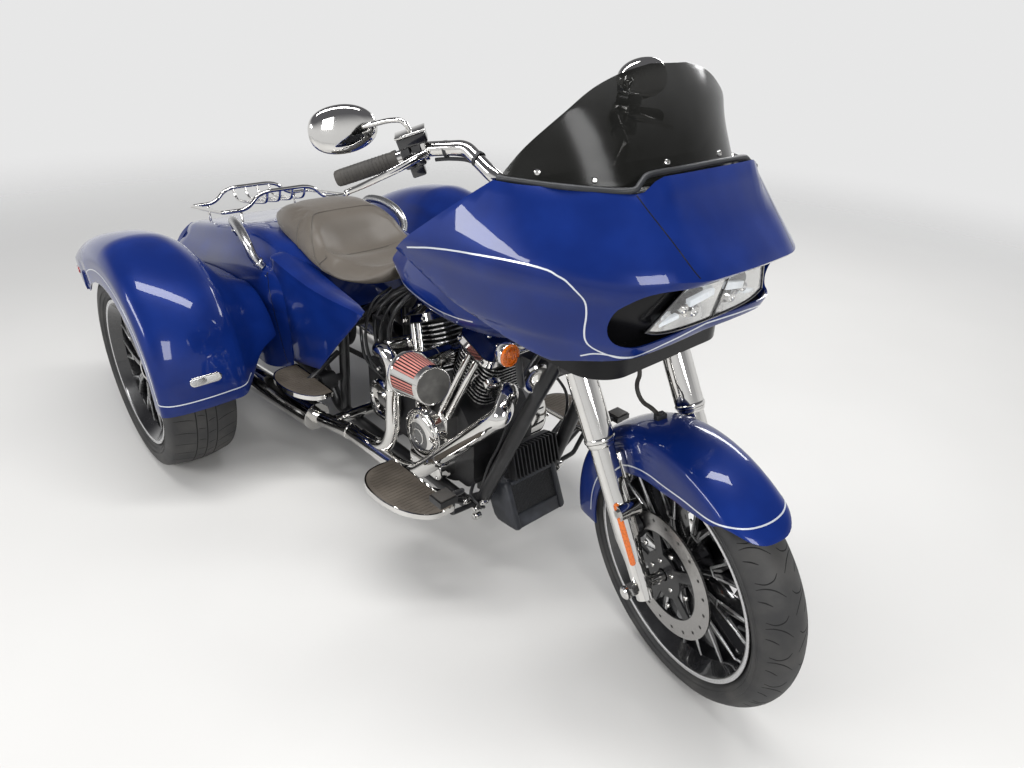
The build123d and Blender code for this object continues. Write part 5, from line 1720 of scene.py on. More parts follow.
def curve_points(pairs, steps):
    return [(p.x, p.y) for p in curve_through([(a, b, 0) for a, b in pairs], steps)]


def front_fender():
    shape = Shape()
    rows = []
    for line in front_fender_grid():
        left = [wheel_point(FENDER_RADIUS + 0.0045 - drop, angle, y) for y, drop, angle in line]
        other = [wheel_point(FENDER_RADIUS + 0.0045 - drop, angle, -y) for y, drop,
                 angle in reversed(line[1:])]
        rows.append(other + left)
    shape.grid(rows)
    skin = shape.build("front_fender_shell", [BLUE], limit=50.0)
    add_wall(skin, 0.004)
    round_edges(skin, 0.0014, 60)
    return skin


FRONT_FENDER = settle(front_fender(), "steering", steered=True, stands_for=["front_fender"])
print("front fender:", len(FRONT_FENDER.data.polygons), "faces")

# %% Front fender stripe and lugs
# Columns: radius beyond the fender's, angle, distance from the middle
TIP_STRIPE = ((-0.066, 77, -0.083), (-0.052, 69, -0.082), (-0.034, 63, -0.080), (-0.010, 58, -0.068),
              (0.003, 55, -0.040), (0.006, 54, 0.0))
low_edge = [wheel_point(FENDER_RADIUS - 0.080, angle, -0.084) for angle in range(180, 80, -10)]
low_edge += [wheel_point(FENDER_RADIUS + out, angle, y) for out, angle, y in TIP_STRIPE]
far_side = mirrored(reversed(low_edge[:-1]))
line = laid_line(surface_of(FRONT_FENDER, steered=True), low_edge + far_side, 6, FRONT_AXLE)
ribbon("front_fender_stripe", [line], STRIPE_WIDTH, STRIPE, body="steering", steered=True)
lugs = Shape()
for side in SIDES:
    spot = FRONT_AXLE + Vector((-0.268 * sin(FORK_ANGLE), side * 0.0805, 0.268 * cos(FORK_ANGLE)))
    frame_of_leg = place(*spot, ahead=(cos(FORK_ANGLE), 0, sin(FORK_ANGLE)),
                         up=(-sin(FORK_ANGLE), 0, cos(FORK_ANGLE)))
    low, high = sorted((0.0, side * 0.016))
    lugs.box((-0.014, low, -0.030), (0.014, high, 0.030), frame_of_leg)
settle(lugs.build("fender_lugs", [CHROME], bevel=0.003, segments=3), "steering", steered=True)
print("fender stripe and lugs")

# %% [markdown]
# ## Tyres
# A tyre is a casing turned from a round profile, with a tread cut into it. Booleans would cut it
# slowly and leave slivers. So each groove is a thin strip that follows the crown, near-black with
# painted shade for its depth, with its edges turned down into the rubber, and the ring tree repeats
# it round the axle.

# %% Tyre casings
AXLE_TURN = Matrix.Rotation(-pi / 2, 4, "X")
FRONT_RIM = 0.250
REAR_RIM = 0.238


def tyre_profile(radius, half, rim, drop, shoulder):
    """Outer profile (radius, y) from one bead over the crown to the other."""
    side = [(rim + 0.004, -(half - 0.018)), (rim + 0.012, -(half - 0.008)),
            ((rim + radius) / 2 - 0.006, -half),
            (radius - drop - 0.012, -(half - 0.004)), (radius - drop, -(half - shoulder))]
    crown = [(radius - drop * abs(t) ** 2.1, (half - shoulder) * t) for t in (-0.8, -0.6, -0.4, -0.2, 0.0)]
    line = side + crown
    return curve_points(line + [(r, -y) for r, y in reversed(line[:-1])], 3)


def casing(name, profile, rim, sides):
    """Turned ring with its axis along y, closed by its bead seat, with two raised rings on each flank."""
    shape = Shape()
    inner = [(rim + 0.0006, profile[-1][1] - 0.001), (rim + 0.0006, profile[0][1] + 0.001)]
    shape.turned(profile + inner, AXLE_TURN, sides, closed=True)
    for side in SIDES:
        for ring in (rim + 0.016, rim + 0.030):
            out = -side * next(y for r, y in profile if r > ring)
            ridge = ((ring - 0.0012, out), (ring, out + side * 0.0008), (ring + 0.0012, out))
            shape.turned(ridge, AXLE_TURN, sides)
    return shape.build(name, [TYRE], limit=40.0)


FRONT_TYRE = tyre_profile(0.3185, 0.0648, FRONT_RIM, 0.026, 0.008)
REAR_TYRE = tyre_profile(0.3252, 0.1073, REAR_RIM, 0.013, 0.013)
print("tyre profiles:", len(FRONT_TYRE), "and", len(REAR_TYRE), "points")

# %% Tread grooves


def groove_shade_finish():
    # Painted shade: the depth of a groove is drawn as a near-black strip on the tread, mottled by dust.
    finish = Finish("tread_groove_shade")
    dust = finish.noise(300.0, 3.0)
    return finish.done(Base_Color=finish.mix(dust, (0.0025, 0.0025, 0.0025), (0.007, 0.007, 0.007)),
                       Roughness=dust * 0.1 + 0.88)


GROOVE_SHADE = groove_shade_finish()


def crown_radius(profile, y):
    """Radius of the tread surface at a distance from the tyre's middle."""
    outer = [(h, r) for r, h in profile if r > profile[len(profile) // 2][0] - 0.06]
    for (h0, r0), (h1, r1) in zip(outer, outer[1:]):
        if h0 <= y <= h1:
            return r0 + (r1 - r0) * (y - h0) / max(h1 - h0, 1e-9)
    return outer[0][1] if y < outer[0][0] else outer[-1][1]


def groove_unit(profile, path, width):
    """One groove: a strip along a path of (y, angle in rad), near-black with painted shade, with its edges
    turned into the rubber.
    """
    rows = []
    line = curve_points(path, 5)
    for i, (y, angle) in enumerate(line):
        before, after = line[max(i - 1, 0)], line[min(i + 1, len(line) - 1)]
        radius = crown_radius(profile, y)
        run_y, run_a = after[0] - before[0], (after[1] - before[1]) * radius
        length = hypot(run_y, run_a) or 1.0
        taper = 0.35 + 0.65 * sin(pi * min(max(i / (len(line) - 1), 0.02), 0.98))
        row = []
        for k in (-1, -0.55, 0.55, 1):
            off_y = -run_a / length * width / 2 * k * taper
            off_a = run_y / length * width / 2 * k * taper / radius
            r = crown_radius(profile, y + off_y) + (0.0002 if abs(k) < 1 else -0.0012)
            a = angle + off_a
            row.append(Vector((r * cos(a), y + off_y, r * sin(a))))
        rows.append(row)
    shape = Shape()
    shape.grid(rows)
    return shape.build("groove_unit", [GROOVE_SHADE], limit=60.0)


def grooves(name, profile, paths, count, width):
    """All grooves of one tyre: each path repeated round the axle, and its mirror half a pitch on."""
    made = []
    for number, path in enumerate(paths):
        for side, letter in ((-1, "r"), (1, "l")):
            shift = pi / count if side > 0 else 0.0
            unit = groove_unit(profile, [(side * y, a + shift) for y, a in path], width)
            made.append(repeat(f"{name}_{number}_{letter}", unit, GROOVE_SHADE, "ring", count=count))
            unit_gone(unit)
    return made


def lathe_lines(name, profile, spots, width, sides=128):
    """Channels, near-black with painted shade, that run right round the tread at distances from its middle.
    """
    shape = Shape()
    for y in spots:
        shape.turned([(crown_radius(profile, y + k * width / 2) + lift, y + k * width / 2)
                      for k, lift in ((-1, -0.001), (-0.6, 0.0002), (0.6, 0.0002), (1, -0.001))], AXLE_TURN,
                     sides)
    return shape.build(name, [GROOVE_SHADE], limit=60.0)


print("tread grooves:", GROOVE_SHADE.name)

# %% Tyres
# Paths: distance from the middle, angle round the axle
FRONT_GROOVES = (
    ((0.006, 0.000), (0.022, 0.055), (0.038, 0.085), (0.052, 0.092)),
    ((0.050, 0.135), (0.036, 0.110), (0.020, 0.118), (0.010, 0.150)),
    ((0.054, 0.020), (0.044, 0.000), (0.034, -0.030)),
)
REAR_GROOVES = (
    ((0.034, 0.000), (0.052, 0.020), (0.072, 0.030), (0.094, 0.032)),
    ((0.004, 0.030), (0.014, 0.044), (0.026, 0.050)),
)
FRONT_PITCHES = 24
REAR_PITCHES = 40


def joined(name, parts):
    """One object from several that carry finished meshes."""
    work = bmesh.new()
    finishes = []
    for part in parts:
        base = len(work.faces)
        start = len(finishes)
        finishes.extend(part.data.materials)
        work.from_mesh(part.data)
        work.faces.ensure_lookup_table()
        for face in work.faces[base:]:
            face.material_index += start
    mesh = bpy.data.meshes.new(name)
    work.to_mesh(mesh)
    work.free()
    for finish in finishes:
        mesh.materials.append(finish)
    for part in parts:
        bpy.data.objects.remove(part)
    obj = bpy.data.objects.new(name, mesh)
    scene.collection.objects.link(obj)
    return obj


def dress_tyre(name, body, profile, rim, paths, count, width, centre, rings, steered, stands):
    parts = [casing(name, profile, rim, 128)] + grooves(name, profile, paths, count, width)
    if rings:
        parts.append(lathe_lines(name + "_rings", profile, rings, 0.005))
    tyre = joined(name, parts)
    tyre.data.transform(Matrix.Translation(centre))
    tyre["smooth_limit"] = 40.0
    return settle(tyre, body, steered, stands_for=stands)


dress_tyre("front_tyre_casing", "front_wheel", FRONT_TYRE, FRONT_RIM, FRONT_GROOVES, FRONT_PITCHES, 0.0042,
           FRONT_AXLE, (), True, ["front_tyre"])
for side, name in NAMED_SIDES:
    centre = Vector((0, side * HALF_TRACK, REAR_AXLE_Z))
    dress_tyre(f"rear_tyre_casing_{name}", f"rear_wheel_{name}", REAR_TYRE, REAR_RIM, REAR_GROOVES,
               REAR_PITCHES,
               0.0038, centre, (-0.031, 0.0, 0.031), False, [f"rear_tyre_{name}"])
print("tyres: front", FRONT_PITCHES * 2 * len(FRONT_GROOVES), "grooves, rear",
      REAR_PITCHES * 2 * len(REAR_GROOVES), "each")

# %% [markdown]
# ## Wheels
# The cast wheels are gloss black. Pairs of deep blades spread from the hub to the rim, and each
# pair's front edge is machined bright: a thin V with a flat at its point. The rim carries a
# bright lip. One pair is modelled and the ring tree repeats it round the axle.

# %% Wheels
SPOKE_PAIRS = 10


def blade_pair(hub, knee, end, spread, front, depth):
    """Two blades that leave the hub as one and part at the knee; front is their outer face's y."""
    shape = Shape()
    back = front - depth if front > 0 else front + depth
    low, high = sorted((front, back))
    for side in SIDES:
        outline = ((hub - 0.006, 0.0), (hub - 0.006, side * 0.009), (knee, side * 0.012),
                   (end, side * (spread + 0.005)), (end, side * (spread - 0.005)),
                   (knee + 0.020, side * 0.001))
        shape.prism(outline, low, high, SIDE_ON)
    return applied(shape.build("blade_unit", [GLOSS], bevel=0.0016))


def bright_edges(knee, end, spread, face_y, outward):
    """Thin machined lines on the outer edges of a pair, joined by a flat at the point."""
    shape = Shape()
    low, high = sorted((face_y - outward * 0.002, face_y + outward * 0.0012))
    width = 0.0042
    for side in SIDES:
        inner = (knee - 0.006, side * 0.012)
        outer = (end + 0.002, side * (spread + 0.005))
        outline = (inner, outer, (outer[0], outer[1] - side * width * 1.3),
                   (inner[0] + 0.004, inner[1] - side * width))
        shape.prism(outline, low, high, SIDE_ON)
    shape.prism(((knee - 0.010, -0.012), (knee - 0.006, -0.012), (knee - 0.006, 0.012),
                 (knee - 0.010, 0.012)),
                low, high, SIDE_ON)
    return applied(shape.build("edge_unit", [MACHINED], bevel=0.0005, segments=1))


print("spoke units: blades and their machined edges")

# %% Rims and hubs


def rim_ring(name, rim, half, well):
    """Rim with its drop centre, turned as one closed profile."""
    shape = Shape()
    profile = [(rim - 0.0005, -half), (rim - 0.0005, -half + 0.014), (well, -half + 0.030),
               (well, half - 0.030),
               (rim - 0.0005, half - 0.014), (rim - 0.0005, half), (rim - 0.010, half),
               (rim - 0.013, half - 0.006),
               (well - 0.007, half - 0.034), (well - 0.007, -half + 0.034), (rim - 0.013, -half + 0.006),
               (rim - 0.010, -half)]
    shape.turned(profile, AXLE_TURN, 128, closed=True)
    return applied(shape.build(name, [GLOSS], bevel=0.0012))


def lip_ring(name, rim, half, faces):
    """Bright lip on the sides that faces lists."""
    shape = Shape()
    for face in faces:
        shape.turned(((rim + 0.0012, face * (half - 0.001)), (rim + 0.0008, face * (half + 0.0012)),
                      (rim - 0.006, face * (half + 0.0014)), (rim - 0.010, face * (half - 0.001)),
                      (rim - 0.014, face * (half - 0.010)), (rim - 0.012, face * (half - 0.012))),
                     AXLE_TURN, 128)
    return shape.build(name, [MACHINED], limit=45.0)


def hub_turned(name, radius, half, bore):
    shape = Shape()
    shape.turned(((bore, -half), (radius * 0.55, -half), (radius * 0.62, -half + 0.004),
                  (radius * 0.92, -half + 0.016),
                  (radius, -half + 0.024), (radius * 0.94, 0.0), (radius, half - 0.024),
                  (radius * 0.92, half - 0.016),
                  (radius * 0.62, half - 0.004), (radius * 0.55, half), (bore, half)), AXLE_TURN, 64,
                 closed=True)
    return shape.build(name, [GLOSS], limit=40.0)


print("rims and hubs are turned profiles")

# %% Finished wheels
REAR_BORE = 0.0223
REAR_FACE = 0.048


def dress_wheel(name, body, rim, half, hub, hub_half, bore, faces, front, depth, centre, steered, stands):
    well = rim - 0.026
    end = well - 0.002
    knee = hub + (rim - hub) * 0.42
    spread = end * tan(radians(90 / SPOKE_PAIRS)) * 0.86
    parts = [rim_ring(name + "_rim", rim, half, well), lip_ring(name + "_lip", rim, half, faces),
             hub_turned(name + "_hub", hub, hub_half, bore)]
    unit = blade_pair(hub, knee, end, spread, front, depth)
    parts.append(repeat(name + "_blades", unit, GLOSS, "ring", count=SPOKE_PAIRS))
    unit_gone(unit)
    for face in faces:
        y = front if face * front > 0 else front + (depth if front < 0 else -depth)
        unit = bright_edges(knee, end, spread, y, face)
        parts.append(repeat(f"{name}_edges_{'l' if face > 0 else 'r'}", unit, MACHINED, "ring",
                            count=SPOKE_PAIRS))
        unit_gone(unit)
    valve = Shape()
    valve.rod((well - 0.008, faces[0] * (half - 0.040), 0.0),
              (well - 0.034, faces[0] * (half - 0.030), 0.0), 0.004,
              end_radius=0.0036)
    parts.append(valve.build(name + "_valve", [PLASTIC]))
    wheel = joined(name, parts)
    wheel.data.transform(Matrix.Translation(centre))
    wheel["smooth_limit"] = HARD_EDGE
    return settle(wheel, body, steered, stands_for=stands)


dress_wheel("front_wheel_cast", "front_wheel", FRONT_RIM, 0.052, 0.046, 0.059, 0.0128, SIDES, 0.019, 0.038,
            FRONT_AXLE, True, ["front_wheel"])
for side, name in NAMED_SIDES:
    centre = Vector((0, side * HALF_TRACK, REAR_AXLE_Z))
    dress_wheel(f"rear_wheel_cast_{name}", f"rear_wheel_{name}", REAR_RIM, 0.0965, 0.062, REAR_FACE,
                REAR_BORE,
                (side,), side * 0.0625, 0.034, centre, False, [f"rear_wheel_{name}"])
    disc = Shape()
    y = side * (HALF_TRACK - REAR_FACE - 0.003)
    disc.turned(((REAR_BORE, y - 0.003), (0.145, y - 0.003), (0.145, y + 0.003), (REAR_BORE, y + 0.003)),
                Matrix.Translation((0, 0, REAR_AXLE_Z)) @ AXLE_TURN, 96, closed=True)
    settle(disc.build(f"rear_disc_{name}", [REAR_DISC], bevel=0.0006), f"rear_wheel_{name}")
    nut = Shape()
    turn = (Matrix.Translation((0, side * (HALF_TRACK + REAR_FACE), REAR_AXLE_Z))
            @ Matrix.Rotation(-side * pi / 2, 4, "X"))
    nut.turned(((0.045, 0.0), (0.045, 0.012), (0.041, 0.018), (0.026, 0.022), (0.0226, 0.020)), turn, 48)
    settle(nut.build(f"hub_cap_{name}", [CHROME]), f"rear_wheel_{name}")
print("wheels:", SPOKE_PAIRS, "blade pairs each")

# %% Wheel bolts
front_bolts = []
for side in SIDES:
    for index in range(5):
        for radius, size, out in ((0.078, 0.0062, 0.0645), (0.036, 0.0055, 0.0640)):
            angle = 72 * index + (36 if radius < 0.05 else 0)
            front_bolts.append((wheel_point(radius, angle, side * out), (0, side, 0), size))
bolts("front_disc_bolts", front_bolts, "front_wheel", steered=True)
for side, name in NAMED_SIDES:
    rows = [((0.052 * cos(a), side * (HALF_TRACK + 0.034), REAR_AXLE_Z + 0.052 * sin(a)), (0, side, 0),
             0.0065)
            for a in (2 * pi * i / 5 for i in range(5))]
    bolts(f"rear_wheel_bolts_{name}", rows, f"rear_wheel_{name}")
print("bolts on the front discs:", len(front_bolts), "and on each rear wheel:", len(rows))

# %% [markdown]
# ## Saddle
# One leather saddle carries a deep rider's bucket and a passenger pad behind it. It starts as a
# closed form a little smaller than the real one. Blender's Cloth then inflates it for a moment,
# which rounds it like foam under leather, and the distance that a point may move is capped. Piping
# and stitches come after that, laid on the finished skin.

# %% Saddle
# Columns: x, bottom z, bottom half, shoulder z, shoulder half, top half, top z, middle z
SADDLE_ROWS = (
    (-0.034, 0.740, 0.098, 0.752, 0.118, 0.082, 0.766, 0.768),
    (0.020, 0.728, 0.122, 0.748, 0.145, 0.106, 0.787, 0.792),
    (0.090, 0.718, 0.144, 0.740, 0.165, 0.124, 0.800, 0.803),
    (0.170, 0.706, 0.152, 0.728, 0.172, 0.128, 0.800, 0.799),
    (0.236, 0.694, 0.158, 0.717, 0.176, 0.134, 0.790, 0.780),
    (0.285, 0.684, 0.163, 0.706, 0.181, 0.148, 0.762, 0.722),
    (0.340, 0.674, 0.166, 0.695, 0.184, 0.156, 0.724, 0.687),
    (0.410, 0.667, 0.164, 0.684, 0.181, 0.152, 0.709, 0.695),
    (0.475, 0.663, 0.152, 0.678, 0.168, 0.136, 0.702, 0.693),
    (0.535, 0.664, 0.114, 0.682, 0.133, 0.098, 0.706, 0.702),
    (0.574, 0.674, 0.080, 0.693, 0.095, 0.064, 0.722, 0.725),
    (0.592, 0.692, 0.056, 0.706, 0.066, 0.042, 0.735, 0.739),
)
FOAM_VOXEL = 0.0062
FOAM_SWELL = 0.007
FOAM_FRAMES = 20


def saddle_form():
    halves = []
    for x, z0, w0, z1, w1, w2, z2, z3 in SADDLE_ROWS:
        half = [(0.0, z0), (w0 * 0.6, z0), (w0, z0 + 0.001), (w1, z1),
                (w1 * 0.45 + w2 * 0.55, z1 * 0.32 + z2 * 0.68),
                (w2 * 0.94, z2), (w2 * 0.74, z2 * 0.62 + z3 * 0.38), (w2 * 0.40, z2 * 0.12 + z3 * 0.88),
                (0.0, z3)]
        halves.append(curve_through([(x, y, z) for y, z in half], 4))
    columns = [curve_through(column, 5) for column in zip(*halves)]
    rings = []
    for section in zip(*columns):
        rings.append(list(section) + mirrored(reversed(section[1:-1])))
    shape = Shape()
    shape.grid(rings, around=True)
    shape.cap(rings[0])
    shape.cap(rings[-1])
    return shape.build("saddle_form", [LEATHER], limit=60.0)


saddle = saddle_form()
print("saddle form:", len(saddle.data.polygons), "faces")

# %% Inflated saddle


def inflate(obj, voxel, swell):
    """Remeshes a closed form, lets Cloth blow it up, caps the movement and keeps the flat bottom."""
    remesh = obj.modifiers.new("remesh", "REMESH")
    remesh.mode = "VOXEL"
    remesh.voxel_size = voxel
    mesh = applied(obj).data
    start = [v.co.copy() for v in mesh.vertices]
    held = obj.vertex_groups.new(name="held")
    held.add([v.index for v in mesh.vertices if v.normal.z < -0.6], 1.0, "REPLACE")
    cloth = obj.modifiers.new("cloth", "CLOTH")
    cloth.settings.quality = 5
    cloth.settings.use_pressure = True
    cloth.settings.uniform_pressure_force = 4.0
    cloth.settings.effector_weights.gravity = 0.0
    cloth.settings.vertex_group_mass = "held"
    cloth.point_cache.frame_start = 1
    cloth.point_cache.frame_end = FOAM_FRAMES
    for number in range(1, FOAM_FRAMES + 1):
        scene.frame_set(number)
    for vertex, origin in zip(applied(obj).data.vertices, start):
        move = vertex.co - origin
        if move.length > swell:
            vertex.co = origin + move.normalized() * swell
    scene.frame_set(1)
    return obj


inflate(saddle, FOAM_VOXEL, FOAM_SWELL)
relax = saddle.modifiers.new("relax", "SMOOTH")
relax.factor = 0.5
relax.iterations = 4
add_subdivision(saddle, 1)
saddle.data.materials.clear()
saddle.data.materials.append(LEATHER)
SADDLE = settle(saddle, "chassis", stands_for=["saddle"])
print("saddle:", len(SADDLE.data.polygons), "faces")

# %% [markdown]
# ## Saddle seams
# Piping runs round the bucket, across the waist and down the pad's sides, with a row of stitches
# beside it. The lines are laid on the finished skin, and the spots tree repeats one short thread.

# %% Saddle seams
BUCKET_SEAM = ((0.205, 0.0, 0.81), (0.208, 0.070, 0.81), (0.218, 0.108, 0.80), (0.245, 0.130, 0.785),
               (0.275, 0.150, 0.762),
               (0.303, 0.168, 0.732), (0.340, 0.180, 0.700), (0.385, 0.178, 0.676), (0.410, 0.166, 0.666))
WAIST_SEAM = ((0.362, 0.184, 0.692), (0.372, 0.160, 0.706), (0.368, 0.130, 0.708), (0.354, 0.080, 0.705),
              (0.346, 0.040, 0.700), (0.344, 0.0, 0.700))
PAD_SEAM = ((0.200, 0.140, 0.79), (0.214, 0.168, 0.755), (0.222, 0.176, 0.725), (0.226, 0.166, 0.704))
leather_skin = surface_of(SADDLE)
SADDLE_INSIDE = (0.30, 0.0, 0.69)
piping = Shape()
stitches = []
seam_lines = [both_ways(BUCKET_SEAM), PAD_SEAM, mirrored(PAD_SEAM), both_ways(WAIST_SEAM[::-1])]
for points in seam_lines:
    spots = laid_line(leather_skin, points, 7, SADDLE_INSIDE, lift=0.0002)
    sweep(piping, [spot for spot, _ in spots], 0.0016, 8)
    for i in range(1, len(spots) - 1):
        spot, normal = spots[i]
        run = spots[i + 1][0] - spots[i - 1][0]
        beside = run.cross(normal).normalized() * 0.0042
        stitches.append((spot + beside + normal * 0.0004, run, 1.0))
settle(piping.build("saddle_piping", [LEATHER], limit=60.0), "chassis")
thread_shape = Shape()
thread_shape.rod((0, 0, -0.0022), (0, 0, 0.0022), 0.0006, sides=6)
thread_unit = thread_shape.build("thread_unit", [LEATHER])
threads = repeat("saddle_stitches", thread_unit, CAP_GREY, "spots", spots=stitches)
unit_gone(thread_unit)
settle(threads, "chassis")
print("saddle:", len(seam_lines), "seams,", len(stitches), "stitches")

# %% [markdown]
# ## Handlebar controls
# Each end of the bar carries a moulded switch housing, a fluid reservoir with a chromed lid, a
# cast lever, and a rubber grip with a flange at its inner end. Cables are clipped along the bar.

# %% Grips
GRIP_END = Vector((0.944, 0.434, 1.105))
BAR_BEND = Vector((1.026, 0.256, 1.153))
BAR_RUN = (GRIP_END - BAR_BEND).normalized()
grip_from = (Vector((1.000, 0.312, 1.138)) - BAR_BEND).dot(BAR_RUN)


def mirror_y(point, side):
    """A point given for the left, on the side asked for."""
    return Vector((point[0], side * point[1], point[2]))


def bar_frame(along, side):
    """Frame on the straight end of the bar: local z runs outwards along it."""
    return facing(mirror_y(BAR_BEND + BAR_RUN * along, side), mirror_y(BAR_RUN, side))


grip_shape = Shape()
grip_length = (GRIP_END - BAR_BEND).length + 0.010 - grip_from
for side in SIDES:
    at_grip = bar_frame(grip_from, side)
    profile = [(0.0163, 0.002), (0.0188, 0.002), (0.0190, 0.006), (0.0188, 0.010), (0.0176, 0.014),
               (0.0180, 0.050),
               (0.0184, 0.090), (0.0182, grip_length - 0.012), (0.0174, grip_length - 0.003),
               (0.0150, grip_length), (0.0, grip_length)]
    grip_shape.turned(profile, at_grip, 40)
    for index in range(14):
        at = 0.024 + index * (grip_length - 0.040) / 13
        grip_shape.turned(((0.0176, at - 0.0016), (0.0189, at), (0.0176, at + 0.0016)), at_grip, 40)
settle(grip_shape.build("grip_sleeves", [RUBBER], limit=50.0), "steering", steered=True,
       stands_for=["grips"])
print("grips:", round(grip_length, 3), "m long")

# %% Switch housings and reservoirs


def housing_parts():
    black = Shape()
    bright = Shape()
    for side in SIDES:
        start = mirror_y(BAR_BEND, side)
        heading = mirror_y(BAR_RUN, side)
        frame_of_bar = place(*(start + heading * 0.030), ahead=heading, up=(0, 0, 1))
        black.box((-0.024, -0.024, -0.026), (-0.001, 0.024, 0.024), frame_of_bar)
        black.box((0.001, -0.024, -0.026), (0.024, 0.024, 0.024), frame_of_bar)
        black.box((-0.014, -0.028, -0.050), (0.018, 0.012, -0.022), frame_of_bar)
        for x in (-0.012, 0.0, 0.012):
            black.box((x - 0.004, side * 0.022 - 0.004, -0.012), (x + 0.004, side * 0.022 + 0.006, 0.010),
                      frame_of_bar)
        cup = place(*(start + heading * 0.030 + Vector((0.010, 0, 0.026))), ahead=heading, up=(0.12, 0, 1))
        black.box((-0.033, -0.019, -0.004), (0.033, 0.019, 0.020), cup)
        bright.box((-0.0345, -0.0205, 0.0202), (0.0345, 0.0205, 0.0255), cup)
        clamp = place(*(start + heading * 0.004), ahead=heading, up=(0, 0, 1))
        bright.box((-0.008, -0.022, -0.020), (0.006, 0.022, 0.020), clamp)
    return black, bright


black, bright = housing_parts()
settle(black.build("switch_housings", [GLOSS], bevel=0.005, segments=3), "steering",
       steered=True,
       stands_for=["hand_controls"])
settle(bright.build("reservoir_lids", [CHROME], bevel=0.0022, segments=3), "steering",
       steered=True)
print("switch housings and reservoirs: 2 of each")

# %% Levers
LEVER_LINE = ((1.044, 0.262, 1.149), (1.050, 0.290, 1.143), (1.044, 0.330, 1.128), (1.030, 0.370, 1.113),
              (1.012, 0.405, 1.098), (0.998, 0.432, 1.088), (0.994, 0.444, 1.083))
levers = Shape()
for side in SIDES:
    line = curve_through(on_side(LEVER_LINE, side), 5)
    count = len(line)
    rows = []
    for i, spot in enumerate(line):
        run = (line[min(i + 1, count - 1)] - line[max(i - 1, 0)]).normalized()
        across = run.cross(Vector((0, 0, 1))).normalized()
        upward = across.cross(run)
        wide = 0.0075 - 0.003 * sin(pi * min(i / count * 1.4, 1.0)) + (0.0015 if i > count - 5 else 0)
        tall = 0.0095 - 0.004 * (i / count) + (0.001 if i > count - 5 else 0)
        rows.append([spot + across * wide * cos(2 * pi * k / 14) + upward * tall * sin(2 * pi * k / 14)
                     for k in range(14)])
    levers.grid(rows, around=True)
    levers.cap(rows[0])
    levers.cap(rows[-1])
settle(levers.build("levers", [CHROME], levels=1, limit=60.0), "steering", steered=True)
print("levers: 2")

# %% Cables on the bar
BAR_LINE = ((1.222, 0.060, 1.012), (1.186, 0.140, 1.084), (1.168, 0.168, 1.112), (1.130, 0.180, 1.138),
            (1.092, 0.194, 1.152), (1.058, 0.222, 1.154), (1.034, 0.248, 1.152))
cables = Shape()
for side in SIDES:
    for drop, ahead, radius in ((0.0205, 0.010, 0.0042), (0.0150, -0.012, 0.0032)):
        line = [(x + ahead, y - 0.004, z - drop) for x, y, z in BAR_LINE]
        sweep(cables, curve_through(on_side(line, side), 5), radius, 8)
settle(cables.build("bar_cables", [PLASTIC]), "steering", steered=True)
clips = Shape()
for side in SIDES:
    for index in (1, 3, 5):
        spot, after = (mirror_y(point, side) for point in BAR_LINE[index:index + 2])
        clips.turned(((0.0166, -0.004), (0.0176, -0.004), (0.0176, 0.004), (0.0166, 0.004)),
                     facing(spot, after - spot), 28, closed=True)
settle(clips.build("cable_clips", [PLASTIC]), "steering", steered=True)
print("cables along the bar: 4, with 6 clips")

# %% [markdown]
# ## Mirrors
# A mirror is a chromed shell, a rounded shape a little wider than high and pulled in at its inner
# end, with the glass set into its rear rim. A bent stem carries it from the control housing.

# %% Mirrors
MIRROR_SPOT = Vector((0.923, 0.400, 1.199))
# Columns: forward of the mirror's middle, share of the outline
SHELL_RINGS = ((-0.012, 0.955), (-0.0125, 0.99), (-0.006, 1.0), (0.002, 0.985), (0.008, 0.93),
               (0.0125, 0.80), (0.0155, 0.60), (0.0172, 0.35), (0.0178, 0.12))
STEM_LINE = ((1.022, 0.281, 1.166), (1.019, 0.286, 1.196), (1.012, 0.298, 1.216), (0.990, 0.318, 1.217),
             (0.960, 0.343, 1.209), (0.940, 0.361, 1.203))


def mirror_outline(share, side, count=64):
    """Outline of the shell in its own plane: y outwards, z up, at a share of its full size."""
    points = []
    for i in range(count):
        a = 2 * pi * i / count
        # the inner half is narrower and lower than the outer one
        wide = 0.0795 * (1.0 if cos(a) > 0 else 0.94)
        tall = 0.0535 * (1.0 - 0.16 * max(-cos(a), 0)) * (1.0 if sin(a) > 0 else 0.92)
        y = wide * (abs(cos(a)) ** 0.80) * (1 if cos(a) > 0 else -1)
        z = tall * (abs(sin(a)) ** 0.86) * (1 if sin(a) > 0 else -1)
        points.append((side * y * share, z * share))
    return points


shells = Shape()
glasses = Shape()
stems = Shape()
for side in SIDES:
    frame_of_glass = place(*mirror_y(MIRROR_SPOT, side), ahead=(1, 0, 0.16), up=(0, 0, 1))
    rings = [[frame_of_glass @ Vector((ahead, y, z)) for y, z in mirror_outline(share, side)]
             for ahead, share in SHELL_RINGS]
    shells.grid(rings, around=True)
    shells.cap(rings[-1])
    face = [[frame_of_glass @ Vector((-0.0112 + 0.002 * (1 - share * share), y, z))
             for y, z in mirror_outline(share, side)] for share in (0.958, 0.7, 0.4, 0.15)]
    glasses.grid(face, around=True)
    glasses.cap(face[-1])
    sweep(stems, curve_through(on_side(STEM_LINE, side), 6), 0.0055, 12)
    stems.turned(((0.0085, -0.004), (0.0095, 0.0), (0.0085, 0.006), (0.0, 0.007)),
                 Matrix.Translation((1.022, side * 0.281, 1.172)), 20)
settle(shells.build("mirror_shells", [CHROME], limit=50.0), "steering", steered=True,
       stands_for=["mirrors"])
settle(glasses.build("mirror_glasses", [MIRROR], limit=50.0), "steering", steered=True)
settle(stems.build("mirror_stems", [CHROME], limit=50.0), "steering", steered=True)
print("mirrors: shells, glasses and stems")

# %% [markdown]
# ## Turn signals
# A turn signal is a chromed bowl on a short stalk, with an amber lens of stepped rings. Bowl and
# lens are round, so turned profiles give both at once.

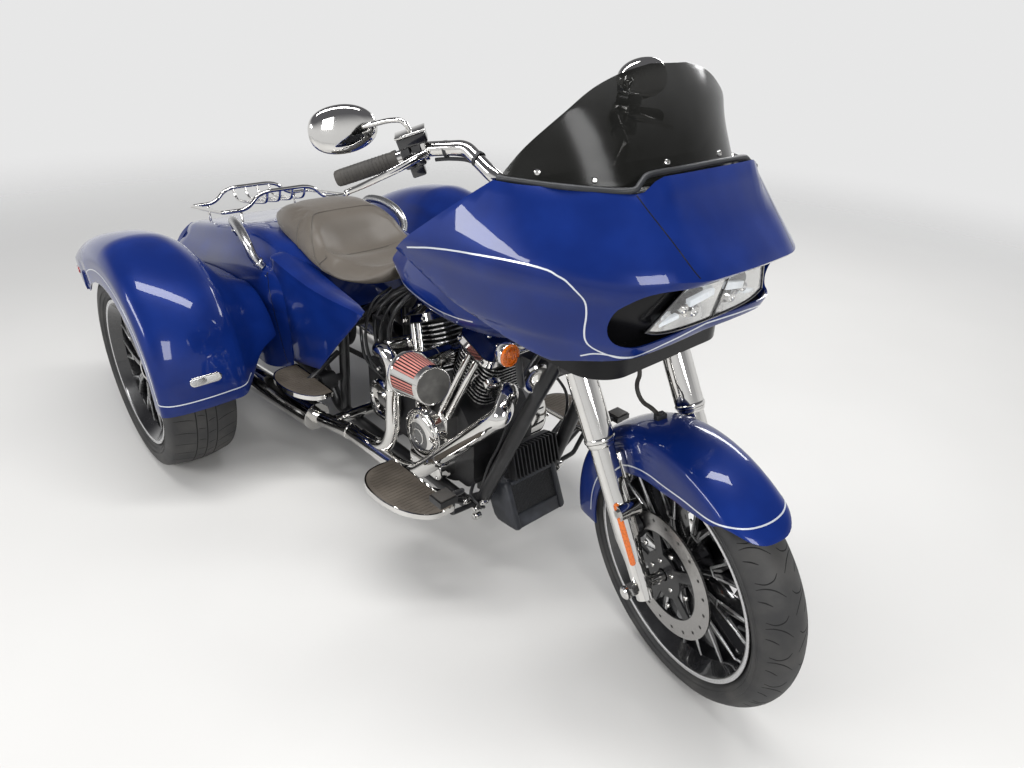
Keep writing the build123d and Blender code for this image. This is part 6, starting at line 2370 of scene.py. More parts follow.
# %% Turn signals
SIGNAL = Vector((1.278, 0.222, 0.750))
bowls = Shape()
ambers = Shape()
for side in SIDES:
    turn = facing(mirror_y(SIGNAL, side), (1, 0, 0))
    bowls.turned(((0.0, -0.0255), (0.010, -0.0250), (0.019, -0.0200), (0.0245, -0.0110), (0.0265, 0.000),
                  (0.0268, 0.006), (0.0262, 0.0070), (0.0256, 0.006)), turn, 48, closed=False)
    bowls.rod(mirror_y((1.296, 0.040, 0.750), side), mirror_y((1.268, 0.208, 0.750), side), 0.007)
    ambers.turned(((0.0257, 0.004), (0.0257, 0.0105), (0.0238, 0.0128), (0.0192, 0.0132), (0.0187, 0.0108),
                   (0.0150, 0.0116),
                   (0.0146, 0.0134), (0.0105, 0.0138), (0.0100, 0.0120), (0.0055, 0.0124), (0.0, 0.0138)),
                  turn, 48,
                  closed=False)
settle(bowls.build("signal_bowls", [CHROME], limit=50.0), "chassis", stands_for=["turn_signals"])
settle(ambers.build("signal_lenses", [AMBER], limit=25.0), "chassis")
print("turn signals: 2")

# %% [markdown]
# ## Fender lamps
# Each fender has a pale marker on its nose, a red lamp on its tail and a red reflector on its outer
# corner. They are straight pills, turned to face along the fender's own normal where they sit.

# %% Fender lamps


def pill(wide, high, count=12):
    """Outline of a pill: straight top and bottom, round ends."""
    points = []
    r = high / 2
    for start, middle in ((-pi / 2, wide / 2 - r), (pi / 2, -wide / 2 + r)):
        for i in range(count + 1):
            a = start + pi * i / count
            points.append((middle + r * cos(a), r * sin(a)))
    return points


frames = Shape()
pales = Shape()
greys = Shape()
reds = Shape()
for side in SIDES:
    skin = surface_of(FENDERS[side])
    spot, normal, _, _ = skin.find_nearest(Vector((0.362, side * 0.567, 0.424)))
    normal = normal if normal.x > 0 else -normal
    face = facing(spot, normal)
    sideways = face.to_3x3().inverted() @ Vector((0, 1, 0))
    face = face @ Matrix.Rotation(atan2(sideways.y, sideways.x), 4, "Z")
    frames.prism(pill(0.092, 0.028), -0.002, 0.0045, face)
    pales.prism(pill(0.084, 0.020), 0.002, 0.0068, face)
    outer = 1 if (face.to_3x3() @ Vector((1, 0, 0))).y * side > 0 else -1
    greys.prism([(x * outer + outer * 0.0205, y) for x, y in pill(0.043, 0.0202)], 0.002, 0.0074, face)
    tail = Matrix(((0, 0, -1, -0.500), (1, 0, 0, side * 0.556), (0, 1, 0, 0.574), (0, 0, 0, 1)))
    frames.prism(pill(0.122, 0.036), -0.002, 0.012, tail)
    reds.prism(pill(0.114, 0.029), 0.004, 0.0205, tail)
    corner, normal, _, _ = skin.find_nearest(Vector((-0.330, side * 0.690, 0.585)))
    normal = normal if normal.y * side > 0 else -normal
    marker = facing(corner, normal)
    along = marker.to_3x3().inverted() @ Vector((1, 0, 0.2))
    marker = marker @ Matrix.Rotation(atan2(along.y, along.x), 4, "Z")
    reds.prism(pill(0.075, 0.020), -0.001, 0.003, marker)
settle(frames.build("fender_lamp_frames", [CHROME], bevel=0.0016, segments=3), "chassis",
       stands_for=["fender_lamps"])
settle(pales.build("marker_lenses", [PALE], bevel=0.0018, segments=3), "chassis")
settle(greys.build("marker_reflectors", [CAST], bevel=0.0018, segments=3), "chassis")
settle(reds.build("tail_lenses", [RED], bevel=0.003, segments=3), "chassis")
print("fender lamps: markers and tail lamps")

# %% [markdown]
# ## Footboards
# A footboard is a D-shaped tray: straight beside the engine and curved outside, with a chromed
# band round its edge and a thick rubber mat with fine ribs. Arms carry it from the frame.

# %% Footboards
# The rider's board, then the passenger's. Columns: rear x, front x, inner y, outer y, top z, and
# both ends of each arm
BOARDS = (
    (0.870, 1.150, 0.262, 0.398, 0.290, (((1.000, 0.146, 0.176), (1.000, 0.290, 0.280)),
                                         ((1.064, 0.148, 0.196), (1.064, 0.290, 0.280)))),
    (0.270, 0.520, 0.242, 0.356, 0.340, (((0.376, 0.144, 0.392), (0.388, 0.262, 0.332)),)),
)
# Columns: share of the length, share of the width
BOARD_SHAPE = ((0.06, 0.0), (0.94, 0.0), (1.0, 0.12), (0.99, 0.40), (0.93, 0.62), (0.78, 0.84),
               (0.58, 0.97), (0.40, 1.0), (0.22, 0.96), (0.08, 0.80), (0.01, 0.55), (0.0, 0.12))
RIB_PITCH = 0.0115
# Columns: outwards in half thicknesses, height
BAND_SECTION = ((-1, -0.0065), (1, -0.0065), (1.2, 0.0), (1, 0.0075), (-1, 0.0075))


def board_outline(x0, x1, y0, y1, inset, side):
    """D-shaped outline: the outer edge swings from the rear corner to the narrower front."""
    points = []
    length, depth = x1 - x0, y1 - y0
    for p in curve_through([(u, v, 0) for u, v in BOARD_SHAPE], 4, closed=True):
        u = min(max(p.x, 0.0), 1.0)
        v = min(max(p.y, 0.0), 1.0)
        points.append((x0 + inset + (length - 2 * inset) * u,
                       side * (y0 + inset + (depth - 2 * inset) * v)))
    return points


def crossings(outline, x):
    """Where a line across the vehicle at x meets an outline, sorted."""
    found = []
    for (xa, ya), (xb, yb) in zip(outline, outline[1:] + outline[:1]):
        if xa != xb and (xa - x) * (xb - x) <= 0:
            found.append(ya + (yb - ya) * (x - xa) / (xb - xa))
    return sorted(found)


trays = Shape()
bands = Shape()
mats = Shape()
ribs = Shape()
for x0, x1, y0, y1, top, arms in BOARDS:
    for side in SIDES:
        trays.prism(board_outline(x0, x1, y0, y1, 0.003, side), top - 0.015, top - 0.006)
        mats.prism(board_outline(x0, x1, y0, y1, 0.005, side), top - 0.008, top - 0.0014)
        edge = [Vector((x, y, top - 0.009)) for x, y in board_outline(x0, x1, y0, y1, 0.0045, side)]
        rows = []
        count = len(edge)
        for i, p in enumerate(edge):
            run = (edge[(i + 1) % count] - edge[i - 1]).normalized()
            out = run.cross(Vector((0, 0, 1)))
            rows.append([p + out * k * 0.0032 + Vector((0, 0, h)) for k, h in BAND_SECTION])
        bands.grid(rows, around=True, along=True)
        for a, b in arms:
            trays.rod(mirror_y(a, side), mirror_y(b, side), 0.009)
        inner = board_outline(x0, x1, y0, y1, 0.016, side)
        low = min(x for x, _ in inner)
        high = max(x for x, _ in inner)
        for k in range(int((high - low) / RIB_PITCH)):
            x = low + 0.006 + RIB_PITCH * k
            cuts = crossings(inner, x)
            if len(cuts) >= 2:
                ribs.box((x - 0.0028, cuts[0], top - 0.0020), (x + 0.0028, cuts[-1], top - 0.0002))
settle(trays.build("board_trays", [FRAME_BLACK], bevel=0.0012), "chassis",
       stands_for=["footboards"])
settle(bands.build("board_bands", [CHROME], limit=40.0), "chassis")
settle(mats.build("board_mats", [BOARD_RUBBER], bevel=0.0012), "chassis")
settle(ribs.build("board_ribs", [BOARD_RUBBER], bevel=0.0005, segments=1), "chassis")
print("footboards: 4")

# %% [markdown]
# ## Engine dress
# The castings of the engine are the frame's own nodes with better finishes. What makes them read
# as an engine is on top of them: polished edges on every cooling fin, gaskets and screws, a domed
# cam cover, clamps on the exhaust, and hoses clipped behind the rear cylinder.

# %% Cylinder dress
CRANK = (0.880, 0.318)
LEAN = radians(22.5)
BARREL_START = 0.168
HEAD_END = 0.318
FIN_PITCH = 0.013
FIN_COUNT = 11


def cylinder_frame(lean, along, across=0.0, y=0.0):
    """Frame square to a cylinder's bore: local z up the bore, x across it, y to the left."""
    x = CRANK[0] + along * sin(lean) + across * cos(lean)
    z = CRANK[1] + along * cos(lean) - across * sin(lean)
    turn = Matrix(((cos(lean), 0, sin(lean)), (0, 1, 0), (-sin(lean), 0, cos(lean)))).to_4x4()
    return Matrix.Translation((x, y, z)) @ turn


def round_rectangle(wide, high, radius, count=6):
    points = []
    for cx, cy, start in ((1, 1, 0), (-1, 1, 90), (-1, -1, 180), (1, -1, 270)):
        for i in range(count + 1):
            a = radians(start + 90 * i / count)
            points.append((cx * (wide / 2 - radius) + radius * cos(a), cy * (high / 2 - radius) + radius
                           * sin(a)))
    return points


def band_round(shape, outline, thick, low, high, matrix=Matrix()):
    """Closed band that follows an outline from outside, between two heights."""
    count = len(outline)
    rows = []
    for i, (x, y) in enumerate(outline):
        (xa, ya), (xb, yb) = outline[i - 1], outline[(i + 1) % count]
        run = Vector((xb - xa, yb - ya, 0)).normalized()
        out = Vector((run.y, -run.x, 0))
        p = Vector((x, y, 0))
        rows.append([matrix @ (p + out * k * thick + Vector((0, 0, h)))
                     for k, h in ((0, low), (1, low), (1, high), (0, high))])
    shape.grid(rows, around=True, along=True)


edge_shape = Shape()
band_round(edge_shape, round_rectangle(0.1490, 0.1590, 0.0335), 0.0013, 0.0005, 0.0044)
edge_unit = edge_shape.build("fin_edge_unit", [MACHINED])
for label, lean in (("rear", -LEAN), ("front", LEAN)):
    edges = repeat(f"fin_edges_{label}", edge_unit, CAST, "row", count=FIN_COUNT, step=(0, 0, FIN_PITCH))
    edges.data.transform(cylinder_frame(lean, BARREL_START + 0.004))
    settle(edges, "chassis")
unit_gone(edge_unit)
gaskets = Shape()
head_screws = []
for lean in (-LEAN, LEAN):
    band_round(gaskets, round_rectangle(0.1435, 0.2115, 0.0295), 0.0012, 0.0, 0.0035,
               cylinder_frame(lean, HEAD_END))
    band_round(gaskets, round_rectangle(0.1365, 0.2035, 0.0290), 0.0010, 0.0, 0.0022,
               cylinder_frame(lean, HEAD_END + 0.024))
    for u, v in ((-0.036, -0.052), (0.036, -0.052), (-0.036, 0.052), (0.036, 0.052), (0.0, -0.052),
                 (0.0, 0.052)):
        spot = cylinder_frame(lean, HEAD_END + 0.0438, u, v)
        head_screws.append((spot.translation, spot.to_3x3() @ Vector((0, 0, 1)), 0.0058))
    for u in (-0.050, 0.050):
        for side in SIDES:
            spot = cylinder_frame(lean, HEAD_END + 0.012, u, side * 0.1058)
            head_screws.append((spot.translation, (0, side, 0), 0.0052))
settle(gaskets.build("rocker_gaskets", [ENGINE_BLACK]), "chassis")
bolts("rocker_screws", head_screws, "chassis")
print("cylinders:", 2 * FIN_COUNT, "fin edges,", len(head_screws), "screws")

# %% [markdown]
# ## Covers on the cases
# A polished dome with a black disc sits on the cam cover, and round covers on the gear case and the
# primary case. All are turned profiles. Their screws are one unit that the spots tree puts at
# places worked out round each cover.

# %% Covers on the cases
CAM = Matrix.Translation((0.860, -0.1638, CRANK[1])) @ Matrix.Rotation(pi / 2, 4, "X")
dome = Shape()
dome.turned(((0.0690, -0.002), (0.0690, 0.0025), (0.0640, 0.0068), (0.0540, 0.0096), (0.0440, 0.0104),
             (0.0425, 0.0085)),
            CAM, 64)
dome.turned(((0.0250, 0.0085), (0.0245, 0.0108), (0.0215, 0.0112), (0.0210, 0.0090)), CAM, 48)
settle(dome.build("cam_dome", [CHROME], limit=35.0), "chassis")
middle = Shape()
middle.turned(((0.0430, 0.0070), (0.0430, 0.0088), (0.0, 0.0092)), CAM, 48)
settle(middle.build("cam_badge", [GLOSS]), "chassis")


def screw_circle(x, y, radius, count, size, start=0.0):
    """Screws evenly round a cover on the right, level with the crank."""
    angles = [2 * pi * i / count + start for i in range(count)]
    return [((x + radius * cos(a), y, CRANK[1] + radius * sin(a)), (0, -1, 0), size) for a in angles]


case_screws = screw_circle(0.860, -0.1632, 0.0735, 5, 0.0048, 0.3)
case_screws += [((x, -0.1632, 0.210), (0, -1, 0), 0.0046) for x in (0.808, 0.932)]
case_screws += [((x, -0.1422, 0.394), (0, -1, 0), 0.0042) for x in (0.816, 0.944, 0.880)]
case_screws += screw_circle(0.620, -0.1410, 0.060, 6, 0.0048)
for i in range(12):
    a = 2 * pi * i / 12
    x = 0.770 + (0.0324 if cos(a) > 0 else -0.0324) + 0.2009 * cos(a)
    case_screws.append(((x, 0.1990, CRANK[1] + 0.078 * sin(a)), (0, 1, 0), 0.0046))
bolts("case_screws", case_screws, "chassis")
gear_dome = Shape()
gear_dome.turned(((0.069, -0.014), (0.069, 0.002), (0.063, 0.008), (0.052, 0.011), (0.050, 0.007),
                  (0.030, 0.007), (0.028, 0.012), (0.0, 0.013)),
                 Matrix.Translation((0.620, -0.1338, CRANK[1])) @ Matrix.Rotation(pi / 2, 4, "X"), 56)
gear_dome.turned(((0.046, 0.0), (0.046, 0.003), (0.040, 0.006), (0.0, 0.007)),
                 Matrix.Translation((0.640, 0.1998, CRANK[1])) @ Matrix.Rotation(-pi / 2, 4, "X"), 56)
settle(gear_dome.build("gear_covers", [CHROME], limit=35.0), "chassis")
print("cases: cam dome, gear covers,", len(case_screws), "screws")

# %% [markdown]
# ## Air filter
# An open cone filter: pleated red gauze inside a chromed cage, with a flat grey cap towards the
# front. The sunken folds of the pleats are near-black, painted shade in the creases. A chromed elbow
# joins it to the manifold between the cylinders.

# %% Air filter
FILTER_AIM = Vector((0.97, -0.10, 0.14)).normalized()
FILTER_BASE = Vector((0.910, -0.232, 0.560))
FILTER_TURN = facing(FILTER_BASE, FILTER_AIM)
FILTER_TAPER = tan(radians(5))
PLEATS = 40
PLEAT_DEPTH = 0.0085


def cone(h, extra=0.0):
    """Radius of the filter at a height above its base."""
    return 0.0575 - h * FILTER_TAPER + extra


def filter_point(angle, h, extra=0.0):
    """Point on the filter's cone; the angle starts at the top and grows outwards, to the rider's right."""
    r = cone(h, extra)
    return FILTER_TURN @ Vector((r * cos(angle + FILTER_TOP), r * sin(angle + FILTER_TOP), h))


top_way = FILTER_TURN.to_3x3().inverted() @ Vector((0, 0, 1))
FILTER_TOP = atan2(top_way.y, top_way.x)
out_way = FILTER_TURN.to_3x3().inverted() @ Vector((0, -1, 0))
FILTER_SENSE = 1 if sin(atan2(out_way.y, out_way.x) - FILTER_TOP) > 0 else -1
gauze = Shape()
heights = (0.010, 0.048, 0.086, 0.120)
for i in range(PLEATS):
    start = 2 * pi * i / PLEATS
    pitch = 2 * pi / PLEATS
    gauze.grid([[filter_point(start + k * pitch, h) for h in heights] for k in (0.0, 0.3, 0.6)])
    # The sunken fold of each pleat takes the second finish: near-black painted shade in the crease.
    fold = ((0.6, 0.0), (0.66, -PLEAT_DEPTH), (0.94, -PLEAT_DEPTH), (1.0, 0.0))
    gauze.grid([[filter_point(start + k * pitch, h, dip) for h in heights] for k, dip in fold], 1)
settle(gauze.build("filter_pleats", [FILTER, MESH_PAINTED_SHADE], limit=20.0), "chassis",
       stands_for=["air_intake"])
print("air filter:", PLEATS, "pleats")

# %% Filter cage, cap and elbow
cage = Shape()
cage.turned(((0.034, -0.006), (0.055, -0.005), (0.0600, 0.000), (0.0605, 0.012), (0.0590, 0.0145),
             (0.0555, 0.0145), (0.0555, 0.008)), FILTER_TURN, 72)
cage.turned(((cone(0.114, 0.0010), 0.114), (cone(0.114, 0.0030), 0.1142), (cone(0.130, 0.0030), 0.1300),
             (cone(0.130, 0.0), 0.1312), (cone(0.130, -0.004), 0.1300)), FILTER_TURN, 72)
# Columns: start and end in degrees from the top, outwards
CAGE_BARS = ((-92, -72), (60, 76), (112, 158), (196, 214), (236, 252))
for start, end in CAGE_BARS:
    turns = [radians(start + (end - start) * k / 6) * FILTER_SENSE for k in range(7)]
    cage.grid([[filter_point(turn, h, 0.0022) for turn in turns] for h in (0.010, 0.045, 0.080, 0.117)])
settle(cage.build("filter_cage", [CHROME], limit=40.0), "chassis")
lid = Shape()
lid.turned(((0.0, 0.1318), (0.0430, 0.1318), (0.0462, 0.1306), (0.0468, 0.1280)), FILTER_TURN, 72)
settle(lid.build("filter_cap", [CAP_GREY], limit=40.0), "chassis")
elbow = Shape()
sweep(elbow, curve_through(((0.880, -0.080, 0.560), (0.880, -0.130, 0.560), (0.881, -0.175, 0.560),
                            (0.888, -0.212, 0.560), (0.910, -0.232, 0.560)), 6), 0.0298, 32)
sweep(elbow, [(0.880, -0.020, 0.560), (0.880, -0.060, 0.560), (0.880, -0.090, 0.560)], 0.017, 20)
settle(elbow.build("intake_elbow", [CHROME], limit=50.0), "chassis")
straps = Shape()
for spot, run, radius in (((0.880, -0.120, 0.560), (0, -1, 0), 0.0300),
                          ((0.887, -0.208, 0.560), (0.2, -1, 0), 0.0302)):
    straps.turned(((radius, -0.005), (radius + 0.0016, -0.005), (radius + 0.0016, 0.005), (radius, 0.005)),
                  facing(spot, run), 48, closed=True)
settle(straps.build("intake_straps", [CHROME]), "chassis")
print("filter cage:", len(CAGE_BARS), "bars; cap, elbow and straps")

# %% [markdown]
# ## Exhaust
# Two header pipes leave the heads, sweep down and run back beside the cases. The frame's solids turn
# in plain arcs, so smoother sweeps stand for them here, while the silencers keep their solids. Clamps
# and end rings are turned rings, placed along the pipes.

# %% Header pipes


def straight(start, end, count):
    """Evenly spaced points on a straight run, so that a smooth line through them stays straight."""
    a, b = Vector(start), Vector(end)
    return [tuple(a.lerp(b, i / count)) for i in range(count + 1)]


FRONT_PORT = cylinder_frame(LEAN, 0.262, 0.0755, -0.062).translation
REAR_PORT = cylinder_frame(-LEAN, 0.262, -0.0755, -0.062).translation
FRONT_PIPE = [tuple(FRONT_PORT - Vector((0.010, 0, -0.004))),
              tuple(FRONT_PORT + Vector((0.022, -0.008, -0.008))),
              (1.188, -0.134, 0.590), (1.226, -0.176, 0.585), (1.236, -0.198, 0.566),
              *straight((1.216, -0.2040, 0.546), (0.960, -0.2095, 0.290), 6),
              (0.905, -0.2115, 0.243), (0.835, -0.2130, 0.214), (0.765, -0.2138, 0.206),
              *straight((0.700, -0.2140, 0.2045), (0.556, -0.2140, 0.200), 2)]
REAR_PIPE = [tuple(REAR_PORT + Vector((0.010, 0, 0.004))), tuple(REAR_PORT
                                                                 + Vector((-0.020, -0.001, -0.009))),
             (0.674, -0.084, 0.5160), (0.671, -0.128, 0.5190), (0.684, -0.172, 0.5280),
             (0.716, -0.193, 0.5400),
             (0.748, -0.1960, 0.5460), (0.7720, -0.1960, 0.5280), (0.7795, -0.1960, 0.4960),
             *straight((0.7790, -0.1960, 0.4600), (0.7710, -0.1975, 0.3600), 2),
             (0.768, -0.199, 0.306), (0.752, -0.201, 0.262), (0.722, -0.204, 0.232), (0.682, -0.206, 0.216),
             (0.640, -0.2085, 0.2105), (0.606, -0.210, 0.209)]
pipes = Shape()
sweep(pipes, curve_through(FRONT_PIPE, 5), 0.0240, 36)
sweep(pipes, curve_through(REAR_PIPE, 5), 0.0220, 36)
settle(pipes.build("header_pipes", [CHROME], limit=60.0), "chassis",
       stands_for=["exhaust_headers"])
print("header pipes through", len(FRONT_PIPE), "and", len(REAR_PIPE), "points")

# %% Exhaust rings and mouths
rings = Shape()


def ring_at(spot, run, inner, outer, half):
    """Clamp round a pipe, with its outer corners cut off."""
    rings.turned(((inner, -half), (outer - 0.001, -half), (outer, -half + 0.001), (outer, half - 0.001),
                  (outer - 0.001, half), (inner, half)), facing(spot, run), 48, closed=True)


for side in SIDES:
    ring_at((0.540, side * 0.2158, 0.1990), (-200, side * 22, -17), 0.0236, 0.0268, 0.009)
    ring_at((0.360, side * 0.2365, 0.1768), (-696, side * 64, -6), 0.0440, 0.0474, 0.006)
    ring_at((-0.322, side * 0.2993, 0.1711), (-696, side * 64, -6), 0.0440, 0.0470, 0.005)
    ring_at((-0.557, side * 0.3217, 0.1710), (-230, side * 22, 0), 0.0300, 0.0372, 0.003)
ring_at((1.012, -0.2079, 0.3400), (-222, -4, -222), 0.0236, 0.0266, 0.008)
ring_at((0.776, -0.1961, 0.440), (0, 0, 1), 0.0216, 0.0244, 0.008)
ring_at((1.006, -0.066, 0.524), (0.9, -0.3, -0.3), 0.0238, 0.0300, 0.004)
settle(rings.build("exhaust_rings", [CHROME], limit=40.0), "chassis")
mouths = Shape()
for side in SIDES:
    mouths.turned(((0.0335, -0.0030), (0.0325, 0.0016), (0.0310, 0.0010), (0.0, 0.0006)),
                  facing((-0.5605, side * 0.3222, 0.171), (-230, side * 22, 0)), 40)
settle(mouths.build("exhaust_mouths", [ENGINE_BLACK]), "chassis")
print("exhaust: 11 rings, 2 mouths")

# %% [markdown]
# ## Hoses and small fittings
# Thin hoses run behind the cylinders and round the steering head. Each is a short clipped run and
# not a free cord, so it is a fixed tube through measured spots, drawn for the right and mirrored.

# %% Chin hardware, neck lines and horns
# Columns: place of the head on the right, radius
HARDWARE = (((1.098, -0.158, 0.196), 0.0085), ((1.072, -0.172, 0.214), 0.0070),
            ((1.118, -0.150, 0.226), 0.0065),
            ((1.086, -0.148, 0.160), 0.0095), ((1.058, -0.150, 0.186), 0.0060))
hex_heads = Shape()
for (x, y, z), radius in HARDWARE:
    for side in SIDES:
        hex_heads.rod((x, side * (abs(y) - 0.016), z), (x, side * abs(y), z), radius * 1.25, sides=24)
        hex_heads.rod((x, side * abs(y), z), (x, side * (abs(y) + 0.006), z), radius, sides=6)
settle(hex_heads.build("chin_hardware", [CHROME], bevel=0.0006), "chassis")
NECK_LINES = (
    (0.0085, ((1.286, -0.198, 0.742), (1.292, -0.196, 0.700), (1.286, -0.184, 0.668),
              (1.262, -0.160, 0.656), (1.240, -0.120, 0.664), (1.226, -0.070, 0.690))),
    (0.0042, ((1.130, -0.070, 0.560), (1.160, -0.100, 0.500), (1.150, -0.120, 0.420),
              (1.120, -0.130, 0.340), (1.100, -0.140, 0.250), (1.086, -0.146, 0.200))),
    (0.0034, ((1.200, -0.050, 0.650), (1.215, -0.085, 0.580), (1.190, -0.100, 0.480),
              (1.160, -0.098, 0.400), (1.130, -0.110, 0.330), (1.105, -0.130, 0.290))),
    (0.0050, ((1.060, -0.132, 0.250), (1.084, -0.160, 0.236), (1.110, -0.150, 0.212),
              (1.100, -0.128, 0.190))),
)
neck_tubes = Shape()
for radius, points in NECK_LINES:
    for side in SIDES:
        sweep(neck_tubes, curve_through(on_side(points, -side), 6), radius, 12)
neck_tubes.box((1.168, -0.085, 0.610), (1.236, 0.085, 0.668))
neck_tubes.box((0.586, -0.136, 0.520), (0.636, -0.112, 0.590))
neck_tubes.box((0.655, -0.142, 0.470), (0.690, -0.118, 0.520))
settle(neck_tubes.build("neck_lines", [FRAME_BLACK], bevel=0.0015, limit=50.0), "chassis")
horn = Shape()
for side in SIDES:
    turn = facing((1.252, side * 0.098, 0.640), (0.9, side * 0.45, -0.1))
    horn.turned(((0.0, -0.030), (0.024, -0.028), (0.030, -0.006), (0.040, 0.0), (0.041, 0.005),
                 (0.036, 0.008), (0.030, 0.004), (0.012, 0.003),
                 (0.0, 0.006)), turn, 40)
settle(horn.build("horns", [CHROME], limit=40.0), "chassis")
print("behind the cooler:", 2 * len(HARDWARE), "fixings,", 2 * len(NECK_LINES), "lines, 2 horns")

# %% Engine hoses
# Columns: radius, points on the right
HOSES = (
    (0.0058, ((0.640, -0.030, 0.664), (0.616, -0.090, 0.640), (0.600, -0.128, 0.590),
              (0.606, -0.140, 0.520), (0.636, -0.138, 0.455), (0.662, -0.100, 0.414))),
    (0.0042, ((0.560, -0.050, 0.648), (0.552, -0.110, 0.612), (0.556, -0.142, 0.540),
              (0.580, -0.150, 0.460), (0.606, -0.126, 0.404))),
    (0.0070, ((0.712, -0.030, 0.692), (0.700, -0.092, 0.664), (0.680, -0.128, 0.606),
              (0.676, -0.138, 0.540), (0.700, -0.132, 0.470), (0.722, -0.090, 0.418))),
    (0.0034, ((0.585, -0.060, 0.652), (0.572, -0.124, 0.600), (0.566, -0.152, 0.520),
              (0.600, -0.156, 0.440), (0.650, -0.140, 0.400), (0.660, -0.112, 0.380))),
    (0.0034, ((0.690, -0.060, 0.684), (0.664, -0.118, 0.640), (0.640, -0.146, 0.560),
              (0.660, -0.150, 0.480), (0.690, -0.140, 0.440), (0.700, -0.112, 0.400))),
    (0.0050, ((0.470, -0.110, 0.500), (0.510, -0.132, 0.470), (0.530, -0.136, 0.430),
              (0.560, -0.124, 0.396), (0.576, -0.100, 0.378))),
)
hoses = Shape()
ends = Shape()
for radius, points in HOSES:
    for side in SIDES:
        line = curve_through(on_side(points, -side), 6)
        sweep(hoses, line, radius, 10)
        ends.turned(((radius, 0.0), (radius + 0.0022, 0.001), (radius + 0.0022, 0.009), (radius, 0.010)),
                    facing(line[-3], line[-1] - line[-3]), 20)
settle(hoses.build("engine_hoses", [FRAME_BLACK], limit=50.0), "chassis")
settle(ends.build("hose_fittings", [CHROME], limit=40.0), "chassis")
print("hoses behind the cylinders:", 2 * len(HOSES))

# %% [markdown]
# ## Chin shroud
# Two moulded wings flank the oil cooler ahead of the engine. Each wing is one outline repeated in
# layers that shrink towards its outer face, which rounds it as a mould would. The cooler's slats and
# tubes are rows of one thin box.

# %% Chin shroud
WING = ((1.082, 0.274), (1.112, 0.277), (1.140, 0.274), (1.150, 0.262), (1.199, 0.152), (1.196, 0.146),
        (1.160, 0.1415),
        (1.120, 0.1390), (1.104, 0.149), (1.083, 0.186), (1.081, 0.196))
# Columns: distance from the middle, how far the edge is drawn in
WING_LAYERS = ((0.0745, 0.0), (0.0840, 0.0), (0.0905, 0.0022), (0.0945, 0.0065), (0.0960, 0.0125))
wings = Shape()
for side in SIDES:
    layers = []
    for y, shrink in WING_LAYERS:
        along, up = 1 - shrink / 0.06, 1 - shrink / 0.066
        layers.append([(1.140 + (x - 1.140) * along, side * y, 0.208 + (z - 0.208) * up) for x, z in WING])
    wings.grid(layers, around=True)
    wings.cap(layers[0])
    wings.cap(layers[-1])
wings.prism(((1.084, 0.184), (1.110, 0.141), (1.118, 0.1385), (1.196, 0.1475), (1.182, 0.184)), -0.0745,
            0.0745, SIDE_ON)
wings.prism(((1.096, 0.264), (1.152, 0.264), (1.148, 0.275), (1.096, 0.275)), -0.0745, 0.0745, SIDE_ON)
wings.box((1.084, -0.120, 0.214), (1.104, 0.120, 0.238))
settle(wings.build("chin_wings", [SHROUD_GREY], bevel=0.0035, segments=3, limit=40.0), "chassis",
       stands_for=["chin_shroud"])
print("chin shroud: two wings and their bridges")

# %% Oil cooler
fall = Vector((1.178, 0, 0.184)) - Vector((1.1435, 0, 0.265))
cooler_face = place(1.1435, 0, 0.265, ahead=fall, up=(0.93, 0, 0.37))
# The core is one flat box; the near-black middles of its cells are painted shade in its openings.
core = Shape()
core.box((0.0, -0.0738, -0.020), (fall.length, 0.0738, -0.005), cooler_face)
settle(core.build("cooler_core", [MESH_PAINTED_SHADE]), "chassis")


def cooler_row(name, low, high, count, step, start):
    """Boxes repeated in a row over the cooler's face."""
    shape = Shape()
    shape.box(low, high)
    unit = shape.build("cooler_unit", [MESH_PAINTED_SHADE])
    row = repeat(name, unit, MESH_PAINTED_SHADE, "row", count=count, step=step)
    unit_gone(unit)
    row.data.transform(cooler_face @ Matrix.Translation(start))
    return settle(row, "chassis")


cooler_row("cooler_slats", (-0.00035, -0.0736, -0.006), (0.00035, 0.0736, -0.0006), 42, (0.0020, 0, 0),
           (0.002, 0, 0))
cooler_row("cooler_tubes", (0.0, -0.0007, -0.0055), (fall.length, 0.0007, -0.0002), 30, (0, 0.0050, 0),
           (0, -0.0725, 0))
print("oil cooler: core, 42 slats and 30 tubes")

# %% [markdown]
# ## Front end details
# Chromed collars sit where the covers end on the fork sliders, an amber reflector is fixed to each
# slider, and caps close the legs above the yoke. The brake hose hangs from the lower yoke and comes
# up to its block on the fender. It is a real cord: its points follow the route of its solid, moved
# a little to ease the bend.

# %% Fork legs


def leg_frame(along, side):
    """Frame on a fork leg: local z up the leg, x forwards across it."""
    spot = FRONT_AXLE + Vector((-along * sin(FORK_ANGLE), side * 0.122, along * cos(FORK_ANGLE)))
    turn = Matrix(((cos(FORK_ANGLE), 0, -sin(FORK_ANGLE)), (0, 1, 0),
                   (sin(FORK_ANGLE), 0, cos(FORK_ANGLE)))).to_4x4()
    return Matrix.Translation(spot) @ turn


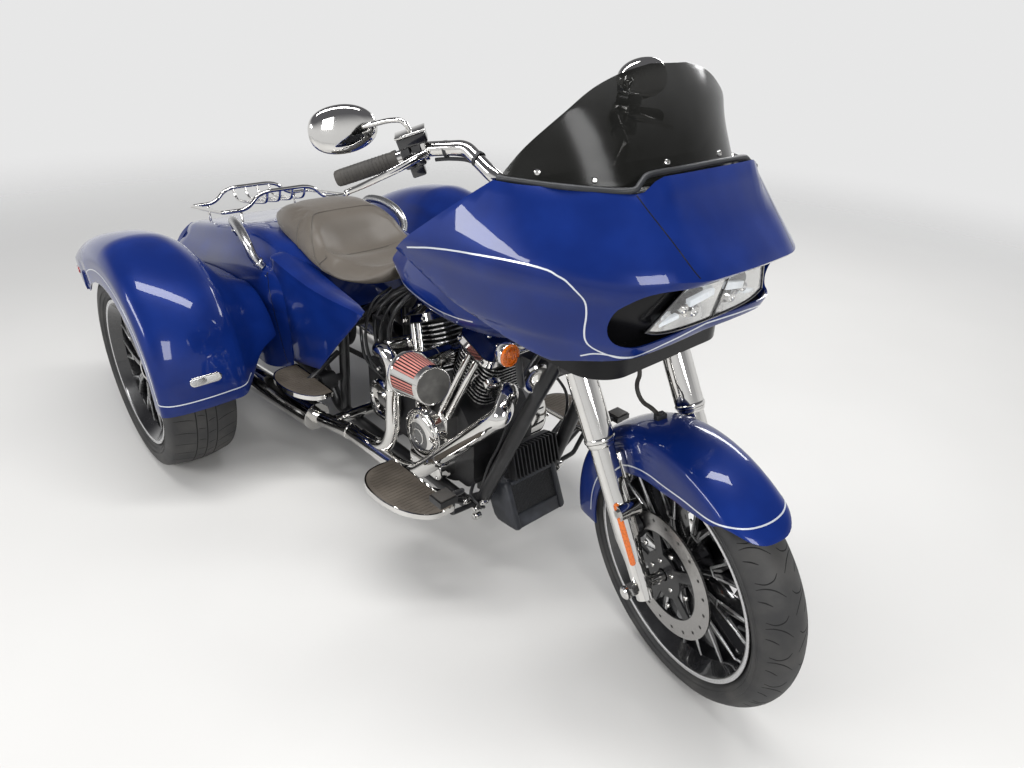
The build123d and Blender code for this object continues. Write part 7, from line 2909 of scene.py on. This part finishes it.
collars = Shape()
covers = Shape()
reflectors = Shape()
for side in SIDES:
    collars.turned(((0.0264, 0.318), (0.0290, 0.320), (0.0310, 0.324), (0.0318, 0.3295), (0.0264, 0.3298)),
                   leg_frame(0, side), 48)
    covers.turned(((0.0300, 0.7425), (0.0285, 0.748), (0.0220, 0.7530), (0.0, 0.7545)), leg_frame(0, side),
                  48)
    covers.turned(((0.0332, 0.331), (0.0345, 0.333), (0.0345, 0.339), (0.0332, 0.341)), leg_frame(0, side),
                  48)
    face = leg_frame(0.128, side) @ Matrix.Rotation(side * radians(-52), 4, "Z")
    face = face @ Matrix.Translation((0, side * 0.0262, 0)) @ Matrix.Rotation(-side * pi / 2, 4, "X")
    reflectors.prism([(y, x) for x, y in pill(0.142, 0.013)], 0.0, 0.0052, face)
    boss = leg_frame(0.176, side)
    covers.rod(boss @ Vector((0.024, side * 0.020, 0)), boss @ Vector((0.024, side * -0.030, 0)), 0.0175,
               sides=36)
    covers.rod(boss @ Vector((0.024, side * 0.016, 0)), boss @ Vector((0.024, side * 0.0245, 0)), 0.0095,
               sides=6)
settle(collars.build("slider_collars", [CHROME], limit=40.0), "steering", steered=True)
settle(covers.build("leg_rings", [CHROME], limit=40.0), "steering", steered=True)
settle(reflectors.build("leg_reflectors", [AMBER], bevel=0.0014), "steering", steered=True)
caps = Shape()
for side in SIDES:
    turn = Matrix.Translation(FRONT_AXLE + Vector((0, side * 0.1615, 0))) @ Matrix.Rotation(-side * pi / 2,
                                                                                            4, "X")
    caps.turned(((0.0150, -0.002), (0.0150, 0.006), (0.0120, 0.0095), (0.0, 0.0105)), turn, 36)
settle(caps.build("axle_caps", [CHROME], limit=40.0), "steering", steered=True)
print("fork legs: collars, rings, reflectors and axle caps")

# %% Front brake hose
HOSE_ROUTE = ((1.452, 0, 0.775), (1.485, 0, 0.730), (1.463, 0, 0.682), (1.487, 0, 0.651), (1.526, 0, 0.657),
              (1.550, 0, 0.6505))


def cord_curve(name, route, diameter, finish):
    """NURBS cord through the control points of its route, in the row frame."""
    data = bpy.data.curves.new(name, "CURVE")
    data.dimensions = "3D"
    data.bevel_depth = diameter / 2
    data.bevel_resolution = 4
    data.resolution_u = 12
    data.use_fill_caps = True
    spline = data.splines.new("NURBS")
    spline.points.add(len(route) - 1)
    for point, spot in zip(spline.points, route):
        point.co = (*spot, 1.0)
    spline.order_u = 3
    spline.use_endpoint_u = True
    data.materials.append(finish)
    cord = bpy.data.objects.new(name, data)
    scene.collection.objects.link(cord)
    return cord


block = Shape()
block.box((1.545, -0.012, 0.6430), (1.562, 0.012, 0.6585))
block.rod((1.5535, 0.0, 0.650), (1.5535, 0.0, 0.6625), 0.0055, sides=6)
hose_block = settle(block.build("hose_block", [PLASTIC], bevel=0.0012), "steering",
                    steered=True)
hose = cord_curve("front_brake_hose", [HOME @ TURN @ Vector(p) for p in HOSE_ROUTE], 0.010, RUBBER)
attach(hose, "steering")
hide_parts("brake_hose")

# %% [markdown]
# ## Finishes of the frame's own nodes
# What keeps its CAD shape gets a finish here: castings satin black, covers and silencers chromed, the
# frame gloss black. The trunk's door is painted like the trunk and has a latch.

# %% Finishes of the nodes
NODE_FINISHES = {
    CHROME: ("front_axle", "fork_legs", "handlebar", "rocker_covers", "cam_cover", "primary_cover",
             "silencers"),
    FRAME_BLACK: ("frame", "fork_yokes", "plate_bracket", "foot_controls"),
    ENGINE_BLACK: ("rear_axle", "crankcase", "cylinders", "front_calipers", "regulator"),
    RUBBER: ("drive_belt",),
    BLUE: ("trunk_door",),
    PLASTIC: ("instrument_panel",),
    SCOOP_BLACK: ("fairing_skirt",),
    FRONT_DISC: ("front_discs",),
}
for finish, names in NODE_FINISHES.items():
    for name in names:
        materials = cad_nodes[name].data.materials
        materials.clear()
        materials.append(finish)
print("nodes with a finish:", sum(len(names) for names in NODE_FINISHES.values()))

# %% Door latch and pedal pads
LATCH_SPOT = (-0.6342, 0, 0.545)
latch = Shape()
latch.prism(pill(0.070, 0.024), 0.0, 0.004,
            Matrix.Translation(LATCH_SPOT) @ Matrix(((0, 0, -1, 0), (1, 0, 0, 0), (0, 1, 0, 0),
                                                     (0, 0, 0, 1))))
latch.turned(((0.0075, 0.0), (0.0075, 0.007), (0.006, 0.008), (0.0, 0.008)),
             Matrix.Translation(LATCH_SPOT) @ Matrix.Rotation(-pi / 2, 4, "Y"), 28)
settle(latch.build("door_latch", [CHROME], bevel=0.001), "trunk_door")
pads = Shape()
for side in SIDES:
    low, high = sorted((side * 0.296, side * 0.340))
    pads.box((1.153, low, 0.3602), (1.193, high, 0.3645))
settle(pads.build("pedal_pads", [RUBBER], bevel=0.001), "chassis")
print("door latch, pedal pads")
